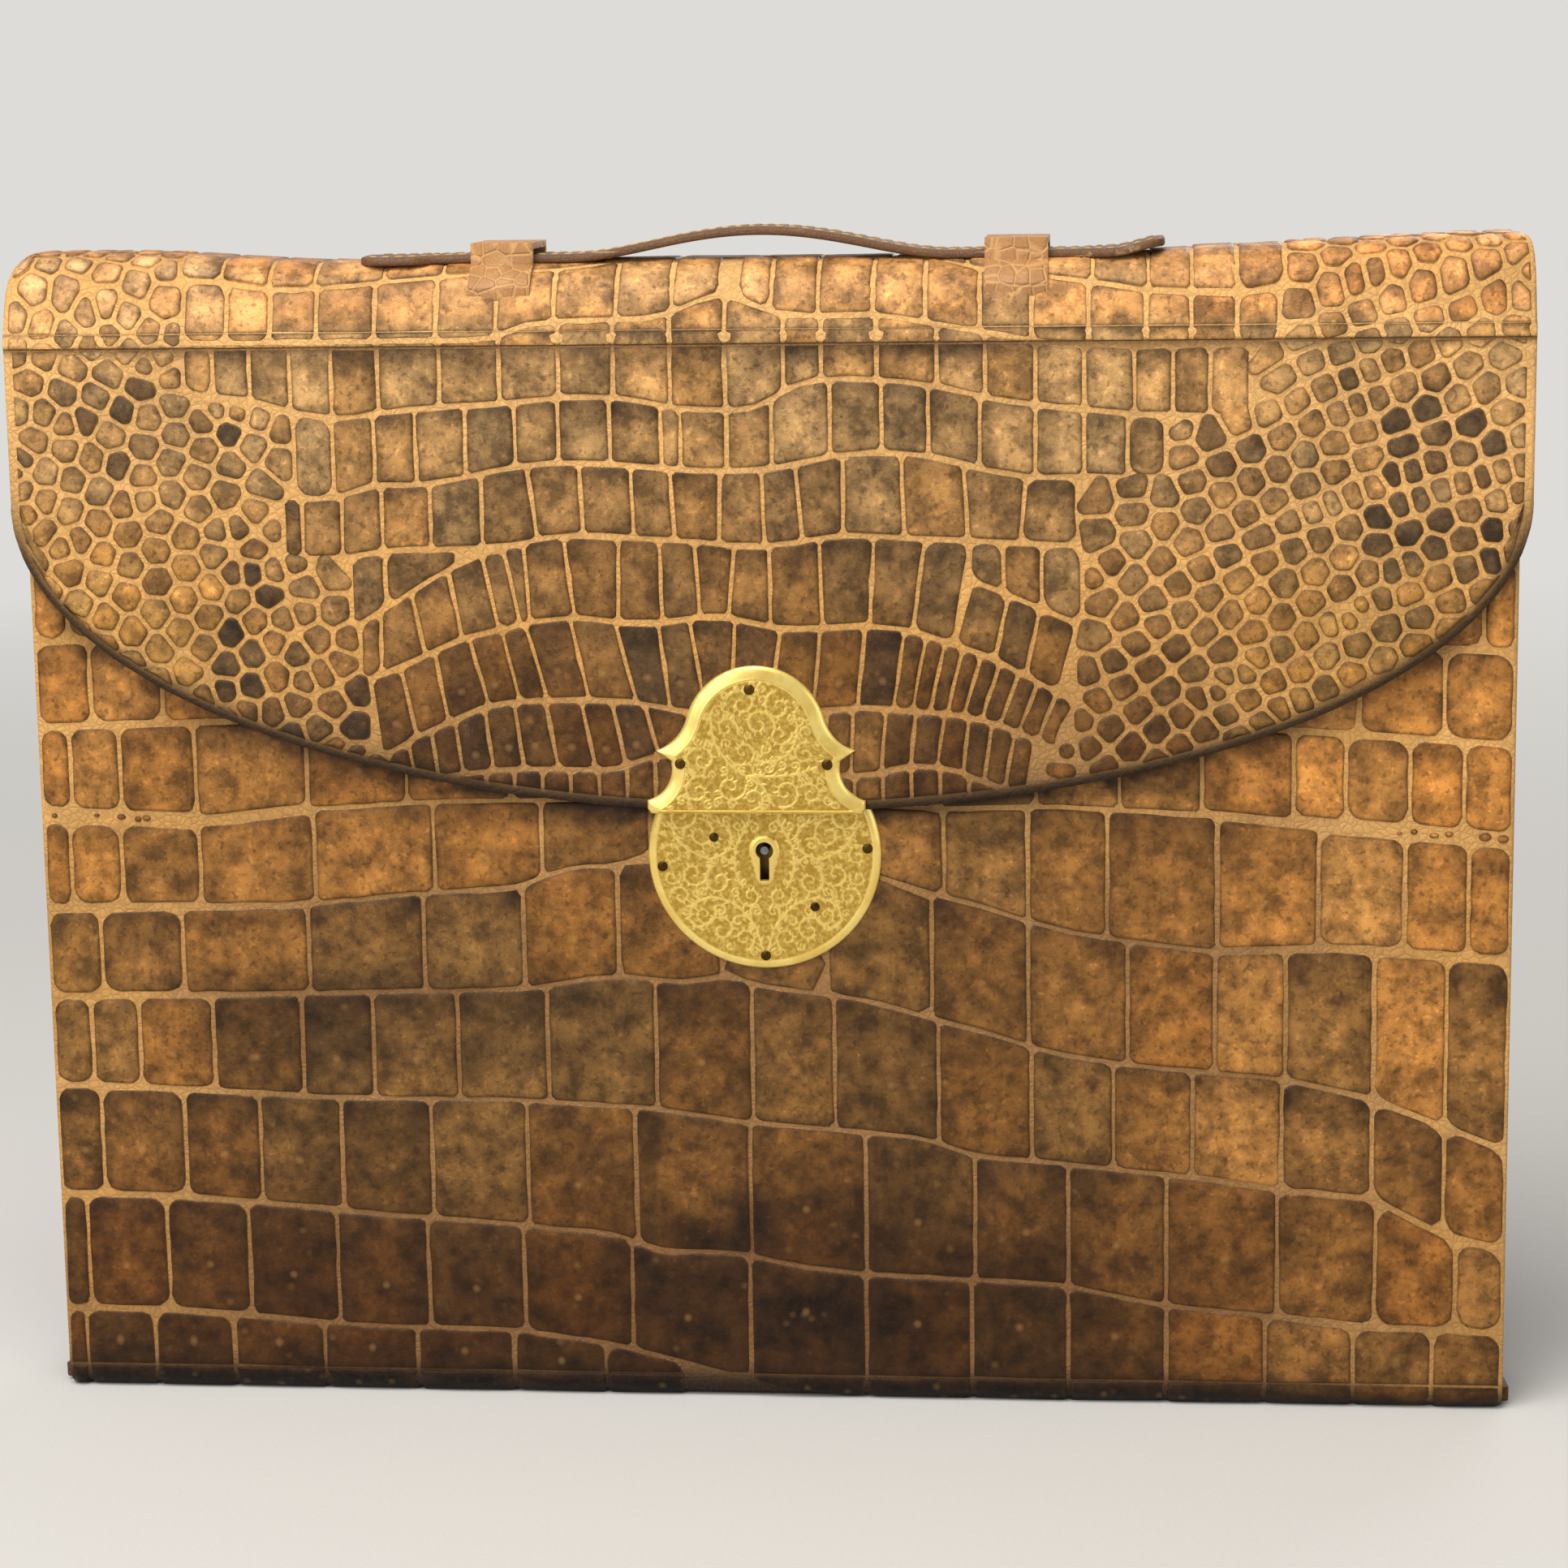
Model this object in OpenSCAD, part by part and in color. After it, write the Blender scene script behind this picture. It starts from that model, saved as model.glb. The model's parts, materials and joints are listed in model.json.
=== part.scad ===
// A flap-over writing case: one long crocodile hide is wrapped over stiff boards, from the
// front, under the base, up the back and over the top to the flap, which locks in front.
// X runs along the width, -Y is the front, +Z is up, and the case stands on Z = 0.
// Inside the modules Y is counted from the flap's outer face; centred() moves it to the middle.

/* [Case] */
// Width of the front, the base and the back
body_w = 360; // [320:1:420]
// Height of the top above the table
case_h = 281.5; // [262:0.5:330]
// Depth from the flap's outer face to the back's outer face
case_d = 36; // [34:0.5:44]
// Radius of the folds at the back of the base and of the top
corner_r = 5; // [4.6:0.1:8]

/* [Leather and boards] */
// Thickness of the crocodile hide
hide_t = 1.5; // [1:0.1:1.8]
// Thickness of the boards in the front, base, back and top
board_t = 2.4; // [1.6:0.1:2.8]
// Thickness of the lining leather
lining_t = 0.5; // [0.3:0.1:0.7]
// How far the linings stay back from the panels' edges
lining_margin = 3; // [2.2:0.2:6]

/* [Top] */
// How far the top and the flap stand past the body on each side
top_overhang = 2.5; // [0:0.5:6]
// Height from the flap's crease to the top
crease_drop = 17; // [14:0.5:24]
// How far the hide above the crease leans back, in degrees
crease_lean = 15; // [8:1:25]
// Radius of the rounded brow between the crease and the top
brow_r = 14; // [10:0.5:15]
// Half the height of the thin folding band at the crease
crease_band = 1.8; // [1.2:0.1:2.6]

/* [Flap] */
// Length of the flap's straight sides below the crease
flap_side = 40; // [20:1:60]
// Depth of the half oval below them
flap_bow = 74.5; // [55:0.5:90]
// Thickness of the card that stiffens the flap
card_t = 0.8; // [0.5:0.1:1.2]
// Room between the closed flap and the front, which the lock plate fills
flap_gap = 1.9; // [1.8:0.1:3]

/* [Front] */
// How far the front's top edge lies below the crease
front_drop = 26; // [20:1:40]
// How far the front's hide rolls under at the base, in degrees
front_roll = 72; // [55:1:74]

/* [Handle] */
// Length of the strap from end to end
strap_len = 193; // [180:1:215]
// Width of the strap
strap_w = 18; // [12:0.5:20]
// Thickness of the strap
strap_t = 2.2; // [1.6:0.1:3]
// Width of the spade-shaped ends that stop the strap in its loops
spade_w = 24.5; // [21:0.5:26]
// How high the strap bows above its loops
strap_bow = 5.6; // [4.8:0.1:9]
// How far the strap slides each way in its loops
strap_slide = 8; // [4:0.5:9]
// Distance of the strap's centre line from the flap's outer face
strap_y = 19.5; // [19:0.25:20.5]
// How far the strap reaches past the middle of each loop
strap_end = 35; // [31:0.5:42]
// Width of a loop along the case
loop_w = 15; // [10:0.5:18]
// Thickness of the loops' leather
loop_t = 1.6; // [1:0.1:2]
// Room above the strap inside a loop
loop_room = 1.2; // [0.6:0.1:2]

/* [Lock] */
// Radius of the round lock plate
plate_r = 28.5; // [26:0.25:32]
// Thickness of the lock plate
plate_t = 1.5; // [1.1:0.1:1.7]
// Distance from the flap's lower edge down to the lock's centre
lock_drop = 11; // [9.5:0.5:13]
// Radius of the keyhole's round part
keyhole_r = 2.15; // [1.8:0.05:2.6]
// Length of the keyhole below its round part
key_slot = 7.4; // [5.5:0.1:9]
// Outer radius of the drum that holds the lock's works
drum_r = 24; // [23.6:0.1:25]
// Depth of the drum behind the plate
drum_d = 7; // [6.8:0.1:7.6]
// How far the bolt travels when the key turns
bolt_throw = 4.4; // [4:0.1:4.8]
// Thickness of the bolt
bolt_t = 2.2; // [1.6:0.1:2.3]

/* [Hasp plate] */
// Height of the hasp plate
hasp_h = 36.2; // [35:0.1:38]
// Radius of its round head
hasp_head_r = 17.3; // [16.5:0.1:18.5]
// Width between the two pointed shoulders
hasp_shoulder_w = 48.2; // [46:0.1:51]
// Width of the waist below the shoulders
hasp_waist_w = 40.8; // [39:0.1:42.5]
// Width of the foot
hasp_foot_w = 53; // [51:0.1:56]
// Thickness of the hasp plate
hasp_t = 1.8; // [1.4:0.1:2.4]
// Width of the polished bevel round it
hasp_bevel = 3.2; // [2:0.1:3.6]
// How far the hand-fitted plate sits to the left of its staple
hasp_shift = 1.4; // [0:0.1:2]

/* [Inside] */
// Height of the divider board
divider_h = 222; // [205:1:228]
// Distance from the flap's outer face to the front of the divider
divider_y = 22; // [21.6:0.1:22.6]
// Height of the writing board with its blotting paper
blotter_h = 198; // [150:1:200]
// Room at each side of the writing board, where the gussets fold in
blotter_room = 30; // [22:1:60]
// Length of the sides of the writing board's leather corners
corner_leg = 32; // [20:1:45]
// Bore of the pen loops
pen_bore = 9; // [8:0.25:9.5]

/* [Hidden] */
$fn = 64;
// Clearance between pieces that move past each other
clear = 0.3;
// Clearance of a pin in its hole
pin_clear = 0.03;
// A little more than nothing, so that a cut runs past a face
past = 0.5;
// Longer than any part of the case
beyond = 600;

// Widths, heights and depths that several pieces share
top_w = body_w + 2 * top_overhang;
blotter_w = body_w - 2 * blotter_room;
panel_t = hide_t + board_t + lining_t;
crease_z = case_h - crease_drop;
flap_t = hide_t + card_t + lining_t;
flap_oval_z = crease_z - flap_side;
flap_low_z = flap_oval_z - flap_bow;
front_y = flap_t + flap_gap;
fold_y = front_y + panel_t;
fold_z = panel_t;
front_top_z = crease_z - front_drop;
back_in_y = case_d - panel_t;
lock_z = flap_low_z - lock_drop;
brow_z = case_h - brow_r;
brow_y = (brow_z + brow_r * sin(crease_lean) - crease_z) * tan(crease_lean) + brow_r * cos(crease_lean);
strap_z = case_h + clear;

// The deepest thing in front is a hasp pin's head
pin_head_h = 0.5;
front_most_y = -hasp_t - pin_head_h;
mid_y = (front_most_y + case_d) / 2;

// Points along an arc about c, in n steps
function arc_pts(c, r, a0, a1, n) = [for (i = [0:n]) let(a = a0 + (a1 - a0) * i / n) c + r * [cos(a), sin(a)]];
function reversed(list) = [for (i = [len(list) - 1:-1:0]) list[i]];
function mirrored_x(list) = [for (p = list) [-p[0], p[1]]];

// Moves what is drawn from the flap's outer face to the middle of the depth
module centred() {
    translate([0, -mid_y, 0]) children();
}

// Turns a profile drawn in Y and Z into a bar along X
module along_x(width) {
    rotate([90, 0, 90]) linear_extrude(height = width, center = true) children();
}

// Turns an outline drawn in X and Z into a sheet from y0 to y1
module sheet(y0, y1) {
    translate([0, y1, 0]) rotate([90, 0, 0]) linear_extrude(height = y1 - y0) children();
}

// A rod along Y, from y0 to y1, at a place in X and Z
module rod(r, y0, y1, at = [0, 0]) {
    translate([at[0], y1, at[1]]) rotate([90, 0, 0]) cylinder(r = r, h = y1 - y0);
}

// The wrap: one contour from the base, up the back, over the top and down to the crease.
// d is the depth inside the hide's outer face, and back is how far both ends stay back.
function wrap_line(d, back = 0) =
    let(end_z = crease_z + crease_band + back)
    concat([[fold_y + back, d]],
           arc_pts([case_d - corner_r, corner_r], corner_r - d, -90, 0, 8),
           arc_pts([case_d - corner_r, case_h - corner_r], corner_r - d, 0, 90, 8),
           arc_pts([brow_y, brow_z], brow_r - d, 90, 180 - crease_lean, 14),
           [[d / cos(crease_lean) + (end_z - crease_z) * tan(crease_lean), end_z]]);

module wrap_layer(d0, d1, back = 0) {
    polygon(concat(wrap_line(d0, back), reversed(wrap_line(d1, back))));
}

// The wrap's plan: as wide as the back behind, and as wide as the flap at the crease
module plan_above_crease(inset) {
    back_x = body_w / 2 - inset;
    front_x = top_w / 2 - inset;
    translate([0, 0, crease_z])
        linear_extrude(height = case_h)
            polygon([[-back_x, case_d + past], [back_x, case_d + past], [front_x, 0], [front_x, -past],
                     [-front_x, -past], [-front_x, 0]]);
}

module wrap_shell(d0, d1, inset = 0, back = 0) {
    intersection() {
        along_x(body_w - 2 * inset) wrap_layer(d0, d1, back);
        translate([-beyond / 2, -beyond / 2, -past]) cube([beyond, beyond, crease_z + past]);
    }
    intersection() {
        along_x(top_w - 2 * inset) wrap_layer(d0, d1, back);
        plan_above_crease(inset);
    }
}

// The hide round the base, back and top, with its edges turned in beside the boards
module case_hide() {
    color("peru") centred() difference() {
        wrap_shell(0, hide_t + board_t);
        wrap_shell(hide_t, hide_t + board_t + past, hide_t, hide_t);
    }
}

// The space that the wrap's boards lie in
module board_shell() {
    wrap_shell(hide_t, hide_t + board_t, hide_t, hide_t);
}

module base_board() {
    color("tan") centred() intersection() {
        board_shell();
        translate([-beyond / 2, 0, 0]) cube([beyond, case_d - corner_r, panel_t]);
    }
}

module back_board() {
    color("tan") centred() intersection() {
        board_shell();
        translate([-beyond / 2, back_in_y, corner_r]) cube([beyond, panel_t, case_h - 2 * corner_r]);
    }
}

module top_board() {
    color("tan") centred() intersection() {
        board_shell();
        translate([-beyond / 2, 0, crease_z]) cube([beyond, case_d - corner_r, crease_drop]);
    }
}

module case_lining() {
    color("maroon") centred() wrap_shell(hide_t + board_t, panel_t, lining_margin, lining_margin);
}

// The folding band of bare hide between the top and the flap, with its pressed groove
module flap_crease() {
    groove = 0.4;
    low = crease_z - crease_band;
    high = crease_z + crease_band;
    color("sienna") centred() along_x(top_w)
        polygon([[0, low], [hide_t, low],
                 [hide_t / cos(crease_lean) + crease_band * tan(crease_lean), high],
                 [crease_band * tan(crease_lean), high],
                 [groove, crease_z]]);
}

// Gussets: a leather fold on each side that lets the front swing out
gusset_t = 0.9;
// A slanting wall is this much thicker when it is measured along X
slant_share = 1.4;
gusset_fold = 12;
gusset_flange = 8;
gusset_out_x = body_w / 2 - lining_margin;
gusset_drop = 6;
gusset_top_z = front_top_z - gusset_drop;

// The right gusset: a V in plan, with a flange along the front's lining and one along the back's
module gusset() {
    x0 = gusset_out_x;
    x1 = gusset_out_x - gusset_fold;
    skin = gusset_t * slant_share;
    mid = (fold_y + back_in_y) / 2;
    color("saddlebrown") centred()
        translate([0, 0, panel_t]) linear_extrude(height = gusset_top_z - panel_t) {
            polygon([[x0, fold_y], [x0, fold_y + gusset_t], [x1, mid], [x0, back_in_y - gusset_t], [x0, back_in_y],
                     [x0 - gusset_flange, back_in_y], [x0 - gusset_flange, back_in_y - gusset_t],
                     [x0 - skin, back_in_y - gusset_t], [x1 - skin, mid], [x0 - skin, fold_y + gusset_t],
                     [x0 - gusset_flange, fold_y + gusset_t], [x0 - gusset_flange, fold_y]]);
        }
}

module left_gusset() { mirror([1, 0, 0]) gusset(); }
module right_gusset() { gusset(); }

// Inside: a divider, a pocket on the back, pen loops and a writing board with blotting paper
divider_side_room = 3;
divider_w = 2 * (gusset_out_x - gusset_fold - divider_side_room);
divider_board_t = 1.6;
divider_skin = 0.5;
divider_t = divider_board_t + 2 * divider_skin;

module divider_block(inset) {
    translate([-divider_w / 2 + inset, divider_y + inset, panel_t + inset])
        cube([divider_w - 2 * inset, divider_t - 2 * inset, divider_h - 2 * inset]);
}

module divider_board() {
    color("tan") centred() divider_block(divider_skin);
}

module divider_cover() {
    color("maroon") centred() difference() {
        divider_block(0);
        divider_block(divider_skin);
    }
}

pocket_w = 300;
pocket_h = 122;
pocket_t = 0.7;
pocket_seam = 4;
pocket_lift = 3;
pocket_z = panel_t + pocket_lift;

module back_pocket() {
    color("brown") centred() difference() {
        translate([-pocket_w / 2, back_in_y - 2 * pocket_t, pocket_z]) cube([pocket_w, 2 * pocket_t, pocket_h]);
        translate([-pocket_w / 2 + pocket_seam, back_in_y - pocket_t, pocket_z + pocket_seam])
            cube([pocket_w - 2 * pocket_seam, pocket_t + past, pocket_h]);
    }
}

pen_loop_t = 0.8;
pen_loop_w = 14;
pen_loop_x = 48;
pen_drop = 12;
pen_z = panel_t + divider_h - pen_drop;
pen_y = divider_y - pen_loop_t - pen_bore / 2;
pen_flange_h = 17;

module pen_loop() {
    difference() {
        union() {
            rotate([0, 90, 0]) cylinder(r = pen_bore / 2 + pen_loop_t, h = pen_loop_w, center = true);
            translate([-pen_loop_w / 2, pen_bore / 2, -pen_flange_h / 2])
                cube([pen_loop_w, pen_loop_t, pen_flange_h]);
        }
        rotate([0, 90, 0]) cylinder(r = pen_bore / 2, h = pen_loop_w + 2 * past, center = true);
    }
}

module pen_loops() {
    color("brown") centred() for (side = [-1, 1])
        translate([side * pen_loop_x, pen_y, pen_z]) pen_loop();
}

writing_board_t = 1.6;
paper_t = 0.7;
corner_skin = 0.5;
writing_y = divider_y - clear - corner_skin - writing_board_t;
writing_z = panel_t + corner_skin;
paper_margin = 2;

module writing_board() {
    color("darkred") centred()
        translate([-blotter_w / 2, writing_y, writing_z]) cube([blotter_w, writing_board_t, blotter_h]);
}

module blotting_paper() {
    color("mistyrose") centred()
        translate([-blotter_w / 2 + paper_margin, writing_y - paper_t, writing_z + paper_margin])
            cube([blotter_w - 2 * paper_margin, paper_t, blotter_h - 2 * paper_margin]);
}

// One leather corner, a flat three-sided pocket, drawn at the board's lower left
module board_corner() {
    difference() {
        sheet(writing_y - paper_t - corner_skin, writing_y + writing_board_t + corner_skin)
            polygon([[-corner_skin, -corner_skin], [corner_leg, -corner_skin], [-corner_skin, corner_leg]]);
        sheet(writing_y - paper_t, writing_y + writing_board_t) square(2 * corner_leg);
    }
}

module board_corners() {
    middle_z = writing_z + blotter_h / 2;
    color("brown") centred() translate([0, 0, middle_z])
        for (flip_x = [0, 1], flip_z = [0, 1])
            mirror([flip_x, 0, 0]) mirror([0, 0, flip_z])
                translate([-blotter_w / 2, 0, -blotter_h / 2]) board_corner();
}

// Handle loops: bands over the strap, sewn to the top in front and behind
loop_pitch = strap_len - 2 * strap_end;
loop_side_room = 0.4;
loop_in_w = strap_w + 2 * loop_side_room;
loop_out_w = loop_in_w + 2 * loop_t;
loop_in_top = strap_z + strap_t + loop_room;
loop_tab_front = 2.5;
loop_tab_back_room = 1.5;
loop_tab_back = case_d - loop_tab_back_room;

module case_section(d) {
    polygon(wrap_line(d));
}

module loop_section() {
    difference() {
        union() {
            intersection() {
                case_section(-loop_t);
                translate([loop_tab_front, case_h - brow_r]) square([loop_tab_back - loop_tab_front, 2 * brow_r]);
            }
            translate([strap_y - loop_out_w / 2, case_h - brow_r])
                square([loop_out_w, brow_r + loop_in_top + loop_t - case_h]);
        }
        translate([strap_y - loop_in_w / 2, case_h - brow_r]) square([loop_in_w, loop_in_top - case_h + brow_r]);
        case_section(0);
    }
}

module handle_loop(side) {
    color("goldenrod") centred() translate([side * loop_pitch / 2, 0, 0]) along_x(loop_w) loop_section();
}

module left_handle_loop() { handle_loop(-1); }
module right_handle_loop() { handle_loop(1); }

// The strap: flat where it passes the loops, bowed between them, with spade-shaped ends
bow_half = loop_pitch / 2 - loop_w / 2 - strap_slide;
shoulder_room = 1;
shoulder_x = loop_pitch / 2 + loop_w / 2 + strap_slide + shoulder_room;
shoulder_taper = 4.5;
spade_corner = 6;
strap_steps = 48;

function bow_at(x) = abs(x) < bow_half ? strap_bow * pow(1 - pow(x / bow_half, 2), 2) : 0;
function strap_edge(z) = [for (i = [0:strap_steps])
                          let(x = -bow_half + 2 * bow_half * i / strap_steps) [x, z + bow_at(x)]];

module strap_side() {
    polygon(concat([[-strap_len / 2, strap_z]], strap_edge(strap_z), [[strap_len / 2, strap_z]],
                   [[strap_len / 2, strap_z + strap_t]], reversed(strap_edge(strap_z + strap_t)),
                   [[-strap_len / 2, strap_z + strap_t]]));
}

module strap_plan() {
    corner = [strap_len / 2 - spade_corner, spade_w / 2 - spade_corner];
    quarter = concat([[0, strap_w / 2], [shoulder_x, strap_w / 2], [shoulder_x + shoulder_taper, spade_w / 2]],
                     arc_pts(corner, spade_corner, 90, 0, 8));
    half = concat(quarter, [for (p = reversed(quarter)) [p[0], -p[1]]]);
    polygon(concat(half, reversed(mirrored_x(half))));
}

module handle_strap() {
    color("burlywood") centred() translate([0, strap_y, 0]) intersection() {
        translate([0, spade_w / 2, 0]) rotate([90, 0, 0]) linear_extrude(height = spade_w) strap_side();
        translate([0, 0, case_h - past]) linear_extrude(height = 2 * brow_r) strap_plan();
    }
}

// The front panel: its hide is a tray over the board and rolls under at the fold. Where a layer
// stays back, each millimetre takes some degrees off the roll.
roll_per_mm = 12;

function front_line(d, back = 0) =
    concat(arc_pts([fold_y, fold_z], panel_t - d, 180 + front_roll - back * roll_per_mm, 180, 10),
           [[front_y + d, front_top_z - back]]);

module front_layer(d0, d1, back = 0) {
    polygon(concat(front_line(d0, back), reversed(front_line(d1, back))));
}

module drum_hole(y0, y1) {
    rod(drum_r + clear / 3, y0, y1, [0, lock_z]);
}

module front_hide() {
    color("sienna") centred() difference() {
        along_x(body_w) front_layer(0, hide_t + board_t);
        along_x(body_w - 2 * hide_t) front_layer(hide_t, hide_t + board_t + past / 4, hide_t);
        drum_hole(front_y - past, fold_y);
        plate_pin_places() rod(pin_r + pin_clear, front_y - past, fold_y);
    }
}

module front_board() {
    color("tan") centred() difference() {
        along_x(body_w - 2 * hide_t) front_layer(hide_t, hide_t + board_t, hide_t);
        drum_hole(front_y, fold_y + past);
        plate_pin_places() rod(pin_r + pin_clear, front_y, front_y + pin_depth);
    }
}

module front_lining() {
    color("maroon") centred() difference() {
        translate([-body_w / 2 + lining_margin, front_y + hide_t + board_t, fold_z + lining_margin])
            cube([body_w - 2 * lining_margin, lining_t, front_top_z - fold_z - 2 * lining_margin]);
        drum_hole(front_y, fold_y + past);
    }
}

// A leather disc that covers the drum on the inside
pad_t = 0.8;
pad_margin = 3;

module lock_pad() {
    color("maroon") centred() rod(drum_r + pad_margin, front_y + drum_d, front_y + drum_d + pad_t, [0, lock_z]);
}

// The lock plate: round, with a bevelled rim, a slot for the staple and a raised keyhole lip
pin_r = 0.7;
pin_in_board = 1.6;
pin_depth = hide_t + pin_in_board;
pin_head_r = 1.3;
plate_pin_head_h = 0.35;
plate_pin_margin = 3.3;
plate_pin_r = plate_r - plate_pin_margin;
plate_pin_angles = [3.5, 90, 187, 270];
rim_edge = 0.6;
rim_step = [0.6, 0.55];
rim_bevel = 1.9;
key_z = 0.9;
key_slot_w = 2.3;
key_lip_r = 3.6;
key_lip_h = 0.3;
key_lip_taper = 0.62;
rivet_r = 1;
rivet_head_h = 0.25;
rivet_places = [[-12.3, 4.2], [12.2, -13]];
staple_z = 16.5;
staple_t = 2.4;
staple_h = 7.6;
staple_play = [1, 1.2];
staple_slot = [staple_t + staple_play[0], staple_h + staple_play[1]];

// The four edge pins, at the left, right, top and bottom of the plate
module plate_pin_places() {
    for (a = plate_pin_angles)
        translate([plate_pin_r * cos(a), 0, lock_z + plate_pin_r * sin(a)]) children();
}

module keyhole() {
    translate([0, key_z]) circle(r = keyhole_r);
    translate([-key_slot_w / 2, key_z - key_slot]) square([key_slot_w, key_slot]);
}

// The lip is drop shaped: a large arc over the round of the keyhole, a small one under the slot
module keyhole_lip() {
    tip_r = key_lip_r * key_lip_taper;
    tip_z = key_z - key_slot + tip_r / 2;
    a = asin((key_lip_r - tip_r) / (key_z - tip_z));
    polygon(concat(arc_pts([0, key_z], key_lip_r, -a, 180 + a, 24),
                   arc_pts([0, tip_z], tip_r, 180 + a, 360 - a, 10)));
}

module lock_plate() {
    color("gold") centred() difference() {
        union() {
            translate([0, front_y, lock_z]) rotate([90, 0, 0])
                rotate_extrude() polygon([[0, 0], [plate_r, 0], [plate_r, rim_edge],
                                          [plate_r - rim_step[0], rim_edge + rim_step[1]],
                                          [plate_r - rim_bevel, plate_t], [0, plate_t]]);
            translate([0, 0, lock_z])
                sheet(front_y - plate_t - key_lip_h, front_y - plate_t + past / 2) keyhole_lip();
        }
        translate([0, 0, lock_z]) sheet(front_y - 2 * plate_t - past, front_y + past) {
            keyhole();
            translate([-staple_slot[0] / 2, staple_z - staple_slot[1] / 2]) square(staple_slot);
        }
        plate_pin_places() rod(pin_r + pin_clear, front_y - 2 * plate_t, front_y + past);
        for (p = rivet_places)
            rod(rivet_r + pin_clear, front_y - 2 * plate_t, front_y + past, [p[0], lock_z + p[1]]);
    }
}

// A pin with a domed head whose underside lies at y0 and whose shank runs back from it
module domed_pin(shank_r, head_r, head_h, y0, length) {
    dome_r = (head_r * head_r + head_h * head_h) / (2 * head_h);
    translate([0, y0, 0]) rotate([90, 0, 0]) {
        intersection() {
            translate([0, 0, head_h - dome_r]) sphere(r = dome_r, $fn = 32);
            cylinder(r = head_r, h = head_h);
        }
        translate([0, 0, -length]) cylinder(r = shank_r, h = length + head_h / 4);
    }
}

module lock_plate_pins() {
    color("goldenrod") centred() plate_pin_places()
        domed_pin(pin_r, pin_head_r, plate_pin_head_h, front_y - plate_t, plate_t + pin_depth);
}

module lock_rivets() {
    color("darkgoldenrod") centred() for (p = rivet_places)
        rod(rivet_r, front_y - plate_t - rivet_head_h, front_y + drum_d - drum_wall, [p[0], lock_z + p[1]]);
}

// The drum: a shallow cup behind the plate with stumps that guide the bolt and a ward ring
drum_wall = 1;
bolt_inset = 1.5;
bolt_y = front_y + bolt_inset;
stump_r = 1.1;
stump_at = [6.4, 9.8];
spring_stop_r = 1.2;
spring_stop_at = [8.5, 15.4];
ward_r = 4.6;
ward_t = 0.8;
ward_h = 2.4;
ward_gap_half = 40;
key_pin_r = 1;

module lock_drum() {
    floor_y = front_y + drum_d - drum_wall;
    color("darkkhaki") centred() translate([0, 0, lock_z]) {
        difference() {
            rod(drum_r, front_y, front_y + drum_d);
            rod(drum_r - drum_wall, front_y - past, floor_y);
        }
        rod(stump_r, bolt_y - clear, floor_y + past / 2, stump_at);
        rod(spring_stop_r, bolt_y, floor_y + past / 2, spring_stop_at);
        difference() {
            rod(ward_r, floor_y - ward_h, floor_y + past / 2, [0, key_z]);
            rod(ward_r - ward_t, floor_y - ward_h - past, floor_y + past, [0, key_z]);
            translate([0, 0, key_z]) sheet(floor_y - ward_h - past, floor_y)
                polygon([[0, 0], 2 * ward_r * [sin(ward_gap_half), -cos(ward_gap_half)],
                         2 * ward_r * [-sin(ward_gap_half), -cos(ward_gap_half)]]);
        }
    }
}

module key_pin() {
    color("silver") centred()
        rod(key_pin_r, front_y - plate_t + clear, front_y + drum_d - drum_wall, [0, lock_z + key_z]);
}

// The bolt hooks round the staple's place: a body with the key's notch and the guide slot,
// an arm at the left, and a head that the key throws through the staple's eye
bolt_head_h = 3.8;
bolt_gap = 0.8;
bolt_left = -11.5;
bolt_right = 10.5;
bolt_low = 6.4;
bolt_high = 12.4;
bolt_arm_w = 4.5;
key_notch_w = 4.6;
key_notch_h = 2.4;
slot_play = 0.15;

module bolt_outline() {
    head_low = staple_z - bolt_head_h / 2;
    head_tip = -staple_t / 2 - bolt_gap;
    notch_x = -bolt_throw / 2 - key_notch_w / 2;
    difference() {
        union() {
            translate([bolt_left, bolt_low]) square([bolt_right - bolt_left, bolt_high - bolt_low]);
            translate([bolt_left, bolt_low]) square([bolt_arm_w, head_low + bolt_head_h - bolt_low]);
            translate([bolt_left, head_low]) square([head_tip - bolt_left, bolt_head_h]);
        }
        translate([notch_x, bolt_low - past]) square([key_notch_w, key_notch_h + past]);
        guide_slot();
    }
}

// The slot in which the stump guides the bolt, open by the throw on its left
module guide_slot() {
    r = stump_r + slot_play;
    translate(stump_at) circle(r = r);
    translate(stump_at - [bolt_throw, 0]) circle(r = r);
    translate(stump_at - [bolt_throw, r]) square([bolt_throw, 2 * r]);
}

module lock_bolt() {
    color("silver") centred() translate([0, 0, lock_z]) sheet(bolt_y, bolt_y + bolt_t) bolt_outline();
}

// A bowed leaf on the bolt's back edge that presses on the stop as the bolt slides
leaf_t = 0.4;
leaf_rise = 0.9;
leaf_x = [2.2, 10.2];

module bolt_spring() {
    half = (leaf_x[1] - leaf_x[0]) / 2;
    r = (half * half + leaf_rise * leaf_rise) / (2 * leaf_rise);
    a = asin(half / r);
    centre = [(leaf_x[0] + leaf_x[1]) / 2, bolt_high + leaf_rise - r];
    color("steelblue") centred() translate([0, 0, lock_z])
        sheet(bolt_y + leaf_t, bolt_y + bolt_t - leaf_t) difference() {
            polygon(concat(arc_pts(centre, r + leaf_t, 90 - a, 90 + a, 12),
                           reversed(arc_pts(centre, r, 90 - a, 90 + a, 12))));
            translate([leaf_x[0] - past, bolt_high - 1]) square([2 * half + 2 * past, 1]);
        }
}

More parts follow.
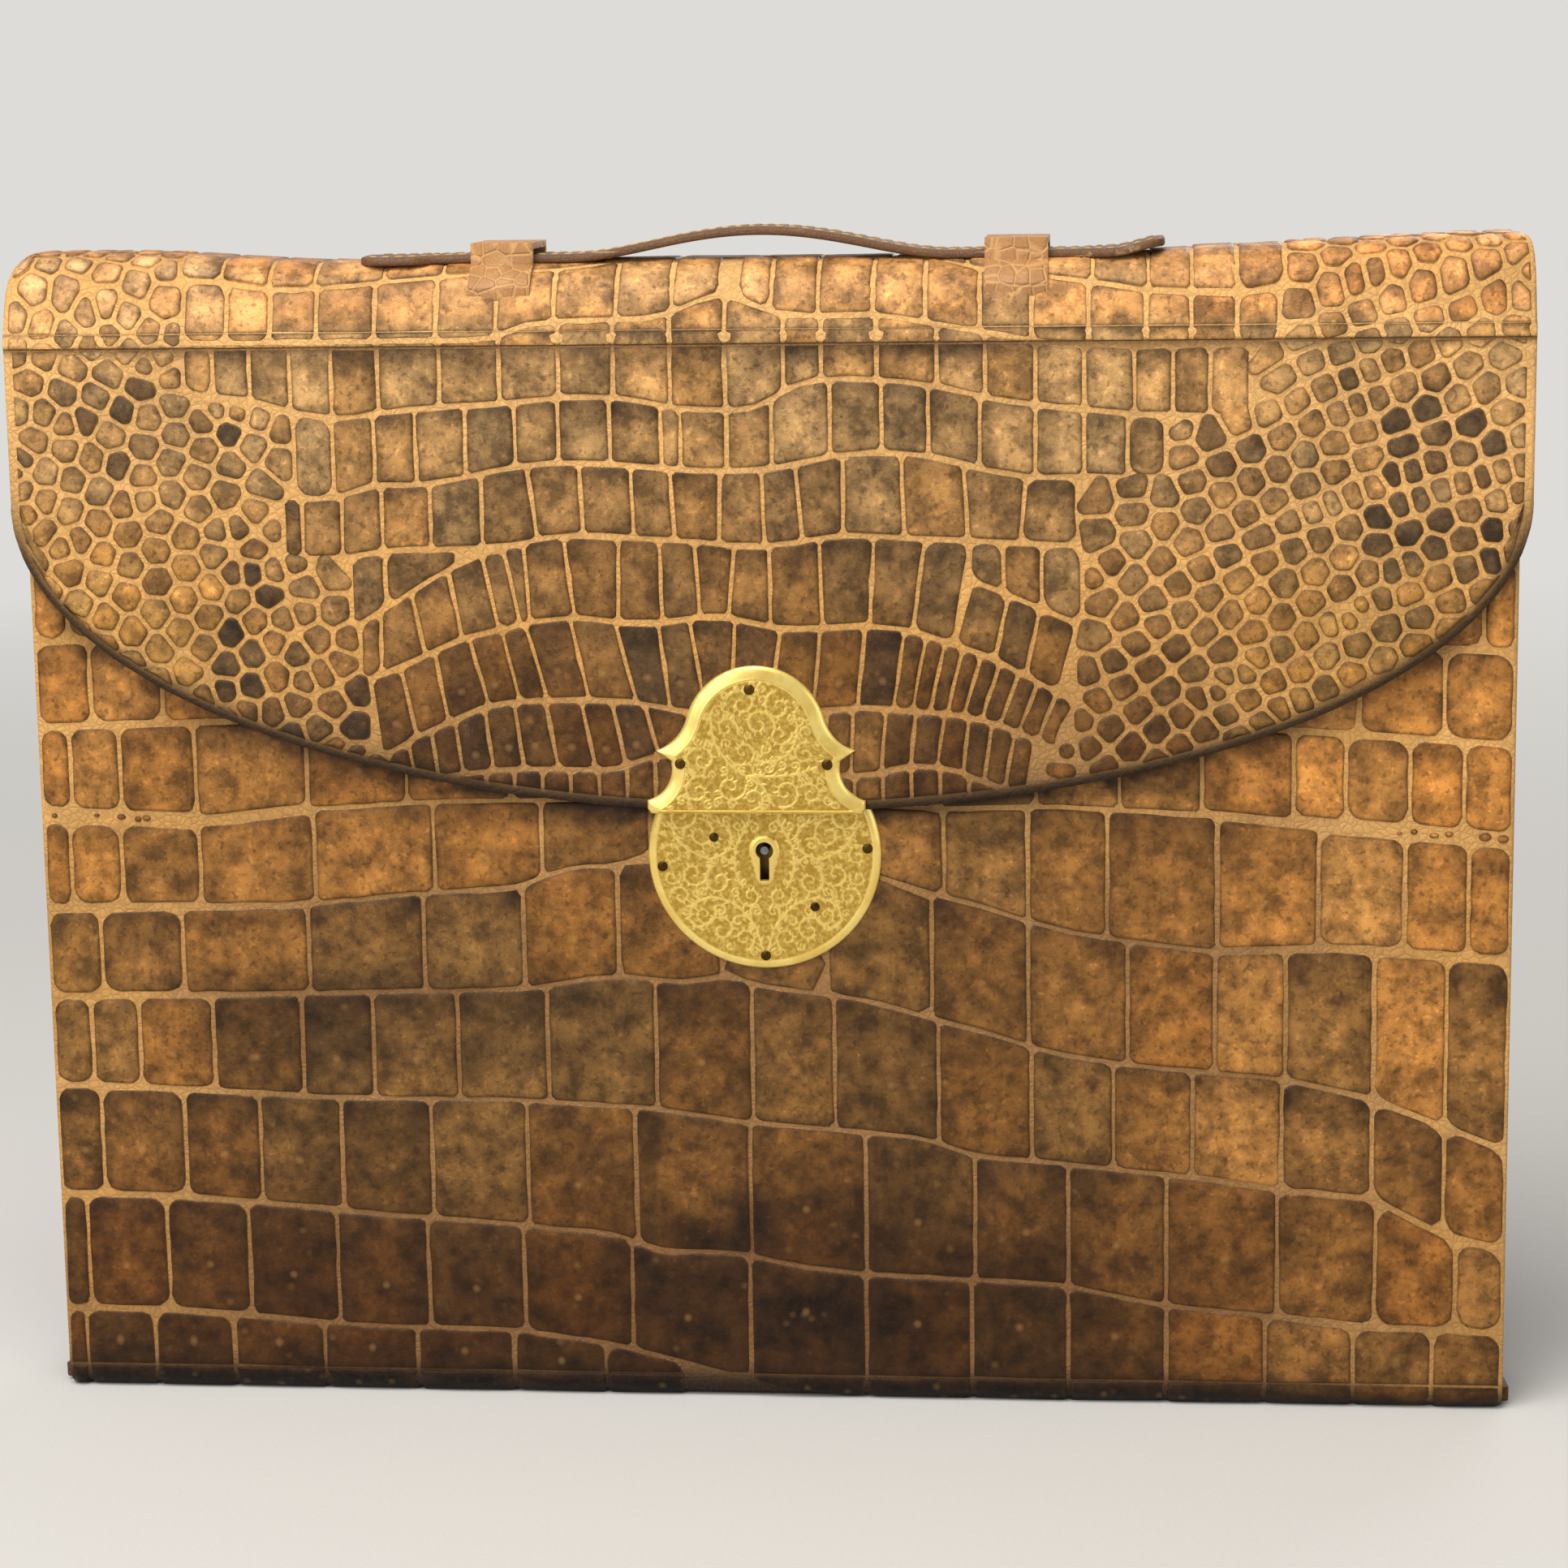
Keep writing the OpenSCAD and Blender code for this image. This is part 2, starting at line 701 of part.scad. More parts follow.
// The flap: straight sides, then a half oval
function flap_line(inset, n = 60) =
    let(a = top_w / 2 - inset, b = flap_bow - inset, top_z = crease_z - crease_band - inset)
    concat([[a, top_z]], [for (i = [0:n]) let(t = -180 * i / n) [a * cos(t), flap_oval_z + b * sin(t)]],
           [[-a, top_z]]);

module staple_passage() {
    translate([-staple_t / 2 - clear, lock_z + staple_z - staple_h / 2 - clear])
        square([staple_t + 2 * clear, staple_h + 2 * clear]);
}

hasp_overhang = 0.2;
hasp_z = flap_low_z - hasp_overhang;
hasp_pin_places = [[-1.2, 30.5], [-18.2, 12.4], [17.4, 12.2]];

module hasp_pin_holes(y0, y1) {
    for (p = hasp_pin_places)
        rod(pin_r + pin_clear, y0, y1, [p[0] - hasp_shift, hasp_z + p[1]]);
}

module flap_hide() {
    color("peru") centred() difference() {
        sheet(0, hide_t + card_t) polygon(flap_line(0));
        sheet(hide_t, hide_t + card_t + past) polygon(flap_line(hide_t));
        sheet(-past, hide_t + past) staple_passage();
        hasp_pin_holes(-past, flap_t);
    }
}

module flap_card() {
    color("tan") centred() difference() {
        sheet(hide_t, hide_t + card_t) polygon(flap_line(hide_t));
        sheet(0, flap_t) staple_passage();
        hasp_pin_holes(0, flap_t);
    }
}

module flap_lining() {
    color("maroon") centred() difference() {
        sheet(hide_t + card_t, flap_t) polygon(flap_line(lining_margin));
        sheet(0, flap_t + past) staple_passage();
        hasp_pin_holes(0, flap_t + past);
    }
}

// The hasp plate's outline: a round head, an ogee out to each shoulder, a cut-in waist and
// hollow sides down to the foot. b draws every edge in, for the rings of the bevel: the arcs by
// b itself, their ends by so many degrees for each millimetre, and the corners by a share of b.
ogee_draw = 4.9;
hollow_draw = 3.6;
notch_draw = 0.55;
notch_step = 0.2;
foot_cut = 0.8;
foot_draw = [0.9, 0.25];
foot_rise = 0.1;
head_turn = 75;
shoulder_z = 15.5;
notch_z = 12.9;
waist_z = 11.2;
foot_hollow_r = 8.2;
foot_z = 1.2;

function hasp_half(b) =
    let(head_z = hasp_h - hasp_head_r,
        n = [sin(head_turn), cos(head_turn)],
        tip = [hasp_shoulder_w / 2, shoulder_z - head_z],
        reach = (tip * tip - hasp_head_r * hasp_head_r) / (2 * (tip * n - hasp_head_r)),
        ogee_c = reach * n + [0, head_z],
        ogee_r = reach - hasp_head_r,
        to_tip = [tip[0], shoulder_z] - ogee_c,
        tip_a = 360 + atan2(to_tip[1], to_tip[0]),
        waist = hasp_waist_w / 2,
        foot = hasp_foot_w / 2,
        hollow_c = [waist + foot_hollow_r, waist_z],
        foot_a = 180 + acos((hollow_c[0] - foot) / foot_hollow_r))
    concat(arc_pts([0, head_z], hasp_head_r - b, 90, 90 - head_turn, 12),
           arc_pts(ogee_c, ogee_r + b, 270 - head_turn, tip_a - ogee_draw * b, 8),
           [[waist + notch_step - notch_draw * b, notch_z]],
           arc_pts(hollow_c, foot_hollow_r + b, 180, foot_a - hollow_draw * b, 7),
           [[foot - b, foot_z - foot_rise * b], [foot - foot_cut - foot_draw[0] * b, foot_draw[1] * b]]);

// The right half and its mirror image without the point on the middle line, which both share
function hasp_outline(b) =
    let(half = hasp_half(b), top = half[0])
    concat(half, [for (p = reversed(mirrored_x(half))) if (p != top) p]);

// The bevel falls from the face to the edge in a soft round: shares of its width and height
bevel_steps = [[0, 0], [0, 0.333], [0.25, 0.583], [0.6, 0.87], [1, 1]];
function hasp_rings() = [for (step = bevel_steps) [hasp_bevel * step[0], -hasp_t * step[1]]];

// Both flat faces are fans of triangles about one point from which the whole outline can be seen
hub_rise = 9;

module hasp_body() {
    rings = hasp_rings();
    count = len(hasp_outline(0));
    hub_z = foot_z + hub_rise;
    points = concat([for (ring = rings) for (p = hasp_outline(ring[0])) [p[0], ring[1], p[1]]],
                    [[0, 0, hub_z], [0, -hasp_t, hub_z]]);
    last = (len(rings) - 1) * count;
    hub = last + count;
    sides = [for (k = [0:len(rings) - 2]) for (i = [0:count - 1])
             let(a = k * count + i, b = k * count + (i + 1) % count)
             each [[a, b, b + count], [a, b + count, a + count]]];
    back = [for (i = [0:count - 1]) [(i + 1) % count, i, hub]];
    face = [for (i = [0:count - 1]) [last + i, last + (i + 1) % count, hub + 1]];
    polyhedron(points, concat(back, sides, face));
}

module hasp_plate() {
    color("gold") centred() difference() {
        translate([-hasp_shift, 0, hasp_z]) hasp_body();
        hasp_pin_holes(-hasp_t - past, past);
    }
}

module hasp_pins() {
    color("goldenrod") centred() for (p = hasp_pin_places)
        translate([p[0] - hasp_shift, 0, hasp_z + p[1]])
            domed_pin(pin_r, pin_head_r, pin_head_h, -hasp_t, hasp_t + flap_t - lining_t);
}

// The staple: a tongue of brass behind the hasp plate with an eye for the bolt
eye_play = [0.6, 1];
eye_h = bolt_head_h + eye_play[1];
eye_d = bolt_t + eye_play[0];
eye_y = bolt_y - clear;
staple_end = 1.1;

module hasp_staple() {
    z = lock_z + staple_z;
    color("goldenrod") centred() difference() {
        translate([-staple_t / 2, 0, z - staple_h / 2]) cube([staple_t, eye_y + eye_d + staple_end, staple_h]);
        translate([-staple_t, eye_y, z - eye_h / 2]) cube([2 * staple_t, eye_d, eye_h]);
    }
}

case_hide();
base_board();
back_board();
top_board();
case_lining();
left_gusset();
right_gusset();
divider_board();
divider_cover();
back_pocket();
pen_loops();
writing_board();
blotting_paper();
board_corners();
left_handle_loop();
right_handle_loop();
flap_crease();
front_hide();
front_board();
front_lining();
lock_pad();
lock_plate();
lock_plate_pins();
lock_rivets();
lock_drum();
key_pin();
lock_bolt();
bolt_spring();
flap_hide();
flap_card();
flap_lining();
hasp_plate();
hasp_pins();
hasp_staple();
handle_strap();
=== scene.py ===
"""Dresses the flap-over writing case: glazed crocodile hide, gilt lock and hasp, handle and inside."""

import json
import logging
import math
from dataclasses import dataclass
from enum import Enum
from typing import Callable, Iterable, Sequence

import bmesh
import bpy
import numpy as np
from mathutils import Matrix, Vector

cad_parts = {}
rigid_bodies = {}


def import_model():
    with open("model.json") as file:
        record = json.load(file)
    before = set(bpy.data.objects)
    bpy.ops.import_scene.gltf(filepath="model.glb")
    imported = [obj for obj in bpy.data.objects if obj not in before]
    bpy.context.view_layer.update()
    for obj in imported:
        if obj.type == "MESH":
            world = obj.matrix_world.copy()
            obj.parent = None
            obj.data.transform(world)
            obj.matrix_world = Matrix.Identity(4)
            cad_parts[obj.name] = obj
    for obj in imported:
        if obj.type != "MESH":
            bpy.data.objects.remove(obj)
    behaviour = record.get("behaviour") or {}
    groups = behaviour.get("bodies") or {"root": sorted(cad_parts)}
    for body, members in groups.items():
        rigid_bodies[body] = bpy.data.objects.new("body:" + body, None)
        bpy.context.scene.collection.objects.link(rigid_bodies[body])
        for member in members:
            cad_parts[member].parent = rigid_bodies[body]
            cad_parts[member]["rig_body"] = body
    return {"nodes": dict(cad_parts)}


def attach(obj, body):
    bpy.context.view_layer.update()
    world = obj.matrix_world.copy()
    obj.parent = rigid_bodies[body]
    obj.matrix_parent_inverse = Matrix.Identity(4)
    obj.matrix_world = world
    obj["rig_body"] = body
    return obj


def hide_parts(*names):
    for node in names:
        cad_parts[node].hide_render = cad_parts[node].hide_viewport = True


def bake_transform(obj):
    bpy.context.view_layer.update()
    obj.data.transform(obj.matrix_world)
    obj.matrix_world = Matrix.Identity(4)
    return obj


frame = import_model()
log = logging.getLogger("writing_case")

Point = tuple[float, float]
Line = tuple[Point, ...]
Colour = tuple[float, float, float]
Box = tuple[float, float, float, float]
Tint = Callable[[np.ndarray, np.ndarray], np.ndarray]

MM = 0.001
# The source counts Y from the flap's outer face; the frame counts it from the middle
MID_Y = 16.85
CREASE_Z = 264.5
CREASE_BAND = 1.8
CASE_H = 281.5
CASE_D = 36.0
BODY_HALF = 180.0
TOP_HALF = 182.5
FLAP_SIDE = 40.0
FLAP_BOW = 74.5
FRONT_Y = 4.7
FRONT_TOP = 238.5
FOLD_Y = 9.1
FOLD_Z = 4.4
LOCK_Z = 139.0
STRAP_Y = 19.5
# Y of the inside of the back, counted as FRONT_Y is
BACK_INSIDE = 31.6
# Along the wrap: where the flap's rows end, and where the scales of the back and of the base start
FLAP_END = -118.0
BACK_START = 41.5
BASE_START = 320.0
# How far scales stay from the ends of a piece and from a tooled line
PARTING = 0.22
# The photograph's width in pixels, and the camera's sensor in mm
PHOTO_PIXELS = 1932
SENSOR = 36.0


# ---- Numbers and colours


def srgb(red: float, green: float, blue: float) -> Colour:
    """The linear colour of an sRGB one.

    Args:
        red: Red from 0 to 255.
        green: Green from 0 to 255.
        blue: Blue from 0 to 255.

    Returns:
        The three linear values.
    """
    return tuple(((c / 255 + 0.055) / 1.055) ** 2.4 if c > 10 else c / 255 / 12.92 for c in (red, green, blue))


def smooth(low: float, high: float, x: np.ndarray) -> np.ndarray:
    """A soft step from 0 at low to 1 at high."""
    t = np.clip((np.asarray(x, float) - low) / (high - low), 0, 1)
    return t * t * (3 - 2 * t)


def mix(a: np.ndarray, b: Sequence[float], t: np.ndarray) -> np.ndarray:
    """Colours a moved towards colour b by share t."""
    return a + (np.asarray(b, float) - a) * np.asarray(t)[:, None]


def value_noise(x: np.ndarray, y: np.ndarray, size: float, seed: int) -> np.ndarray:
    """Smooth noise over the unrolled hide.

    Args:
        x: Places across, in mm.
        y: Places along, in mm.
        size: Size of its patches, in mm.
        seed: Which pattern.

    Returns:
        Values from 0 to 1.
    """
    px, py = np.asarray(x) / size + 31.7 * seed, np.asarray(y) / size + 17.3 * seed
    ix, iy = np.floor(px), np.floor(py)
    fx, fy = px - ix, py - iy
    fx, fy = fx * fx * (3 - 2 * fx), fy * fy * (3 - 2 * fy)

    def corner(a: np.ndarray, b: np.ndarray) -> np.ndarray:
        """The noise at a corner of the lattice."""
        h = np.sin(a * 127.1 + b * 311.7 + seed * 74.7) * 43758.5453
        return h - np.floor(h)

    low = corner(ix, iy) * (1 - fx) + corner(ix + 1, iy) * fx
    high = corner(ix, iy + 1) * (1 - fx) + corner(ix + 1, iy + 1) * fx
    return low * (1 - fy) + high * fy


def cloud(x: np.ndarray, y: np.ndarray, size: float, seed: int) -> np.ndarray:
    """Three octaves of noise, from 0 to 1."""
    parts = [value_noise(x, y, size / 2**k, seed + k) / 2**k for k in range(3)]
    return sum(parts) / 1.75


# ---- Contours that the hide follows


@dataclass(frozen=True)
class Contour:
    """A line in the Y-Z plane that a hide follows.

    Attributes:
        along: Distance along the hide at each sample, in mm, rising.
        y: Y of the samples, counted from the flap's outer face.
        z: Z of the samples.
        ny: Y of the outward normals.
        nz: Z of the outward normals.
    """

    along: np.ndarray
    y: np.ndarray
    z: np.ndarray
    ny: np.ndarray
    nz: np.ndarray

    def turns(self, low: float, high: float) -> bool:
        """Whether the contour bends between two places along it."""
        ny, nz = np.interp([low, high], self.along, self.ny), np.interp([low, high], self.along, self.nz)
        return abs(ny[1] - ny[0]) + abs(nz[1] - nz[0]) > 0.12

    def place(self, x: np.ndarray, along: np.ndarray, height: np.ndarray | float) -> np.ndarray:
        """Points on or over the hide's outer face.

        Args:
            x: Places across, in mm.
            along: Places along the contour, in mm.
            height: Height over the face, in mm.

        Returns:
            The points in the frame, in metres.
        """
        y, z, ny, nz = (np.interp(along, self.along, v) for v in (self.y, self.z, self.ny, self.nz))
        length = np.hypot(ny, nz)
        height = np.asarray(height, float)
        up = np.maximum(z + nz / length * height + top_lift(x, along), 0)
        return np.stack([x, y + ny / length * height - MID_Y, up], -1) * MM

    def grid(self, x: np.ndarray, along: np.ndarray, height: np.ndarray | float) -> np.ndarray:
        """Points as place gives them, in the rows and columns of x."""
        flat = np.broadcast_to(height, x.shape).ravel()
        return self.place(x.ravel(), along.ravel(), flat).reshape(*x.shape, 3)


def top_lift(x: np.ndarray, along: np.ndarray) -> np.ndarray:
    """How far the ends of the top have warped upwards, in mm; it is nil on the front, the flap and the back.

    Args:
        x: Places across, in mm.
        along: Places along the contour, in mm.

    Returns:
        The rise at each place.
    """
    x, along = np.asarray(x, float), np.asarray(along, float)
    rise = 0.6 + 3.9 * smooth(60, 182, x) + 2.9 * smooth(-96, -160, x) - 2.0 * smooth(-177, -182.5, x)
    return rise * smooth(5, 16, along) * (1 - smooth(44, 100, along))


def contour_from(pieces: Iterable[tuple[np.ndarray, np.ndarray, np.ndarray, np.ndarray]], start: float) -> Contour:
    """Joins stretches of points and normals into one contour.

    Args:
        pieces: Arrays of y, z, normal y and normal z for each stretch.
        start: The value of along at the first point.

    Returns:
        The contour.
    """
    y, z, ny, nz = (np.concatenate(v) for v in zip(*pieces))
    step = np.hypot(np.diff(y), np.diff(z))
    along = start + np.concatenate([[0], np.cumsum(np.maximum(step, 1e-6))])
    return Contour(along, y, z, ny, nz)


def arc(cy: float, cz: float, r: float, a0: float, a1: float, n: int = 24) -> tuple[np.ndarray, ...]:
    """Points and normals along an arc in the Y-Z plane, angles in degrees."""
    a = np.radians(np.linspace(a0, a1, n))
    return cy + r * np.cos(a), cz + r * np.sin(a), np.cos(a), np.sin(a)


def straight(y0: float, z0: float, y1: float, z1: float, ny: float, nz: float) -> tuple[np.ndarray, ...]:
    """Points and normals along a straight stretch."""
    return np.array([y0, y1]), np.array([z0, z1]), np.array([ny, ny]), np.array([nz, nz])


def wrap_contour() -> Contour:
    """The wrap from below the flap's tip, over the crease, brow, top, back and base; along is nil at the crease.

    Returns:
        The contour.
    """
    lean, r, corner = math.radians(15), 14.0, 5.0
    brow_z = CASE_H - r
    brow_y = (brow_z + r * math.sin(lean) - CREASE_Z) * math.tan(lean) + r * math.cos(lean)
    brow0 = (brow_y - r * math.cos(lean), brow_z + r * math.sin(lean))
    return contour_from(
        [
            straight(0, CREASE_Z - 130, 0, CREASE_Z - 0.8, -1, 0),
            straight(0.2, CREASE_Z + 0.8, *brow0, -math.cos(lean), math.sin(lean)),
            arc(brow_y, brow_z, r, 165, 90),
            arc(CASE_D - corner, CASE_H - corner, corner, 90, 0, 12),
            arc(CASE_D - corner, corner + 0.6, corner, 0, -90, 12),
            straight(CASE_D - corner, 0.6, FOLD_Y, 0.6, 0, -1),
        ],
        -130,
    )


def front_contour() -> Contour:
    """The front from its roll under the fold to its top edge; along is the height above the table.

    Returns:
        The contour.
    """
    return contour_from(
        [arc(FOLD_Y, FOLD_Z, FOLD_Z, 252, 180, 14), straight(FRONT_Y, FOLD_Z, FRONT_Y, FRONT_TOP, -1, 0)],
        FOLD_Z - FOLD_Z * math.radians(72),
    )


WRAP = wrap_contour()
FRONT = front_contour()


def wrap_half(along: np.ndarray) -> np.ndarray:
    """Half the wrap's width at a place along it: the top narrows from the crease to the back."""
    y = np.interp(along, WRAP.along, WRAP.y)
    return np.where(np.asarray(along) < 0, TOP_HALF, np.interp(y, [0, CASE_D], [TOP_HALF, BODY_HALF]))


# ---- Meshes


def linked(name: str, data: bpy.types.ID) -> bpy.types.Object:
    """A new object, linked to the scene.

    Args:
        name: The object's name.
        data: Its mesh, lamp or camera.

    Returns:
        The object.
    """
    obj = bpy.data.objects.new(name, data)
    bpy.context.scene.collection.objects.link(obj)
    return obj


def write_value(mesh: bpy.types.Mesh, name: str, data: np.ndarray) -> None:
    """Stores a named value, or three of them, for each vertex of a mesh."""
    kind, key = ("FLOAT", "value") if data.ndim == 1 else ("FLOAT_VECTOR", "vector")
    mesh.attributes.new(name, kind, "POINT").data.foreach_set(key, data.astype(np.float32).ravel())


class Shell:
    """Gathers the vertices, faces and point values of one mesh."""

    def __init__(self) -> None:
        """Starts empty."""
        self.points: list[np.ndarray] = []
        self.faces: list[list[int]] = []
        self.values: dict[str, list[np.ndarray]] = {}
        self.count = 0

    def add(self, points: np.ndarray, faces: Iterable[Sequence[int]], **values: np.ndarray) -> None:
        """Adds one closed form.

        Args:
            points: Its vertices in metres.
            faces: Its faces, counted from its first vertex.
            **values: One row for each vertex of each named point value.
        """
        base = self.count
        self.points.append(points)
        self.faces.extend([[base + int(i) for i in f] for f in faces])
        for name, value in values.items():
            self.values.setdefault(name, []).append(np.asarray(value, float))
        self.count += len(points)

    def make(self, name: str, finish: bpy.types.Material, sharp: float = 50) -> bpy.types.Object:
        """Makes the object.

        Args:
            name: The piece's name.
            finish: Its material.
            sharp: Edges sharper than this many degrees stay sharp.

        Returns:
            The new object, linked to the scene.
        """
        mesh = bpy.data.meshes.new(name)
        mesh.from_pydata(np.concatenate(self.points).tolist(), [], self.faces)
        mesh.polygons.foreach_set("use_smooth", np.ones(len(mesh.polygons), bool))
        for value_name, parts in self.values.items():
            write_value(mesh, value_name, np.concatenate(parts))
        mesh.update()
        mesh.set_sharp_from_angle(angle=math.radians(sharp))
        mesh.materials.append(finish)
        return linked(name, mesh)


def grid_shell(outer: np.ndarray, inner: np.ndarray) -> tuple[np.ndarray, list[list[int]]]:
    """A closed solid between two grids of points.

    Args:
        outer: Rows by columns by 3; rows by columns turns so that the outer face points outwards.
        inner: The same grid on the inner face.

    Returns:
        The vertices and the faces.
    """
    rows, cols = outer.shape[:2]
    points = np.concatenate([outer.reshape(-1, 3), inner.reshape(-1, 3)])
    index = np.arange(rows * cols).reshape(rows, cols)
    back = index + rows * cols
    faces: list[list[int]] = []

    def sheet(a: np.ndarray, b: np.ndarray, c: np.ndarray, d: np.ndarray) -> None:
        """Adds four-sided faces from four arrays of corners."""
        faces.extend(np.stack([a.ravel(), b.ravel(), c.ravel(), d.ravel()], -1).tolist())

    sheet(index[:-1, :-1], index[:-1, 1:], index[1:, 1:], index[1:, :-1])
    sheet(back[:-1, :-1], back[1:, :-1], back[1:, 1:], back[:-1, 1:])
    sheet(index[0, :-1], back[0, :-1], back[0, 1:], index[0, 1:])
    sheet(index[-1, 1:], back[-1, 1:], back[-1, :-1], index[-1, :-1])
    sheet(index[1:, 0], back[1:, 0], back[:-1, 0], index[:-1, 0])
    sheet(index[:-1, -1], back[:-1, -1], back[1:, -1], index[1:, -1])
    return points, faces


def rounded(distance: np.ndarray, radius: float) -> np.ndarray:
    """How far a rounded edge falls at a distance from the rim, as a negative height."""
    e = np.clip(radius - np.asarray(distance, float), 0, radius)
    return np.sqrt(np.maximum(radius * radius - e * e, 0)) - radius


def edge_steps(low: float, high: float, step: float, radius: float) -> np.ndarray:
    """Places from low to high, close together at both ends where the edge is rounded.

    Args:
        low: The first place.
        high: The last.
        step: Distance between them in the middle.
        radius: Radius of the rounding.

    Returns:
        The places.
    """
    near = np.array([0, 0.08, 0.3, 0.65, 1.0]) * radius
    middle = np.linspace(low + radius, high - radius, max(2, int((high - low) / step)) + 1)
    return np.concatenate([low + near[:-1], middle, high - near[:-1][::-1]])


def softened(node: str, radius: float, name: str, finish: bpy.types.Material, slot: str) -> bpy.types.Object:
    """A copy of a rigid node with its sharp edges rounded, which stands for it.

    Args:
        node: The node's name.
        radius: Radius of the rounding, in mm.
        name: The new piece's name.
        finish: Its material.
        slot: The record's material slot.

    Returns:
        The new piece, riding on the node's body.
    """
    source = frame["nodes"][node]
    bm = bmesh.new()
    bm.from_mesh(source.data)
    bmesh.ops.remove_doubles(bm, verts=bm.verts, dist=2e-6)
    bmesh.ops.dissolve_limit(bm, angle_limit=math.radians(0.6), verts=bm.verts, edges=bm.edges)
    sharp = [e for e in bm.edges if len(e.link_faces) == 2 and e.calc_face_angle(0) > math.radians(32)]
    if radius > 0:
        bmesh.ops.bevel(bm, geom=sharp, offset=radius * MM, segments=2, profile=0.5, affect="EDGES", clamp_overlap=True)
    mesh = bpy.data.meshes.new(name)
    bm.to_mesh(mesh)
    bm.free()
    facing = [tuple(round(c, 2) for c in face.normal) for face in mesh.polygons]
    spread: dict[tuple[float, ...], float] = {}
    for face, normal in zip(mesh.polygons, facing):
        spread[normal] = spread.get(normal, 0) + face.area
    mesh.polygons.foreach_set("use_smooth", [spread[normal] < 4e-4 for normal in facing])
    mesh.set_sharp_from_angle(angle=math.radians(38))
    mesh.materials.clear()
    mesh.materials.append(finish)
    return seat(linked(name, mesh), source["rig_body"], slot, node)


def seat(obj: bpy.types.Object, body: str, slot: str, *nodes: str) -> bpy.types.Object:
    """Puts a finished piece on its body and hides the nodes it stands for.

    Args:
        obj: The piece.
        body: The body it rides on.
        slot: The record's material slot; not used.
        *nodes: The CAD nodes it stands for.

    Returns:
        The same piece.
    """
    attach(obj, body)
    if nodes:
        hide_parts(*nodes)
    log.info("%s: %d faces on %s", obj.name, len(obj.data.polygons), body)
    return obj


def carve(obj: bpy.types.Object, tools: Sequence[bpy.types.Object]) -> None:
    """Cuts tool forms out of an object and removes the tools.

    Args:
        obj: The piece to cut.
        tools: The forms to cut with.
    """
    for tool in tools:
        cut = obj.modifiers.new("cut", "BOOLEAN")
        cut.operation = "DIFFERENCE"
        cut.solver = "EXACT"
        cut.object = tool
    graph = bpy.context.evaluated_depsgraph_get()
    mesh = bpy.data.meshes.new_from_object(obj.evaluated_get(graph))
    obj.modifiers.clear()
    obj.data = mesh
    for tool in tools:
        bpy.data.objects.remove(tool)


def retint(obj: bpy.types.Object, rule: Tint) -> None:
    """Writes the tint of a flat piece anew from its vertices' X and Z, after a cut has changed its mesh.

    Args:
        obj: The piece.
        rule: Tints by X and Z, in mm.
    """
    mesh = obj.data
    places = np.empty(len(mesh.vertices) * 3)
    mesh.vertices.foreach_get("co", places)
    places = places.reshape(-1, 3) / MM
    old = mesh.attributes.get("tint")
    if old:
        mesh.attributes.remove(old)
    write_value(mesh, "tint", rule(places[:, 0], places[:, 2]))


def cutter(name: str, outline: Sequence[Point], y0: float, y1: float) -> bpy.types.Object:
    """A prism along Y to cut with, from an outline in X and Z, in mm of the frame.

    Args:
        name: The prism's name.
        outline: Its corners.
        y0: Where it starts.
        y1: Where it ends.

    Returns:
        The prism.
    """
    n = len(outline)
    points = np.array([[x, y, z] for y in (y0, y1) for x, z in outline]) * MM
    faces = [list(range(n)), list(range(2 * n - 1, n - 1, -1))]
    faces += [[i, n + i, n + (i + 1) % n, (i + 1) % n] for i in range(n)]
    shell = Shell()
    shell.add(points, faces)
    return shell.make(name, bpy.data.materials.get("cutter") or bpy.data.materials.new("cutter"))


# ---- Finishes


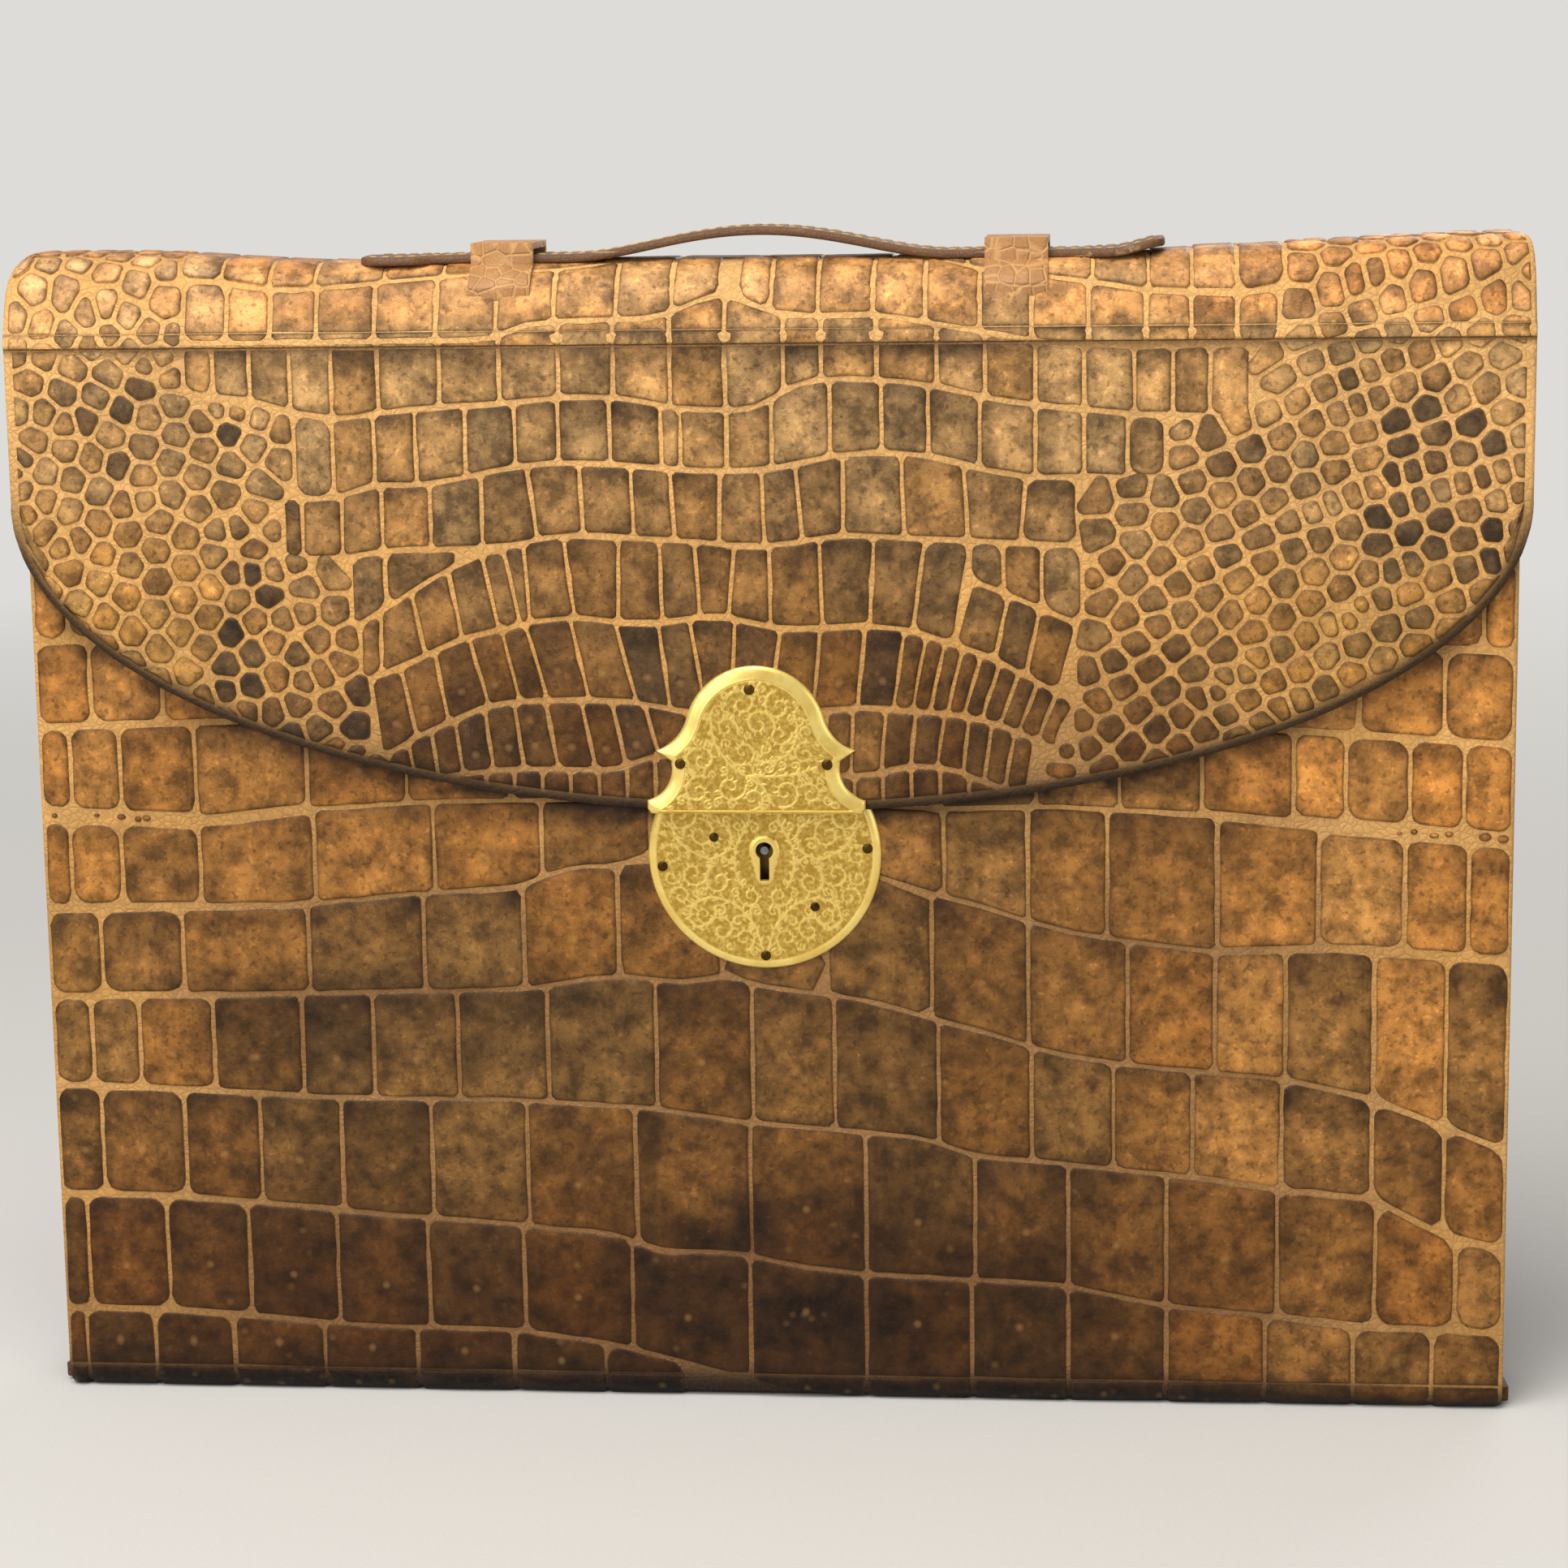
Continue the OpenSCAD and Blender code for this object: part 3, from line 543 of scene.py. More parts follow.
class Nodes:
    """Builds one node tree with short calls."""

    def __init__(self, tree: bpy.types.NodeTree) -> None:
        """Takes the tree to build in."""
        self.tree = tree

    def add(self, kind: str, inputs: dict | None = None, **settings: object) -> bpy.types.Node:
        """Adds a node.

        Args:
            kind: Its type's name.
            inputs: Values, or sockets to link, by input name or number.
            **settings: Its properties.

        Returns:
            The node.
        """
        node = self.tree.nodes.new(kind)
        for key, value in settings.items():
            setattr(node, key, value)
        for key, value in (inputs or {}).items():
            socket = node.inputs[key]
            if isinstance(value, bpy.types.NodeSocket):
                self.tree.links.new(value, socket)
            else:
                socket.default_value = value
        return node

    def noise(
        self, vector: bpy.types.NodeSocket, scale: float, detail: float = 3, rough: float = 0.5
    ) -> bpy.types.NodeSocket:
        """A noise value."""
        node = self.add("ShaderNodeTexNoise", {"Vector": vector, "Scale": scale, "Detail": detail, "Roughness": rough})
        return node.outputs["Fac"]

    def place(self) -> bpy.types.NodeSocket:
        """The Object coordinates."""
        return self.add("ShaderNodeTexCoord").outputs["Object"]

    def value(self, name: str, output: str = "Fac") -> bpy.types.NodeSocket:
        """A value that the mesh holds for each vertex."""
        return self.add("ShaderNodeAttribute", attribute_name=name).outputs[output]

    def grey(self, tone: object) -> bpy.types.NodeSocket:
        """A grey as light as a value."""
        return self.add("ShaderNodeCombineColor", {0: tone, 1: tone, 2: tone}).outputs[0]

    def join(self, value: bpy.types.NodeSocket, socket: bpy.types.NodeSocket) -> None:
        """Links one socket to another."""
        self.tree.links.new(value, socket)

    def times(self, a: object, b: object) -> bpy.types.NodeSocket:
        """The product of two values."""
        return self.math("MULTIPLY", a, b)

    def plus(self, a: object, b: object, clamp: bool = False) -> bpy.types.NodeSocket:
        """The sum of two values."""
        return self.math("ADD", a, b, clamp)

    def math(self, operation: str, a: object, b: object = 0.0, clamp: bool = False) -> bpy.types.NodeSocket:
        """An operation on one or two values."""
        return self.add("ShaderNodeMath", {0: a, 1: b}, operation=operation, use_clamp=clamp).outputs[0]

    def spread(
        self, value: bpy.types.NodeSocket, low: float, high: float, to_low: float = 0.0, to_high: float = 1.0
    ) -> bpy.types.NodeSocket:
        """A value's range spread over another.

        Args:
            value: The value.
            low: The start of its range.
            high: The end of its range.
            to_low: The start of the new range.
            to_high: The end of the new range.

        Returns:
            The new value.
        """
        node = self.add(
            "ShaderNodeMapRange",
            {"Value": value, "From Min": low, "From Max": high, "To Min": to_low, "To Max": to_high},
        )
        return node.outputs["Result"]

    def tinted(self, share: object, a: object, b: object, blend: str = "MIX") -> bpy.types.NodeSocket:
        """Two colours mixed.

        Args:
            share: How much of the second.
            a: The first colour.
            b: The second colour.
            blend: How they are mixed.

        Returns:
            The mixed colour.
        """
        node = self.add("ShaderNodeMix", data_type="RGBA", blend_type=blend)
        for key, value in ((0, share), (6, a), (7, b)):
            if isinstance(value, bpy.types.NodeSocket):
                self.tree.links.new(value, node.inputs[key])
            elif key == 0:
                node.inputs[key].default_value = value
            else:
                node.inputs[key].default_value = (*value[:3], 1)
        return node.outputs[2]


def effect(
    name: str,
    ins: dict[str, tuple[str, object]],
    outs: dict[str, str],
    build: Callable[[Nodes, bpy.types.Node, bpy.types.Node], None],
) -> bpy.types.NodeTree:
    """A shader node group.

    Args:
        name: The effect's name.
        ins: Socket type and default value by input name.
        outs: Socket type by output name.
        build: Fills the group, given its nodes, input node and output node.

    Returns:
        The group.
    """
    tree = bpy.data.node_groups.new(name, "ShaderNodeTree")
    for key, (kind, value) in ins.items():
        socket = tree.interface.new_socket(key, in_out="INPUT", socket_type=kind)
        socket.default_value = value
    for key, kind in outs.items():
        tree.interface.new_socket(key, in_out="OUTPUT", socket_type=kind)
    nodes = Nodes(tree)
    build(nodes, nodes.add("NodeGroupInput"), nodes.add("NodeGroupOutput"))
    return tree


def grain_effect() -> bpy.types.NodeTree:
    """Leather grain: a height of pores and fine creases, and a mottling mask, both on Object coordinates.

    Returns:
        The group.
    """

    def build(n: Nodes, given: bpy.types.Node, out: bpy.types.Node) -> None:
        """Fills the group.

        Args:
            n: The group's nodes.
            given: Its input node.
            out: Its output node.
        """
        place = n.place()
        size = given.outputs["Size"]
        cells = n.add(
            "ShaderNodeTexVoronoi", {"Vector": place, "Scale": size, "Randomness": 1.0}, feature="DISTANCE_TO_EDGE"
        )
        crease = n.spread(cells.outputs["Distance"], 0.0, 0.16)
        fine = n.add("ShaderNodeTexNoise", {"Vector": place, "Scale": n.times(size, 2.3), "Detail": 2.0}).outputs["Fac"]
        height = n.plus(n.times(crease, 0.6), n.times(fine, 0.4))
        broad = n.noise(place, 34.0, 4, 0.6)
        spots = n.noise(place, 210.0, 3, 0.65)
        mottle = n.plus(n.times(broad, 0.6), n.times(spots, 0.4))
        n.join(height, out.inputs["Height"])
        n.join(n.spread(mottle, 0.32, 0.68), out.inputs["Mottle"])

    return effect(
        "leather_grain",
        {"Size": ("NodeSocketFloat", 900.0)},
        {"Height": "NodeSocketFloat", "Mottle": "NodeSocketFloat"},
        build,
    )


def wear_effect() -> bpy.types.NodeTree:
    """Scratches and rubbed spots: one mask, on Object coordinates.

    Returns:
        The group.
    """

    def build(n: Nodes, given: bpy.types.Node, out: bpy.types.Node) -> None:
        """Fills the group.

        Args:
            n: The group's nodes.
            given: Its input node.
            out: Its output node.
        """
        place = n.place()
        turned = n.add(
            "ShaderNodeMapping", {"Vector": place, "Rotation": (0.0, 0.5, 0.3), "Scale": (60.0, 60.0, 900.0)}
        ).outputs[0]
        streak = n.spread(n.noise(turned, 1.0, 2), 0.66, 0.74)
        rub = n.spread(n.noise(place, 90.0, 5, 0.7), 0.58, 0.74)
        both = n.plus(n.times(streak, 0.5), rub, clamp=True)
        n.join(n.times(both, given.outputs["Amount"]), out.inputs["Mask"])

    return effect("rubbed_wear", {"Amount": ("NodeSocketFloat", 1.0)}, {"Mask": "NodeSocketFloat"}, build)


class Effects:
    """The shared effects, built once."""

    grain: bpy.types.NodeTree
    wear: bpy.types.NodeTree

    @classmethod
    def prepare(cls) -> None:
        """Builds the groups."""
        cls.grain = grain_effect()
        cls.wear = wear_effect()


def new_material(name: str) -> tuple[bpy.types.Material, Nodes, bpy.types.Node]:
    """An empty material with its Principled shader.

    Args:
        name: The material's name.

    Returns:
        The material, its node builder and its shader.
    """
    material = bpy.data.materials.new(name)
    material.use_nodes = True
    material.node_tree.nodes.clear()
    n = Nodes(material.node_tree)
    shader = n.add("ShaderNodeBsdfPrincipled")
    n.add("ShaderNodeOutputMaterial", {"Surface": shader.outputs[0]})
    return material, n, shader


def bumped(n: Nodes, shader: bpy.types.Node, height: bpy.types.NodeSocket, depth: float, strength: float = 1.0) -> None:
    """Joins a height to the shader's normal through a bump of that depth in mm."""
    bump = n.add("ShaderNodeBump", {"Height": height, "Distance": depth * MM, "Strength": strength})
    n.join(bump.outputs[0], shader.inputs["Normal"])


@dataclass(frozen=True)
class GlazedScale:
    """The polished horn of the crocodile's scales, tinted by the tint value of each vertex.

    Attributes:
        name: The material's name.
        rim: Colour of the painted shade at a scale's rim, and of its dark flecks.
        pore: Colour of its pale dots.
        roughness: How matt it is.
    """

    name: str = "glazed_crocodile_scale"
    rim: Colour = srgb(52, 32, 15)
    pore: Colour = srgb(200, 152, 90)
    roughness: float = 0.33

    def make(self) -> bpy.types.Material:
        """Builds the material.

        Returns:
            The material.
        """
        material, n, shader = new_material(self.name)
        tint = n.value("tint", "Color")
        rim = n.value("rim")
        spot = n.value("spot", "Vector")
        grain = n.add("ShaderNodeGroup", {"Size": 1500.0}, node_tree=Effects.grain)
        wear = n.add("ShaderNodeGroup", {"Amount": 0.5}, node_tree=Effects.wear)
        place = n.place()
        blotch = n.spread(n.noise(place, 150.0, 4, 0.65), 0.36, 0.64, 0.5, 1.5)
        mottle = n.times(n.spread(grain.outputs["Mottle"], 0, 1, 0.66, 1.26), blotch)
        shade = n.tinted(1.0, tint, n.grey(mottle), "MULTIPLY")
        flecks = n.spread(n.noise(place, 620.0, 3, 0.6), 0.54, 0.68)
        shade = n.tinted(n.times(flecks, 0.5), shade, self.rim)
        lights = n.spread(
            n.noise(
                n.add("ShaderNodeMapping", {"Vector": place, "Location": (3.0, 1.0, 2.0)}).outputs[0], 560.0, 3, 0.6
            ),
            0.57, 0.7,
        )
        lit = n.tinted(1.0, shade, (1.9, 1.85, 1.8), "MULTIPLY")
        shade = n.tinted(n.times(lights, 0.55), shade, lit)
        dots = n.add("ShaderNodeTexVoronoi", {"Vector": place, "Scale": 190.0, "Randomness": 1.0})
        spots = n.spread(dots.outputs["Distance"], 0.24, 0.02, 0.0, 0.13)
        shade = n.tinted(n.times(spots, n.spread(dots.outputs["Color"], 0.55, 0.6)), shade, self.pore)
        parts = n.add("ShaderNodeSeparateXYZ", {0: spot})
        drop = n.plus(parts.outputs[1], 3.1)
        far = n.math("SQRT", n.plus(n.math("POWER", parts.outputs[0], 2.0), n.math("POWER", drop, 2.0)))
        pore = n.times(n.spread(far, 1.25, 0.35), n.math("GREATER_THAN", parts.outputs[2], 1.0))
        shade = n.tinted(n.times(pore, 0.2), shade, self.pore)
        # Painted shade: a dark band just inside each scale's rim, where it drops to the groove
        painted_rim_shade = n.times(n.times(n.spread(rim, 0.95, 0.45), n.spread(rim, 0.05, 0.4)), 0.6)
        shade = n.tinted(painted_rim_shade, shade, self.rim)
        shade = n.tinted(n.times(wear.outputs["Mask"], 0.4), shade, lit)
        n.join(shade, shader.inputs["Base Color"])
        gloss = n.plus(n.times(n.noise(place, 60.0, 3), 0.22), self.roughness - 0.08)
        n.join(n.plus(gloss, n.times(wear.outputs["Mask"], 0.16)), shader.inputs["Roughness"])
        shader.inputs["Specular IOR Level"].default_value = 0.18
        waves = n.plus(n.times(n.noise(place, 420.0, 3), 1.8), n.times(n.noise(place, 120.0, 2), 5.0))
        bumped(n, shader, n.plus(grain.outputs["Height"], waves), 0.07)
        return material


@dataclass(frozen=True)
class GrooveSkin:
    """The soft skin between the scales, with its fine wrinkles, tinted by vertex.

    Attributes:
        name: The material's name.
        deep: Colour of the painted shade in the wrinkles.
        roughness: How matt it is.
    """

    name: str = "groove_skin"
    deep: Colour = srgb(96, 62, 30)
    roughness: float = 0.52

    def make(self) -> bpy.types.Material:
        """Builds the material.

        Returns:
            The material.
        """
        material, n, shader = new_material(self.name)
        tint = n.value("tint", "Color")
        place = n.place()
        swirl = n.add("ShaderNodeTexNoise", {"Vector": place, "Scale": 90.0, "Detail": 3.0}).outputs["Color"]
        bent = n.add("ShaderNodeMix", {0: 0.006, 4: place, 5: swirl}, data_type="VECTOR").outputs[1]
        cells = n.add(
            "ShaderNodeTexVoronoi", {"Vector": bent, "Scale": 520.0}, feature="DISTANCE_TO_EDGE"
        ).outputs["Distance"]
        wrinkle = n.spread(cells, 0.0, 0.24)
        grain = n.add("ShaderNodeGroup", {"Size": 2100.0}, node_tree=Effects.grain)
        # Painted shade in the wrinkles of the skin
        shade = n.tinted(n.spread(wrinkle, 0.5, 0.0, 0.0, 0.24), tint, self.deep)
        mottle = n.spread(grain.outputs["Mottle"], 0, 1, 0.74, 1.22)
        shade = n.tinted(1.0, shade, n.grey(mottle), "MULTIPLY")
        n.join(shade, shader.inputs["Base Color"])
        n.join(
            n.spread(grain.outputs["Mottle"], 0, 1, self.roughness - 0.1, self.roughness + 0.12),
            shader.inputs["Roughness"],
        )
        shader.inputs["Specular IOR Level"].default_value = 0.25
        bumped(n, shader, n.plus(wrinkle, n.times(grain.outputs["Height"], 0.5)), 0.15)
        return material


@dataclass(frozen=True)
class Calf:
    """Plain leather: linings, gussets, straps and corners.

    Attributes:
        name: The material's name.
        colour: The leather's colour.
        worn: Its colour where it is rubbed.
        roughness: How matt it is.
        grain: How fine the grain is.
        wear: How much of it is rubbed.
        depth: Depth of the grain, in mm.
        scales: How fine the scales are, or nil for none.
    """

    name: str
    colour: Colour
    worn: Colour
    roughness: float = 0.5
    grain: float = 1100.0
    wear: float = 0.6
    depth: float = 0.09
    scales: float = 0.0

    def make(self) -> bpy.types.Material:
        """Builds the material.

        Returns:
            The material.
        """
        material, n, shader = new_material(self.name)
        grain = n.add("ShaderNodeGroup", {"Size": self.grain}, node_tree=Effects.grain)
        wear = n.add("ShaderNodeGroup", {"Amount": self.wear}, node_tree=Effects.wear)
        dark = tuple(c * 0.62 for c in self.colour)
        shade = n.tinted(grain.outputs["Mottle"], dark, self.colour)
        pit = n.spread(grain.outputs["Height"], 0.45, 0.15, 0.0, 0.45)
        shade = n.tinted(pit, shade, tuple(c * 0.4 for c in self.colour))
        shade = n.tinted(wear.outputs["Mask"], shade, self.worn)
        height = grain.outputs["Height"]
        if self.scales:
            place = n.place()
            edge = n.add(
                "ShaderNodeTexVoronoi",
                {"Vector": place, "Scale": self.scales, "Randomness": 0.7},
                feature="DISTANCE_TO_EDGE",
            )
            groove = n.spread(edge.outputs["Distance"], 0.11, 0.02)
            shade = n.tinted(n.times(groove, 0.4), shade, self.worn)
            height = n.plus(n.times(height, 0.3), n.times(groove, -1.6))
        n.join(shade, shader.inputs["Base Color"])
        n.join(
            n.plus(n.times(grain.outputs["Mottle"], -0.12), self.roughness + 0.06), shader.inputs["Roughness"]
        )
        shader.inputs["Specular IOR Level"].default_value = 0.4
        bumped(n, shader, height, self.depth)
        return material


@dataclass(frozen=True)
class Gilt:
    """Gilt brass: bright where polished, ochre in the engraving, darker where handled.

    Attributes:
        name: The material's name.
        bright: Colour where it is polished.
        deep: Colour of the ground.
        roughness: How matt it is.
        carved: Whether the mesh holds a relief.
        metallic: How metallic it is.
    """

    name: str
    bright: Colour
    deep: Colour
    roughness: float
    carved: bool = False
    metallic: float = 1.0

    def make(self) -> bpy.types.Material:
        """Builds the material.

        Returns:
            The material.
        """
        material, n, shader = new_material(self.name)
        place = n.place()
        haze = n.noise(place, 120.0, 4, 0.6)
        grit = n.noise(place, 2600.0, 2)
        if self.carved:
            relief = n.value("relief")
            stipple = n.plus(n.times(n.spread(n.noise(place, 1150.0, 2), 0.4, 0.66), 0.5), n.times(grit, 0.25))
            share = n.plus(n.spread(relief, 0.05, 0.9, 0, 0.85), n.math("SUBTRACT", stipple, 0.1), clamp=True)
        else:
            share = n.spread(haze, 0.25, 0.6)
        shade = n.tinted(share, self.deep, self.bright)
        tarnish = n.times(n.spread(haze, 0.55, 0.8), 0.3)
        shade = n.tinted(tarnish, shade, tuple(c * 0.6 for c in self.deep))
        n.join(shade, shader.inputs["Base Color"])
        shader.inputs["Metallic"].default_value = self.metallic
        n.join(n.plus(n.times(haze, 0.16), self.roughness - 0.06), shader.inputs["Roughness"])
        bumped(n, shader, grit, 0.03 if self.carved else 0.008)
        return material


@dataclass(frozen=True)
class Board:
    """Millboard and paper: matt, fibrous.

    Attributes:
        name: The material's name.
        colour: The board's colour.
        fleck: Colour of its fibres.
        roughness: How matt it is.
    """

    name: str
    colour: Colour
    fleck: Colour
    roughness: float = 0.85

    def make(self) -> bpy.types.Material:
        """Builds the material.

        Returns:
            The material.
        """
        material, n, shader = new_material(self.name)
        place = n.place()
        fibre = n.noise(
            n.add("ShaderNodeMapping", {"Vector": place, "Scale": (500.0, 500.0, 2400.0)}).outputs[0], 1.0, 4, 0.6
        )
        cloudy = n.noise(place, 40.0, 4)
        shade = n.tinted(n.spread(fibre, 0.35, 0.75), self.colour, self.fleck)
        shade = n.tinted(n.times(cloudy, 0.3), shade, tuple(c * 0.7 for c in self.colour))
        n.join(shade, shader.inputs["Base Color"])
        n.join(n.spread(fibre, 0, 1, self.roughness - 0.06, self.roughness + 0.06), shader.inputs["Roughness"])
        bumped(n, shader, fibre, 0.04)
        return material


@dataclass(frozen=True)
class Thread:
    """Waxed linen thread with its twist.

    Attributes:
        name: The material's name.
        colour: The thread's colour.
    """

    name: str = "waxed_thread"
    colour: Colour = srgb(206, 172, 118)

    def make(self) -> bpy.types.Material:
        """Builds the material.

        Returns:
            The material.
        """
        material, n, shader = new_material(self.name)
        place = n.place()
        twist = n.noise(place, 3000.0, 1)
        shade = n.tinted(twist, tuple(c * 0.55 for c in self.colour), self.colour)
        n.join(shade, shader.inputs["Base Color"])
        n.join(n.spread(twist, 0, 1, 0.5, 0.7), shader.inputs["Roughness"])
        bumped(n, shader, twist, 0.05)
        return material


class Finish(Enum):
    """The case's finishes."""

    SCALE = GlazedScale()
    SKIN = GrooveSkin()
    STRAP = Calf("handle_strap_calf", srgb(120, 80, 46), srgb(190, 150, 104), 0.46, 900.0, 0.8)
    STRAP_EDGE = Calf("strap_edge", srgb(112, 76, 46), srgb(206, 172, 124), 0.6, 700.0, 0.9, 0.12)
    LOOP = Calf("loop_leather", srgb(186, 132, 78), srgb(222, 174, 112), 0.5, 900.0, 0.4, 0.16, 260.0)
    LINING = Calf("lining_calf", srgb(112, 50, 34), srgb(142, 78, 54), 0.5, 1500.0, 0.4, 0.06)
    GUSSET = Calf("gusset_calf", srgb(120, 72, 40), srgb(158, 108, 66), 0.52, 1200.0, 0.7)
    CORNER = Calf("corner_leather", srgb(96, 56, 30), srgb(140, 92, 54), 0.45, 1200.0, 0.6)
    DESK = Calf("desk_leather", srgb(74, 32, 26), srgb(110, 58, 44), 0.45, 1700.0, 0.4, 0.05)
    BOARD = Board("fibrous_millboard", srgb(176, 150, 114), srgb(138, 112, 80))
    PAPER = Board("soft_blotting_paper", srgb(226, 208, 190), srgb(206, 178, 160), 0.92)
    RIM = Gilt("polished_gilt_rim", srgb(250, 222, 128), srgb(228, 186, 88), 0.26, metallic=0.6)
    CARVED = Gilt("engraved_gilt", srgb(240, 208, 114), srgb(182, 142, 52), 0.4, True, 0.8)
    PIN = Gilt("dark_brass_pin", srgb(96, 72, 34), srgb(48, 34, 16), 0.4)
    DRUM = Gilt("drum_casing_brass", srgb(150, 122, 70), srgb(90, 68, 34), 0.4)
    STAPLE = Gilt("staple_brass", srgb(214, 180, 96), srgb(150, 116, 50), 0.3)
    STEEL = Gilt("bright_lock_steel", srgb(176, 178, 180), srgb(96, 96, 96), 0.32)
    THREAD = Thread()

    def get(self) -> bpy.types.Material:
        """The finish's material, built when it is first asked for."""
        return bpy.data.materials.get(self.value.name) or self.value.make()


def dress(node: str, finish: Finish) -> None:
    """Puts a finish on a CAD node that is carried over.

    Args:
        node: The node's name.
        finish: The finish.
    """
    materials = frame["nodes"][node].data.materials
    materials.clear()
    materials.append(finish.get())


def skin_piece(
    name: str, outer: np.ndarray, inner: np.ndarray, x: np.ndarray, along: np.ndarray, rule: Tint
) -> bpy.types.Object:
    """A closed piece of skin between two grids, tinted by its places in the unrolled hide.

    Args:
        name: The piece's name.
        outer: Grid of points on its outer face.
        inner: The same grid on its inner face.
        x: Places across of the grid, in mm.
        along: Places along of the grid, in mm.
        rule: Tints by place.

    Returns:
        The piece.
    """
    points, faces = grid_shell(outer, inner)
    shell = Shell()
    shell.add(points, faces, tint=rule(np.tile(x.ravel(), 2), np.tile(along.ravel(), 2)))
    return shell.make(name, Finish.SKIN.get())


# ---- The hide's pattern


@dataclass
class Scale:
    """One scale in the unrolled hide.

    Attributes:
        outline: Its rim, turning left, in mm of (x, along).
        large: Whether it is one of the belly's large squares, which have a pore.
        dark: How near to black it is.
    """

    outline: np.ndarray
    large: bool
    dark: float = 0.0

    def middle(self) -> np.ndarray:
        """The middle of its rim."""
        return self.outline.mean(0)

    def area(self) -> float:
        """Its area in square mm."""
        x, y = self.outline[:, 0], self.outline[:, 1]
        return 0.5 * float(np.dot(x, np.roll(y, -1)) - np.dot(y, np.roll(x, -1)))


def bend(line: Line, softness: int = 3) -> Callable[[np.ndarray], np.ndarray]:
    """A smooth curve through a row line's points.

    Args:
        line: The points, left to right, in mm.
        softness: How far corners are rounded, in mm.

    Returns:
        A function from x to the line's place along the hide.
    """
    xs = np.arange(line[0][0], line[-1][0] + 1, 1.0)
    ys = np.interp(xs, [p[0] for p in line], [p[1] for p in line])
    kernel = np.ones(2 * softness + 1) / (2 * softness + 1)
    for _ in range(2):
        ys = np.convolve(np.pad(ys, softness, mode="reflect", reflect_type="odd"), kernel, mode="valid")
    return lambda x: np.interp(x, xs, ys)


@dataclass(frozen=True)
class Row:
    """A row of large scales between two lines.

    Attributes:
        upper: The line above it, in mm of (x, along).
        lower: The line below it.
        cuts: Where the grooves across it lie, at its upper line, or as pairs for the upper and the lower line.
        gap: Width of these grooves in mm.
        band: Width of the grooves along the row in mm.
        corner: Radius of the scales' corners in mm.
        flare: How much wider the grooves above and below the row grow towards the sides, in mm.
    """

    upper: Line
    lower: Line
    cuts: tuple[float | Point, ...]
    gap: float = 0.75
    band: float = 1.1
    corner: float = 1.15
    flare: Point = (0.0, 0.0)

    def scales(self, rng: np.random.Generator) -> list[Scale]:
        """Draws the row's scales.

        Args:
            rng: Source of the small irregularities.

        Returns:
            The scales, left to right.
        """
        up, low = bend(self.upper), bend(self.lower)
        pairs = [(c, c) if isinstance(c, (int, float)) else c for c in self.cuts]
        made = []
        for k, ((t0, b0), (t1, b1)) in enumerate(zip(pairs, pairs[1:])):
            middle = (t0 + b0 + t1 + b1) / 4
            spread = float(smooth(96, 150, abs(middle)))
            grow = (self.flare[0] * spread, self.flare[1] * spread)
            high = float(up(middle) - low(middle)) - self.band - sum(grow)
            wide = (t1 - t0 + b1 - b0) / 2 - self.gap
            if high < 1.4 or wide < 1.4:
                continue
            round_end = 2.0 if k in (0, len(pairs) - 2) else 1 + float(smooth(110, 165, abs(middle)))
            r = min(self.corner * round_end * rng.uniform(0.8, 1.4), 0.46 * min(wide, high))
            rim = rounded_box(wide, high, r)
            rim = rim + rng.normal(0, 0.09, rim.shape)
            u, v = rim[:, 0] / wide, rim[:, 1] / high
            left = b0 + (t0 - b0) * v + self.gap / 2
            right = b1 + (t1 - b1) * v - self.gap / 2
            x = left + (right - left) * u
            top, bottom = up(x) - self.band / 2 - grow[0], low(x) + self.band / 2 + grow[1]
            made.append(Scale(np.stack([x, bottom + (top - bottom) * v], -1), min(wide, high) > 6.5))
        return made


def rounded_box(wide: float, high: float, r: float) -> np.ndarray:
    """The rim of a box with rounded corners, turning left from its lower left side.

    Args:
        wide: Its width.
        high: Its height.
        r: Radius of its corners.

    Returns:
        The rim's points.
    """
    points: list[Point] = []
    sides = (
        ((r, 0), (wide - r, 0)), ((wide, r), (wide, high - r)), ((wide - r, high), (r, high)), ((0, high - r), (0, r))
    )
    centres = ((wide - r, r), (wide - r, high - r), (r, high - r), (r, r))
    for k, (side, centre) in enumerate(zip(sides, centres)):
        (x0, y0), (x1, y1) = side
        count = max(1, int(math.hypot(x1 - x0, y1 - y0) / 4))
        points += [(x0 + (x1 - x0) * i / count, y0 + (y1 - y0) * i / count) for i in range(count)]
        points += [
            (centre[0] + r * math.cos(a), centre[1] + r * math.sin(a))
            for a in (math.radians(-90 + 90 * k + 22.5 * i) for i in range(4))
        ]
    return np.array(points)


def clip_side(polygon: np.ndarray, normal: np.ndarray, limit: float) -> np.ndarray:
    """The part of a polygon where the point's product with normal is at most limit.

    Args:
        polygon: The polygon's points.
        normal: Direction that points out of the kept part.
        limit: Largest product that is kept.

    Returns:
        The kept part, or no points.
    """
    if not len(polygon):
        return polygon
    side = polygon @ normal - limit
    after, side_after = np.roll(polygon, -1, 0), np.roll(side, -1)
    kept: list[np.ndarray] = []
    for p, q, a, b in zip(polygon, after, side, side_after):
        if a <= 0:
            kept.append(p)
        if (a < 0 < b) or (b < 0 < a):
            kept.append(p + (q - p) * a / (a - b))
    return np.array(kept) if len(kept) > 2 else np.empty((0, 2))


def shrunk(polygon: np.ndarray, amount: float) -> np.ndarray:
    """A convex polygon with every side moved inwards.

    Args:
        polygon: The polygon's points.
        amount: How far, in mm.

    Returns:
        The smaller polygon, or no points.
    """
    result = polygon
    for p, q in zip(polygon, np.roll(polygon, -1, 0)):
        d = q - p
        length = np.hypot(*d)
        if length < 1e-6:
            continue
        normal = np.array([d[1], -d[0]]) / length
        result = clip_side(result, normal, float(normal @ p) - amount)
        if not len(result):
            break
    return result


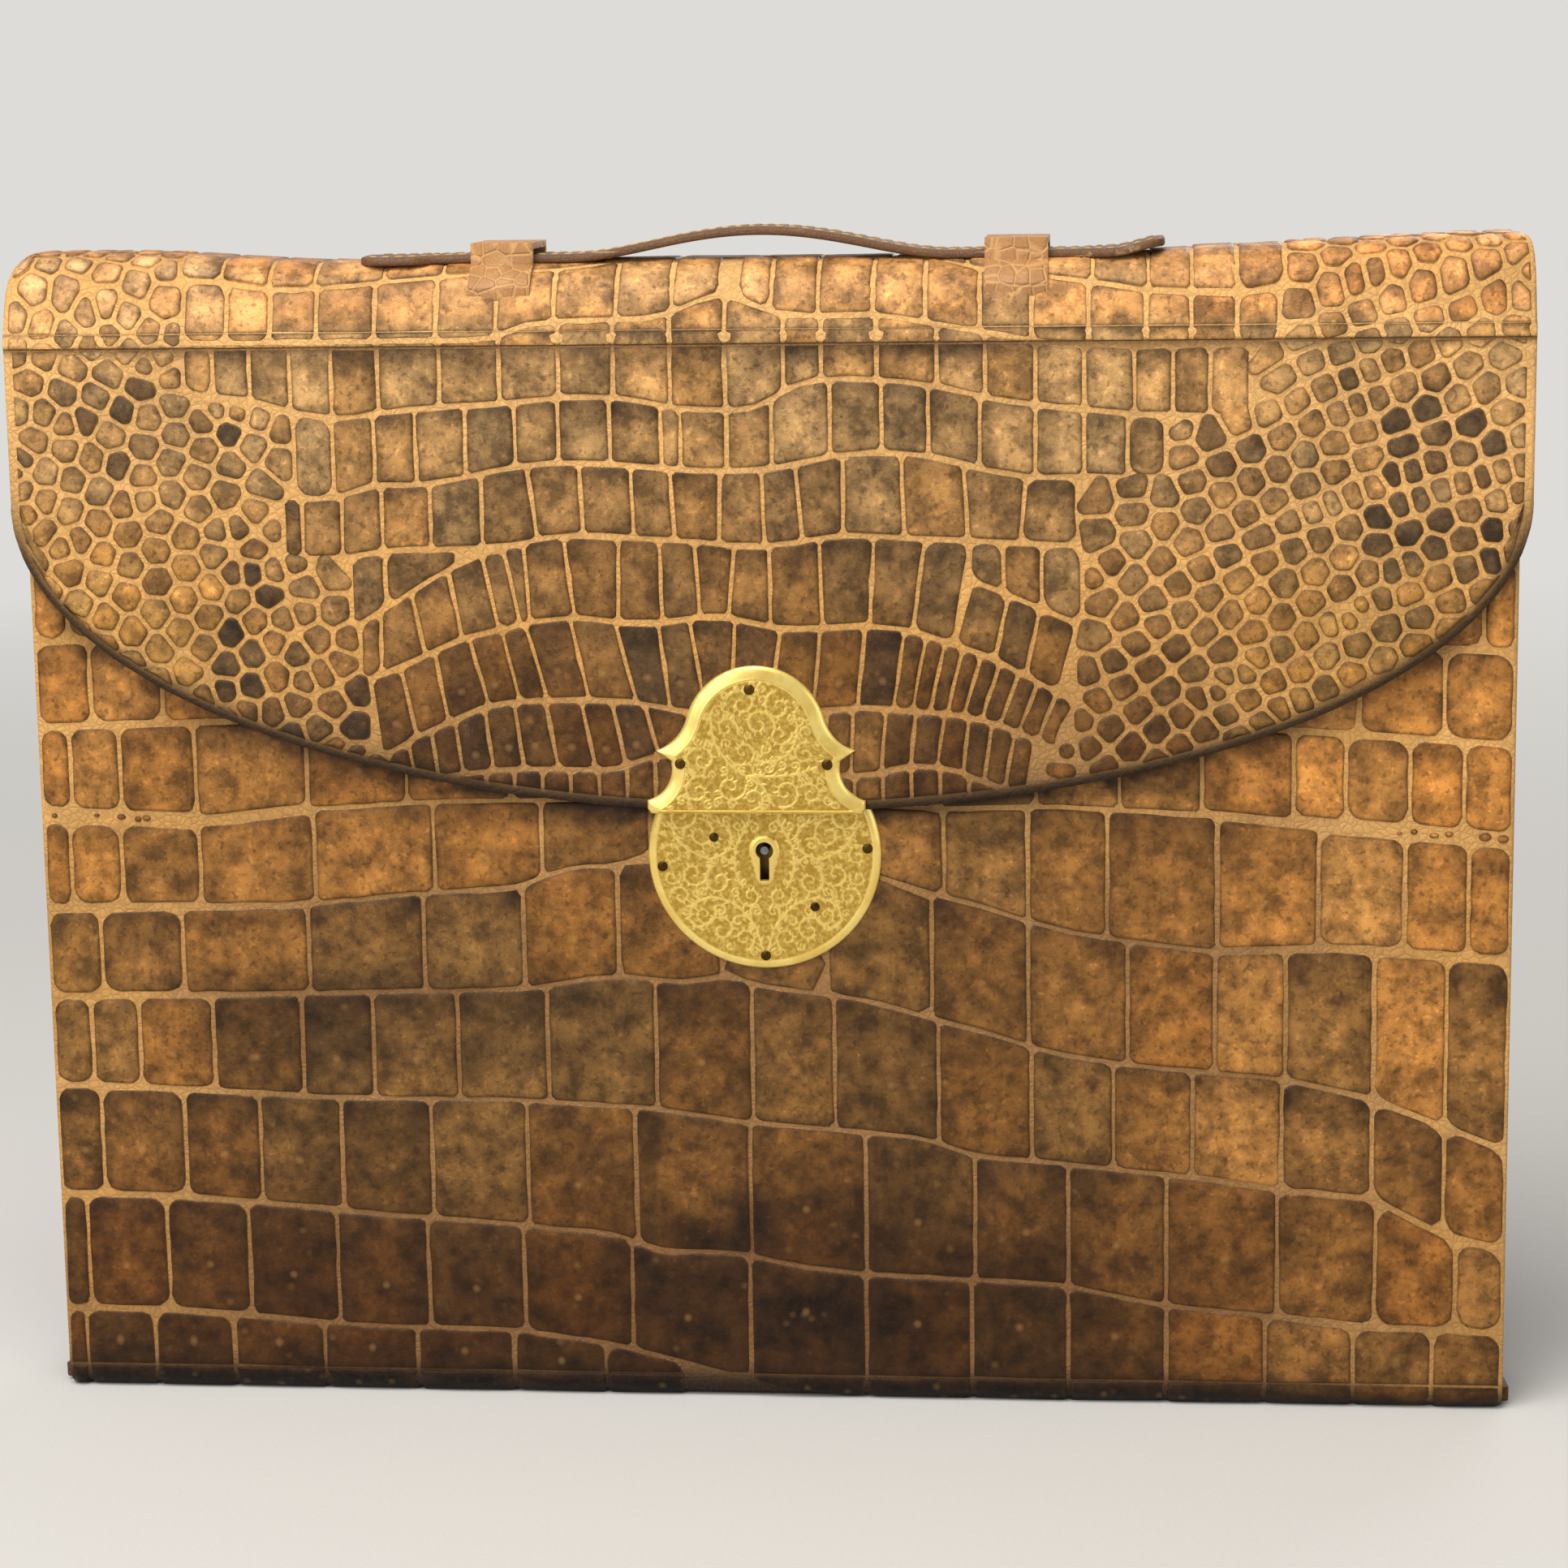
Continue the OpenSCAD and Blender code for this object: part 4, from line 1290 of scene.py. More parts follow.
def centroid(polygon: np.ndarray) -> np.ndarray:
    """The middle of a polygon's area.

    Args:
        polygon: The polygon's points.

    Returns:
        The middle.
    """
    after = np.roll(polygon, -1, 0)
    cross = polygon[:, 0] * after[:, 1] - polygon[:, 1] * after[:, 0]
    return ((polygon + after) * cross[:, None]).sum(0) / (3 * cross.sum())


@dataclass(frozen=True)
class Flank:
    """A field of small round scales, set out in rows that turn about a far point and then evened out.

    Attributes:
        centre: The point the rows turn about, in mm.
        side: 1 for a field to the right of its limit, -1 for one to the left.
        limit: Where the field ends against the large scales, as pairs of along and x.
        box: Lowest x, lowest along, highest x, highest along.
        pitch: Distance between scales across and along the rows, in mm.
        skin: Width of the skin between two scales, in mm.
    """

    centre: Point
    side: int
    limit: Line
    box: Box
    pitch: Point = (7.0, 7.6)
    skin: float = 0.8

    def seeds(self, rng: np.random.Generator) -> np.ndarray:
        """The scales' middles.

        Args:
            rng: Source of the small irregularities.

        Returns:
            One point for each scale.
        """
        x0, y0, x1, y1 = self.box
        corners = [math.hypot(x - self.centre[0], y - self.centre[1]) for x in (x0, x1) for y in (y0, y1)]
        made = []
        for radius in np.arange(max(min(corners) - 60, self.pitch[0]), max(corners), self.pitch[0]):
            step = self.pitch[1] / radius
            angle = rng.uniform(0, step)
            while angle < 2 * math.pi:
                p = np.array([self.centre[0] + radius * math.cos(angle), self.centre[1] + radius * math.sin(angle)])
                p += rng.normal(0, 0.6, 2)
                angle += step * rng.uniform(0.84, 1.16)
                if x0 <= p[0] <= x1 and y0 <= p[1] <= y1 and self.side * (p[0] - limit_at(self.limit, p[1])) > 1.5:
                    made += [p - [1.9, 0.7], p + [1.9, 0.7]] if rng.random() < 0.1 else [p]
        return np.array(made)

    def cell(self, p: np.ndarray, everyone: np.ndarray) -> np.ndarray:
        """The share of the skin that lies nearest to one seed, out to the limit.

        Args:
            p: The seed.
            everyone: All seeds.

        Returns:
            The share's corners.
        """
        x0, y0, x1, y1 = self.box
        away = everyone - p
        distance = np.hypot(away[:, 0], away[:, 1])
        cell = np.array([[x0, y0], [x1, y0], [x1, y1], [x0, y1]], float)
        for k in np.argsort(distance)[1:14]:
            if 1e-3 < distance[k] < 30:
                normal = away[k] / distance[k]
                cell = clip_side(cell, normal, float(normal @ (p + away[k] / 2)))
        slope = (limit_at(self.limit, p[1] + 3) - limit_at(self.limit, p[1] - 3)) / 6
        normal = -self.side * np.array([1, -slope]) / math.hypot(1, slope)
        cell = clip_side(cell, normal, float(normal @ [limit_at(self.limit, p[1]), p[1]]) - 0.35)
        for normal in ([1.0, 0], [-1.0, 0], [0, 1.0], [0, -1.0]):
            cell = clip_side(cell, np.array(normal), float(p @ normal) + 6)
        return cell

    def scales(self, rng: np.random.Generator) -> list[Scale]:
        """Draws the field's scales: each seed's share of the skin, drawn in and rounded.

        Args:
            rng: Source of the small irregularities.

        Returns:
            The scales.
        """
        seeds = self.seeds(rng)
        for _ in range(2):
            cells = [self.cell(p, seeds) for p in seeds]
            seeds = np.array([p + 0.7 * (centroid(c) - p) if len(c) > 2 else p for p, c in zip(seeds, cells)])
        turn = np.linspace(0, 2 * math.pi, 18, endpoint=False)
        around = np.stack([np.cos(turn), np.sin(turn)], -1)
        made = []
        for p in seeds:
            cell = self.cell(p, seeds)
            if len(cell) < 3:
                continue
            reach = min(np.hypot(*(cell - cell.mean(0)).T).mean(), 5.0)
            for share in (0.4, 0.25, 0.1):
                r = reach * share
                core = shrunk(cell, self.skin / 2 * rng.uniform(0.8, 1.3) + r)
                if len(core) > 2:
                    break
            if len(core) < 3:
                continue
            scale = Scale(np.array([core[np.argmax(core @ d)] + r * d for d in around]), False)
            if scale.area() > 3.0:
                made.append(scale)
        return made


def clipped(scale: Scale, low: float, high: float) -> Scale | None:
    """The part of a scale between two places along the hide, or None where too little is left.

    Args:
        scale: The scale.
        low: The lower place, in mm.
        high: The upper place.

    Returns:
        The part or None.
    """
    rim = clip_side(scale.outline, np.array([0, 1.0]), high)
    rim = clip_side(rim, np.array([0, -1.0]), -low)
    if len(rim) < 4 or np.ptp(rim[:, 1]) < 0.7 or np.ptp(rim[:, 0]) < 0.9:
        return None
    part = Scale(rim, scale.large, scale.dark)
    return part if part.area() > 1.2 else None


# Rings of a scale: inset from its rim and height, in mm, and the rim value that the scale material turns into painted
# shade near the rim
LARGE_RINGS = ((0, -0.16, 0.0), (0.2, 0.15, 0.3), (0.5, 0.33, 0.7), (1.1, 0.43, 1.0), (2.8, 0.48, 1.0))
SMALL_RINGS = ((0, -0.16, 0.0), (0.22, 0.2, 0.35), (0.65, 0.44, 0.8), (1.4, 0.58, 1.0))


def lay_scale(shell: Shell, scale: Scale, contour: Contour, tint: Tint, skin: Tint, rng: np.random.Generator) -> None:
    """Adds one domed scale to a shell.

    Args:
        shell: The mesh it joins.
        scale: The scale.
        contour: What it lies on.
        tint: Colours of the scales by their place in the unrolled hide.
        skin: Colours of the skin, which the scale's rim takes up.
        rng: Source of its small irregularities.
    """
    rim, centre = scale.outline, scale.middle()
    count = len(rim)
    out = rim - centre
    far = np.maximum(np.hypot(out[:, 0], out[:, 1]), 1e-6)
    stout = rng.uniform(0.85, 1.15)
    tilt = rng.normal(0, 0.008, 2)
    flat, heights, edge = [], [], []
    for inset, height, shade in LARGE_RINGS if scale.large else SMALL_RINGS:
        flat.append(centre + out * (1 - np.minimum(inset / far, 0.72))[:, None])
        heights.append(np.full(count, height * (stout if height > 0 else 1)))
        edge.append(np.full(count, shade))
    if contour.turns(rim[:, 1].min(), rim[:, 1].max()):
        last = flat[-1]
        for share in (0.7, 0.45, 0.22):
            flat.append(centre + (last - centre) * share)
            heights.append(heights[-1])
            edge.append(np.ones(count))
    flat.append(centre[None])
    heights.append(np.array([heights[-1][0] * (0.99 if scale.large else 1.1)]))
    edge.append(np.array([1.0]))
    places, height = np.concatenate(flat), np.concatenate(heights)
    local = places - centre
    height = height + (local @ tilt) * (height > 0)
    if contour is WRAP:
        height = np.where(height > 0, height * np.clip(0.11 * np.abs(places[:, 1]), 0.19, 1), height)
    points = contour.place(places[:, 0], places[:, 1], height)
    rings = len(flat) - 1
    faces: list[list[int]] = [list(range(count - 1, -1, -1))]
    for ring in range(rings - 1):
        a, b = ring * count, (ring + 1) * count
        faces += [[a + i, a + (i + 1) % count, b + (i + 1) % count, b + i] for i in range(count)]
    last = (rings - 1) * count
    faces += [[last + i, last + (i + 1) % count, last + count] for i in range(count)]
    colour = tint(places[:, 0], places[:, 1]) * rng.uniform(0.74, 1.2)
    warm = rng.uniform(-0.08, 0.08)
    colour = colour * [1 + warm, 1, 1 - 1.6 * warm]
    colour = mix(colour, srgb(40, 33, 27), np.full(len(colour), min(scale.dark, 1) * 0.86))
    depth = np.ptp(rim[:, 1])
    across = np.abs(local[:, 0]) / max(np.ptp(rim[:, 0]), 1)
    # Painted shade: each scale darkens towards dark brown at its upper part and its sides
    shade = 0.55 * smooth(0.1, 0.5, local[:, 1] / max(depth, 1)) + 0.36 * smooth(0.2, 0.5, across)
    colour = mix(colour, srgb(44, 27, 12), shade * rng.uniform(0.5, 1.1))
    outer = 2 * count
    around = skin(places[:outer, 0], places[:outer, 1])
    colour[:outer] += (around - colour[:outer]) * np.repeat([0.6, 0.35], count)[:, None]
    shift = rng.normal(0, 0.5, 2)
    kind = (1.5 if scale.large and depth > 9 else 0) + rng.random() * 0.4
    spot = np.column_stack([local + shift, np.full(len(local), kind)])
    shell.add(points, faces, rim=np.concatenate(edge), spot=spot, tint=colour)


# ---- Tints of the hide


class Tones:
    """The hide's colours, by rule over its unrolled face."""

    HONEY = np.array(srgb(168, 114, 54))
    UMBER = np.array(srgb(114, 78, 36))
    CHESTNUT = np.array(srgb(88, 51, 16))
    # Near-black: for stains, and for painted shade under the flap and at the fold
    SOOT_AND_SHADE = np.array(srgb(20, 11, 5))
    # Painted shade of the flap's rolled edge
    ROLLED_EDGE_SHADE = np.array(srgb(24, 14, 7))
    FAWN = np.array(srgb(176, 134, 82))
    AMBER = np.array(srgb(198, 136, 76))
    SKIN = np.array(srgb(220, 170, 104))
    GOLD = np.array(srgb(196, 142, 66))
    TAUPE = np.array(srgb(152, 112, 66))

    @classmethod
    def front_scale(cls, x: np.ndarray, z: np.ndarray) -> np.ndarray:
        """Scales of the front: honey at the upper sides, umber in the middle, chestnut below, with painted shade that
        darkens the bottom middle and lightens the top, a painted shadow under the flap's edge, and near-black painted
        shade with some wear at the fold.

        Args:
            x: Places across, in mm.
            z: Heights above the table, in mm.

        Returns:
            A colour for each place.
        """
        c = np.repeat(cls.HONEY[None], len(x), 0)
        side = np.maximum(smooth(60, 170, -x - 14), smooth(30, 140, x))
        left = 0.35 * smooth(60, 120, -x) * smooth(40, 60, z) * (1 - smooth(96, 112, z))
        middle = (1 - 0.8 * side) * (1 - 0.45 * smooth(112, 160, z)) + left
        c = mix(c, cls.UMBER, np.clip(middle + 0.7 * (cloud(x, z, 46, 3) - 0.5), 0, 1))
        c = mix(c, cls.CHESTNUT, 0.85 * (1 - smooth(26, 66, z - 10 * side)) * (1 - 0.6 * smooth(50, 140, x)))
        c = mix(c, cls.SOOT_AND_SHADE, stain_share(x, z))
        c = mix(c, cls.SOOT_AND_SHADE, 0.5 * smooth(0.56, 0.82, cloud(x, z, 20, 11)) * (1 - smooth(80, 130, z)))
        # Painted shade and light: darker towards the bottom in the middle, lighter upwards and towards the right
        centre = 1 - smooth(60, 150, x) - 0.35 * smooth(60, 150, -x)
        c = c * (1 - 0.55 * (1 - smooth(14, 88, z)) * centre)[:, None]
        c = c * (1.06 + 0.12 * smooth(84, 120, z) + 0.12 * smooth(40, 120, x))[:, None]
        # Painted shadow just below the flap's lower edge
        c = mix(c, cls.SOOT_AND_SHADE, painted_flap_shadow(x, z))
        # Near-black at the fold: painted shade of the rolled-under hide, with some wear
        return mix(c, cls.SOOT_AND_SHADE * 0.5, 0.97 * (1 - smooth(3, 11, z + 2.5 * smooth(100, 170, x))))

    @classmethod
    def front_skin(cls, x: np.ndarray, z: np.ndarray) -> np.ndarray:
        """Skin of the front: golden at the sides, browner below, with a painted shadow under the flap's edge and
        near-black painted shade with some wear at the fold.

        Args:
            x: Places across, in mm.
            z: Heights above the table, in mm.

        Returns:
            A colour for each place.
        """
        c = np.repeat(cls.SKIN[None], len(x), 0)
        c = mix(c, cls.GOLD, 0.8 * cloud(x, z, 30, 5))
        c = mix(c, cls.TAUPE, (1 - 0.8 * smooth(112, 170, np.abs(x))) * (1 - 0.6 * smooth(120, 150, z)))
        c = mix(c, cls.CHESTNUT, 0.7 * stain_share(x, z))
        c = mix(c, cls.CHESTNUT, 0.4 * (1 - smooth(20, 70, z)) * (1 - 0.6 * smooth(60, 150, x)))
        # Painted shadow just below the flap's lower edge
        c = mix(c, cls.SOOT_AND_SHADE, 0.8 * painted_flap_shadow(x, z))
        # Near-black at the fold: painted shade of the rolled-under hide, with some wear
        return mix(c, cls.SOOT_AND_SHADE * 0.5, 0.95 * (1 - smooth(3, 11, z + 2.5 * smooth(100, 170, x))))

    @classmethod
    def wrap_scale(cls, x: np.ndarray, s: np.ndarray) -> np.ndarray:
        """Scales of the flap, brow, top, back and base.

        Args:
            x: Places across, in mm.
            s: Places along the wrap, in mm.

        Returns:
            A colour for each place.
        """
        c = np.repeat(cls.FAWN[None], len(x), 0)
        c = mix(
            c, cls.AMBER, smooth(1, 7, s) * (0.5 + 0.5 * smooth(40, 130, np.abs(x))) * (0.6 + 0.4 * cloud(x, s, 25, 2))
        )
        down = smooth(4, 96, -s)
        side = smooth(70, 165, np.abs(x))
        c = mix(c, cls.UMBER, np.clip(down * (1.05 - 0.55 * side) + 0.45 * (cloud(x, s, 34, 8) - 0.5), 0, 1))
        c = mix(
            c, cls.CHESTNUT * 0.7, 0.7 * smooth(62, 104, -s) * (1 - 0.6 * side) * smooth(0.2, 0.6, cloud(x, s, 18, 21))
        )
        c = mix(c, srgb(220, 168, 110), 0.75 * smooth(0, 5, s) * (1 - smooth(17, 26, s)) * smooth(92, 136, -x))
        c = mix(c, cls.GOLD, 0.7 * smooth(112, 150, -x) * smooth(34, 60, -s) * (0.5 + 0.5 * cloud(x, s, 14, 4)))
        c = mix(c, cls.GOLD, 0.6 * smooth(96, 130, x) * smooth(44, 66, -s) * (0.4 + 0.6 * cloud(x, s, 14, 7)))
        c = mix(c, cls.AMBER * 0.92, 0.8 * smooth(16, 24, s) * (1 - smooth(44, 60, s)))
        c = c * (1 + 0.16 * smooth(0, 5, s) * (1 - smooth(30, 50, s)) * smooth(-70, -30, x))[:, None]
        c = mix(c, cls.UMBER, smooth(50, 90, s) * (0.55 + 0.5 * (cloud(x, s, 50, 6) - 0.3)))
        c = mix(c, cls.CHESTNUT, 0.8 * smooth(240, 322, s))
        # Nearly black towards the base's underside
        c = mix(c, cls.SOOT_AND_SHADE, 0.55 * smooth(322, 345, s))
        # Painted shade on the flap's rolled edge
        return mix(c, cls.ROLLED_EDGE_SHADE, rolled_edge_shade(x, s))

    @classmethod
    def wrap_skin(cls, x: np.ndarray, s: np.ndarray) -> np.ndarray:
        """Skin of the flap, brow, top, back and base, with painted shade in the pressed lines of the crease.

        Args:
            x: Places across, in mm.
            s: Places along the wrap, in mm.

        Returns:
            A colour for each place.
        """
        c = np.repeat(cls.SKIN[None], len(x), 0) * 1.04
        c = mix(c, cls.GOLD, 0.9 * smooth(10, 90, -s) * (0.3 + 0.7 * cloud(x, s, 24, 9)))
        c = mix(c, cls.GOLD, 0.4 * smooth(2, 12, s) * smooth(60, 150, np.abs(x)))
        c = mix(c, cls.TAUPE, 0.75 * smooth(64, 104, -s) * (1 - 0.5 * smooth(70, 130, np.abs(x))))
        c = mix(c, cls.TAUPE, 0.9 * smooth(50, 110, s))
        # Painted shade in the pressed lines of the crease
        line = np.where(s < 0, 0.8, 0.3 * smooth(140, 172, -x) + 0.12)
        c = mix(c, cls.CHESTNUT * 0.6, line * (1 - smooth(0.25, 0.7, np.abs(np.abs(s) - CREASE_BAND))))
        # Nearly black towards the base's underside
        c = mix(c, cls.SOOT_AND_SHADE, 0.7 * smooth(322, 345, s))
        # Painted shade on the flap's rolled edge
        return mix(c, cls.ROLLED_EDGE_SHADE, rolled_edge_shade(x, s))


STAINS = (
    (-95, 104, 60, 7, 0.5), (-62, 88, 34, 8, 0.45), (-110, 90, 28, 7, 0.4), (-22, 84, 16, 6, 0.4),
    (-54, 62, 13, 7, 0.4), (-44, 58, 15, 4, 0.5), (-8, 45, 34, 9, 0.75), (14, 20, 26, 11, 0.75), (-20, 24, 20, 8, 0.4),
    (60, 30, 20, 6, 0.35), (-150, 66, 12, 6, 0.35), (-136, 92, 14, 7, 0.35), (40, 46, 12, 5, 0.4),
)


def painted_flap_shadow(x: np.ndarray, z: np.ndarray) -> np.ndarray:
    """How strongly the flap's painted shadow darkens the front just below its lower edge."""
    below = CREASE_Z + flap_low(x) - z
    return (0.92 - 0.4 * smooth(60, 150, np.abs(x))) * smooth(-3, 0, below) * (1 - smooth(0.6, 5.0, below))


def stain_share(x: np.ndarray, z: np.ndarray) -> np.ndarray:
    """How dark the old stains on the front are at a place.

    Args:
        x: Places across, in mm.
        z: Heights above the table, in mm.

    Returns:
        Shares from 0 to 1.
    """
    share = np.zeros(len(x))
    ragged = 0.7 * (cloud(x, z, 16, 14) - 0.5)
    for sx, sz, rx, rz, strength in STAINS:
        d = np.hypot((x - sx) / rx, (z - sz) / rz)
        share = np.maximum(share, strength * (1 - smooth(0.45, 1.15, d + ragged)))
    return share


def flap_low(x: np.ndarray, inset: float = 0.0) -> np.ndarray:
    """The flap's lower edge at x, as a place along the wrap, with its rim moved in by inset."""
    u = np.clip(np.abs(x) / (TOP_HALF - inset), 0, 1)
    return -FLAP_SIDE - (FLAP_BOW - inset) * np.sqrt(1 - u * u)


FLAP_TURN = np.linspace(-math.pi / 2, math.pi / 2, 700)
ELLIPSE = np.stack([TOP_HALF * np.sin(FLAP_TURN), -FLAP_SIDE - FLAP_BOW * np.cos(FLAP_TURN)], -1)


def flap_rim(x: np.ndarray, s: np.ndarray) -> np.ndarray:
    """Distance from a place on the flap to its edge, in mm.

    Args:
        x: Places across, in mm.
        s: Places along the wrap, in mm.

    Returns:
        The distances.
    """
    x, s = np.asarray(x, float), np.asarray(s, float)
    flat = np.stack([x.ravel(), s.ravel()], -1)
    near = np.empty(len(flat))
    for k in range(0, len(flat), 4000):
        part = flat[k : k + 4000]
        near[k : k + 4000] = np.sqrt(((part[:, None] - ELLIPSE[None]) ** 2).sum(-1).min(1))
    near = near.reshape(x.shape)
    return np.where(s > -FLAP_SIDE, np.minimum(near, TOP_HALF - np.abs(x)), near)


def rolled_edge_shade(x: np.ndarray, s: np.ndarray) -> np.ndarray:
    """How strongly painted shade darkens the flap's rolled edge at a place.

    Args:
        x: Places across, in mm.
        s: Places along the wrap, in mm.

    Returns:
        Shares from 0 to 1.
    """
    share = np.zeros(len(x))
    low = s < -30
    if low.any():
        share[low] = 0.95 * (1 - smooth(0.9, 4.6, flap_rim(x[low], s[low]))) * smooth(30, 55, -s[low])
    return share


# ---- The pattern of this hide


FRONT_LINES: dict[str, Line] = {
    "top": ((-181, 233), (-60, 236), (30, 232), (181, 236)),
    "n3": ((-181, 213), (-90, 216), (10, 212), (100, 215), (181, 210)),
    "n2": ((-181, 191), (-100, 195), (0, 190), (90, 194), (181, 188)),
    "n1": ((-181, 170), (-110, 172), (0, 174), (100, 171), (181, 166)),
    "ab": (
        (-181, 148), (-138, 146.5), (-111, 149.8), (-82, 151.5), (0, 153), (43, 150), (69, 150.8), (108, 148.8),
        (137, 146.2), (181, 142.5),
    ),
    "bc": (
        (-181, 124), (-118, 125.2), (-84, 128.8), (-62, 129.9), (-54, 133), (-48, 135.5), (-35, 135.5), (-30, 139),
        (0, 139), (31, 132.5), (40, 129.4), (52, 126.3), (62, 123), (75, 119.5), (108, 115), (137, 116), (181, 113),
    ),
    "cd": (
        (-181, 102), (-132, 102.6), (-62, 104.5), (-53, 105.4), (-45, 107.4), (-31, 107.9), (-22, 106.3), (-8, 108.7),
        (-2, 105.6), (7, 104.8), (19, 103.3), (30, 101), (42, 97.4), (54, 94.5), (70, 89.3), (88, 86.5), (126, 82.8),
        (147, 77.5), (167, 68.3), (181, 62),
    ),
    "de": (
        (-181, 77.9), (-113, 76.2), (-63, 76.1), (-29, 74.3), (-5, 70.8), (16, 69.3), (39, 67.2), (50, 62.9),
        (70, 61.3), (105, 56.8), (126, 52.6), (147, 50.2), (165, 40.1), (181, 36),
    ),
    "ef": (
        (-181, 47.4), (-114, 46.9), (-64, 43.7), (-36, 41.2), (-31, 37.2), (-7, 37), (3, 34.3), (23, 32), (70, 30.1),
        (98, 24), (123, 20.7), (143, 17.1), (166, 16.1), (181, 15),
    ),
    "fg": ((-181, 17.3), (-115, 16.8), (-65, 16), (-40, 12.9), (-20, 8), (0, 3), (20, -1), (60, -4), (181, -5)),
    "end": ((-181, -6), (181, -6.5)),
}
FRONT_CUTS: dict[str, tuple[float, ...]] = {
    "n3": (-179.5, -168, -150, -128, -104, -80, -55, -30, -4, 20, 45, 70, 94, 118, 142, 162, 179.5),
    "n2": (-179.5, -171, -155, -133, -110, -86, -62, -37, -12, 12, 38, 62, 86, 110, 134, 155, 172, 179.5),
    "n1": (-179.5, -166, -148, -126, -102, -78, -52, -27, -2, 22, 48, 72, 96, 120, 143, 163, 179.5),
    "ab": (
        -179.5, -172, -159.5, -140.7, -112.8, -88, -62, -36, -10, 16, 42, 66, 86, 105.7, 127.6, 140, 155.2, 168, 179.5
    ),
    "bc": (
        -179.5, -173, -160.1, -140.4, -111.6, -81.7, -54.9, -28, 0, 24, 43.6, 64, 83.1, 109.6, 133.8, 154.4, 169.5,
        179.5,
    ),
    "cd": (
        -179.5, -166.3, -145.6, -113.8, -84.9, -59.9, -36.5, -11, 15, 40.5, 64, 88.1, 109.2, 126.2, 147.4, 164.7, 179.5
    ),
    "de": (
        -179.5, -169.7, -157.6, -138.8, -116.3, -98.4, -77.1, -54.6, -27.7, -3.8, 16.4, 42, 64.7, 84.7, 103.9, 125.5,
        147.3, 164.7, 179.5,
    ),
    "ef": (
        -179.5, -168.3, -147.1, -127.9, -107.2, -84.5, -60.4, -33.4, -4.8, 23.8, 50.7, 73.7, 97.6, 124.6, 148.5, 167.9,
        179.5,
    ),
    "fg": (
        -179.5, -173.3, -152.8, -131.9, -109.4, -86.3, -62.1, -34.9, -5.3, 23.5, 49.7, 73.6, 97.7, 121.8, 143.5, 162.6,
        179.5,
    ),
    "end": (-179.5, -174.8, -157.1, -136.9, -113.5, -89.7, -65.2, -42, -22),
}

# Rows of the flap, brow and top, from the top down; along is nil at the crease
LINE_T1: Line = (
    (-145, 13), (-129, 13.1), (-117, 11.6), (-105, 12.4), (-92, 13.7), (-79, 15.2), (-58, 17.5), (-47, 18), (-31, 23),
    (-11, 28), (-5, 28), (13, 27.5), (40, 22.7), (54, 16), (70, 13.5), (93, 9.6), (113, 8.6), (128, 10.1),
)
LINE_T2: Line = (
    (-145, -0.4), (-62, -0.2), (-57, 3.4), (-45, 4.2), (-24, 4.6), (-20, 5.6), (-14, 9), (-9, 10.5), (-3, 8.4),
    (7, 4.7), (29, 5), (43, 2.6), (57, 0), (70, -2.2), (92, -3), (120, -2.5),
)
LINE_F1: Line = (
    (-141, -12), (-121, -14.3), (-112, -17.2), (-100, -18.9), (-88, -16.9), (-71, -15.8), (-58, -15.2), (-45, -13.7),
    (-30, -14.3), (-22, -16.4), (-12, -17.3), (0, -17.3), (5, -14.1), (8, -11.2), (15, -10.1), (29, -10.2), (43, -11.9),
    (57, -15.3), (70, -17), (89, -18.9), (120, -20),
)
LINE_F2: Line = (
    (-118, -37), (-104, -38.3), (-93, -34.5), (-84, -35), (-72, -33.4), (-58, -30.3), (-46, -29.4), (-31, -30.3),
    (-15, -31.7), (-4, -31.7), (5, -31.3), (16, -28.5), (29, -27.4), (41, -28.3), (53, -31.6), (65, -33.8), (81, -33.5),
    (100, -34),
)
LINE_F3: Line = (
    (-118, -52.3), (-100, -52.3), (-90, -50.3), (-78, -50.4), (-59, -49.5), (-51, -47.4), (-42, -46.9), (-30, -47.7),
    (-14, -48.6), (-5, -49.9), (2, -49.9), (11, -48.7), (20, -47.1), (35, -48), (47, -48.5), (64, -49.4), (80, -50),
)
LINE_WEDGE: Line = (
    (-102, -71), (-97.5, -68.7), (-87.5, -62.5), (-78.3, -56.9), (-70.9, -52.8), (-64, -50.6), (-59, -49.5)
)
LINE_SPLIT: Line = ((44, -53), (50, -58), (59.6, -61.6), (69.2, -65.8), (80, -70))
LINE_F4: Line = (
    (-98, -82.4), (-90.5, -80.3), (-81.4, -76.1), (-73, -72), (-59, -69), (-54, -67.5), (-44, -66.7), (-32, -68.4),
    (-24, -68.4), (-15, -66.8), (-10, -66.4), (-2, -68), (6, -70.1), (15, -69.7), (23, -68.9), (35, -69.8), (43, -72.3),
    (55, -76.5), (69, -83.9), (78, -89),
)
LINE_F5: Line = (
    (-95, -102), (-91, -100), (-82, -95), (-74, -91.7), (-67, -88.4), (-60, -87.4), (-45, -86.8), (-29, -87.6),
    (-19, -89.9), (0, -90.5), (13, -89.6), (27, -88.8), (40, -90), (48, -90.6), (58, -93.1), (68, -97.5), (74, -101),
)
LINE_F6: Line = (
    (-94, -112), (-77, -105.8), (-70, -104.9), (-60, -103.8), (-34, -104.2), (-31, -101.9), (-27, -100.7), (-10, -101),
    (10, -104), (21, -105.7), (27, -105.4), (35, -103), (46, -103.4), (51, -106.1), (58, -108.4), (64, -111),
)
LINE_TIP: Line = ((-95, FLAP_END), (95, FLAP_END))
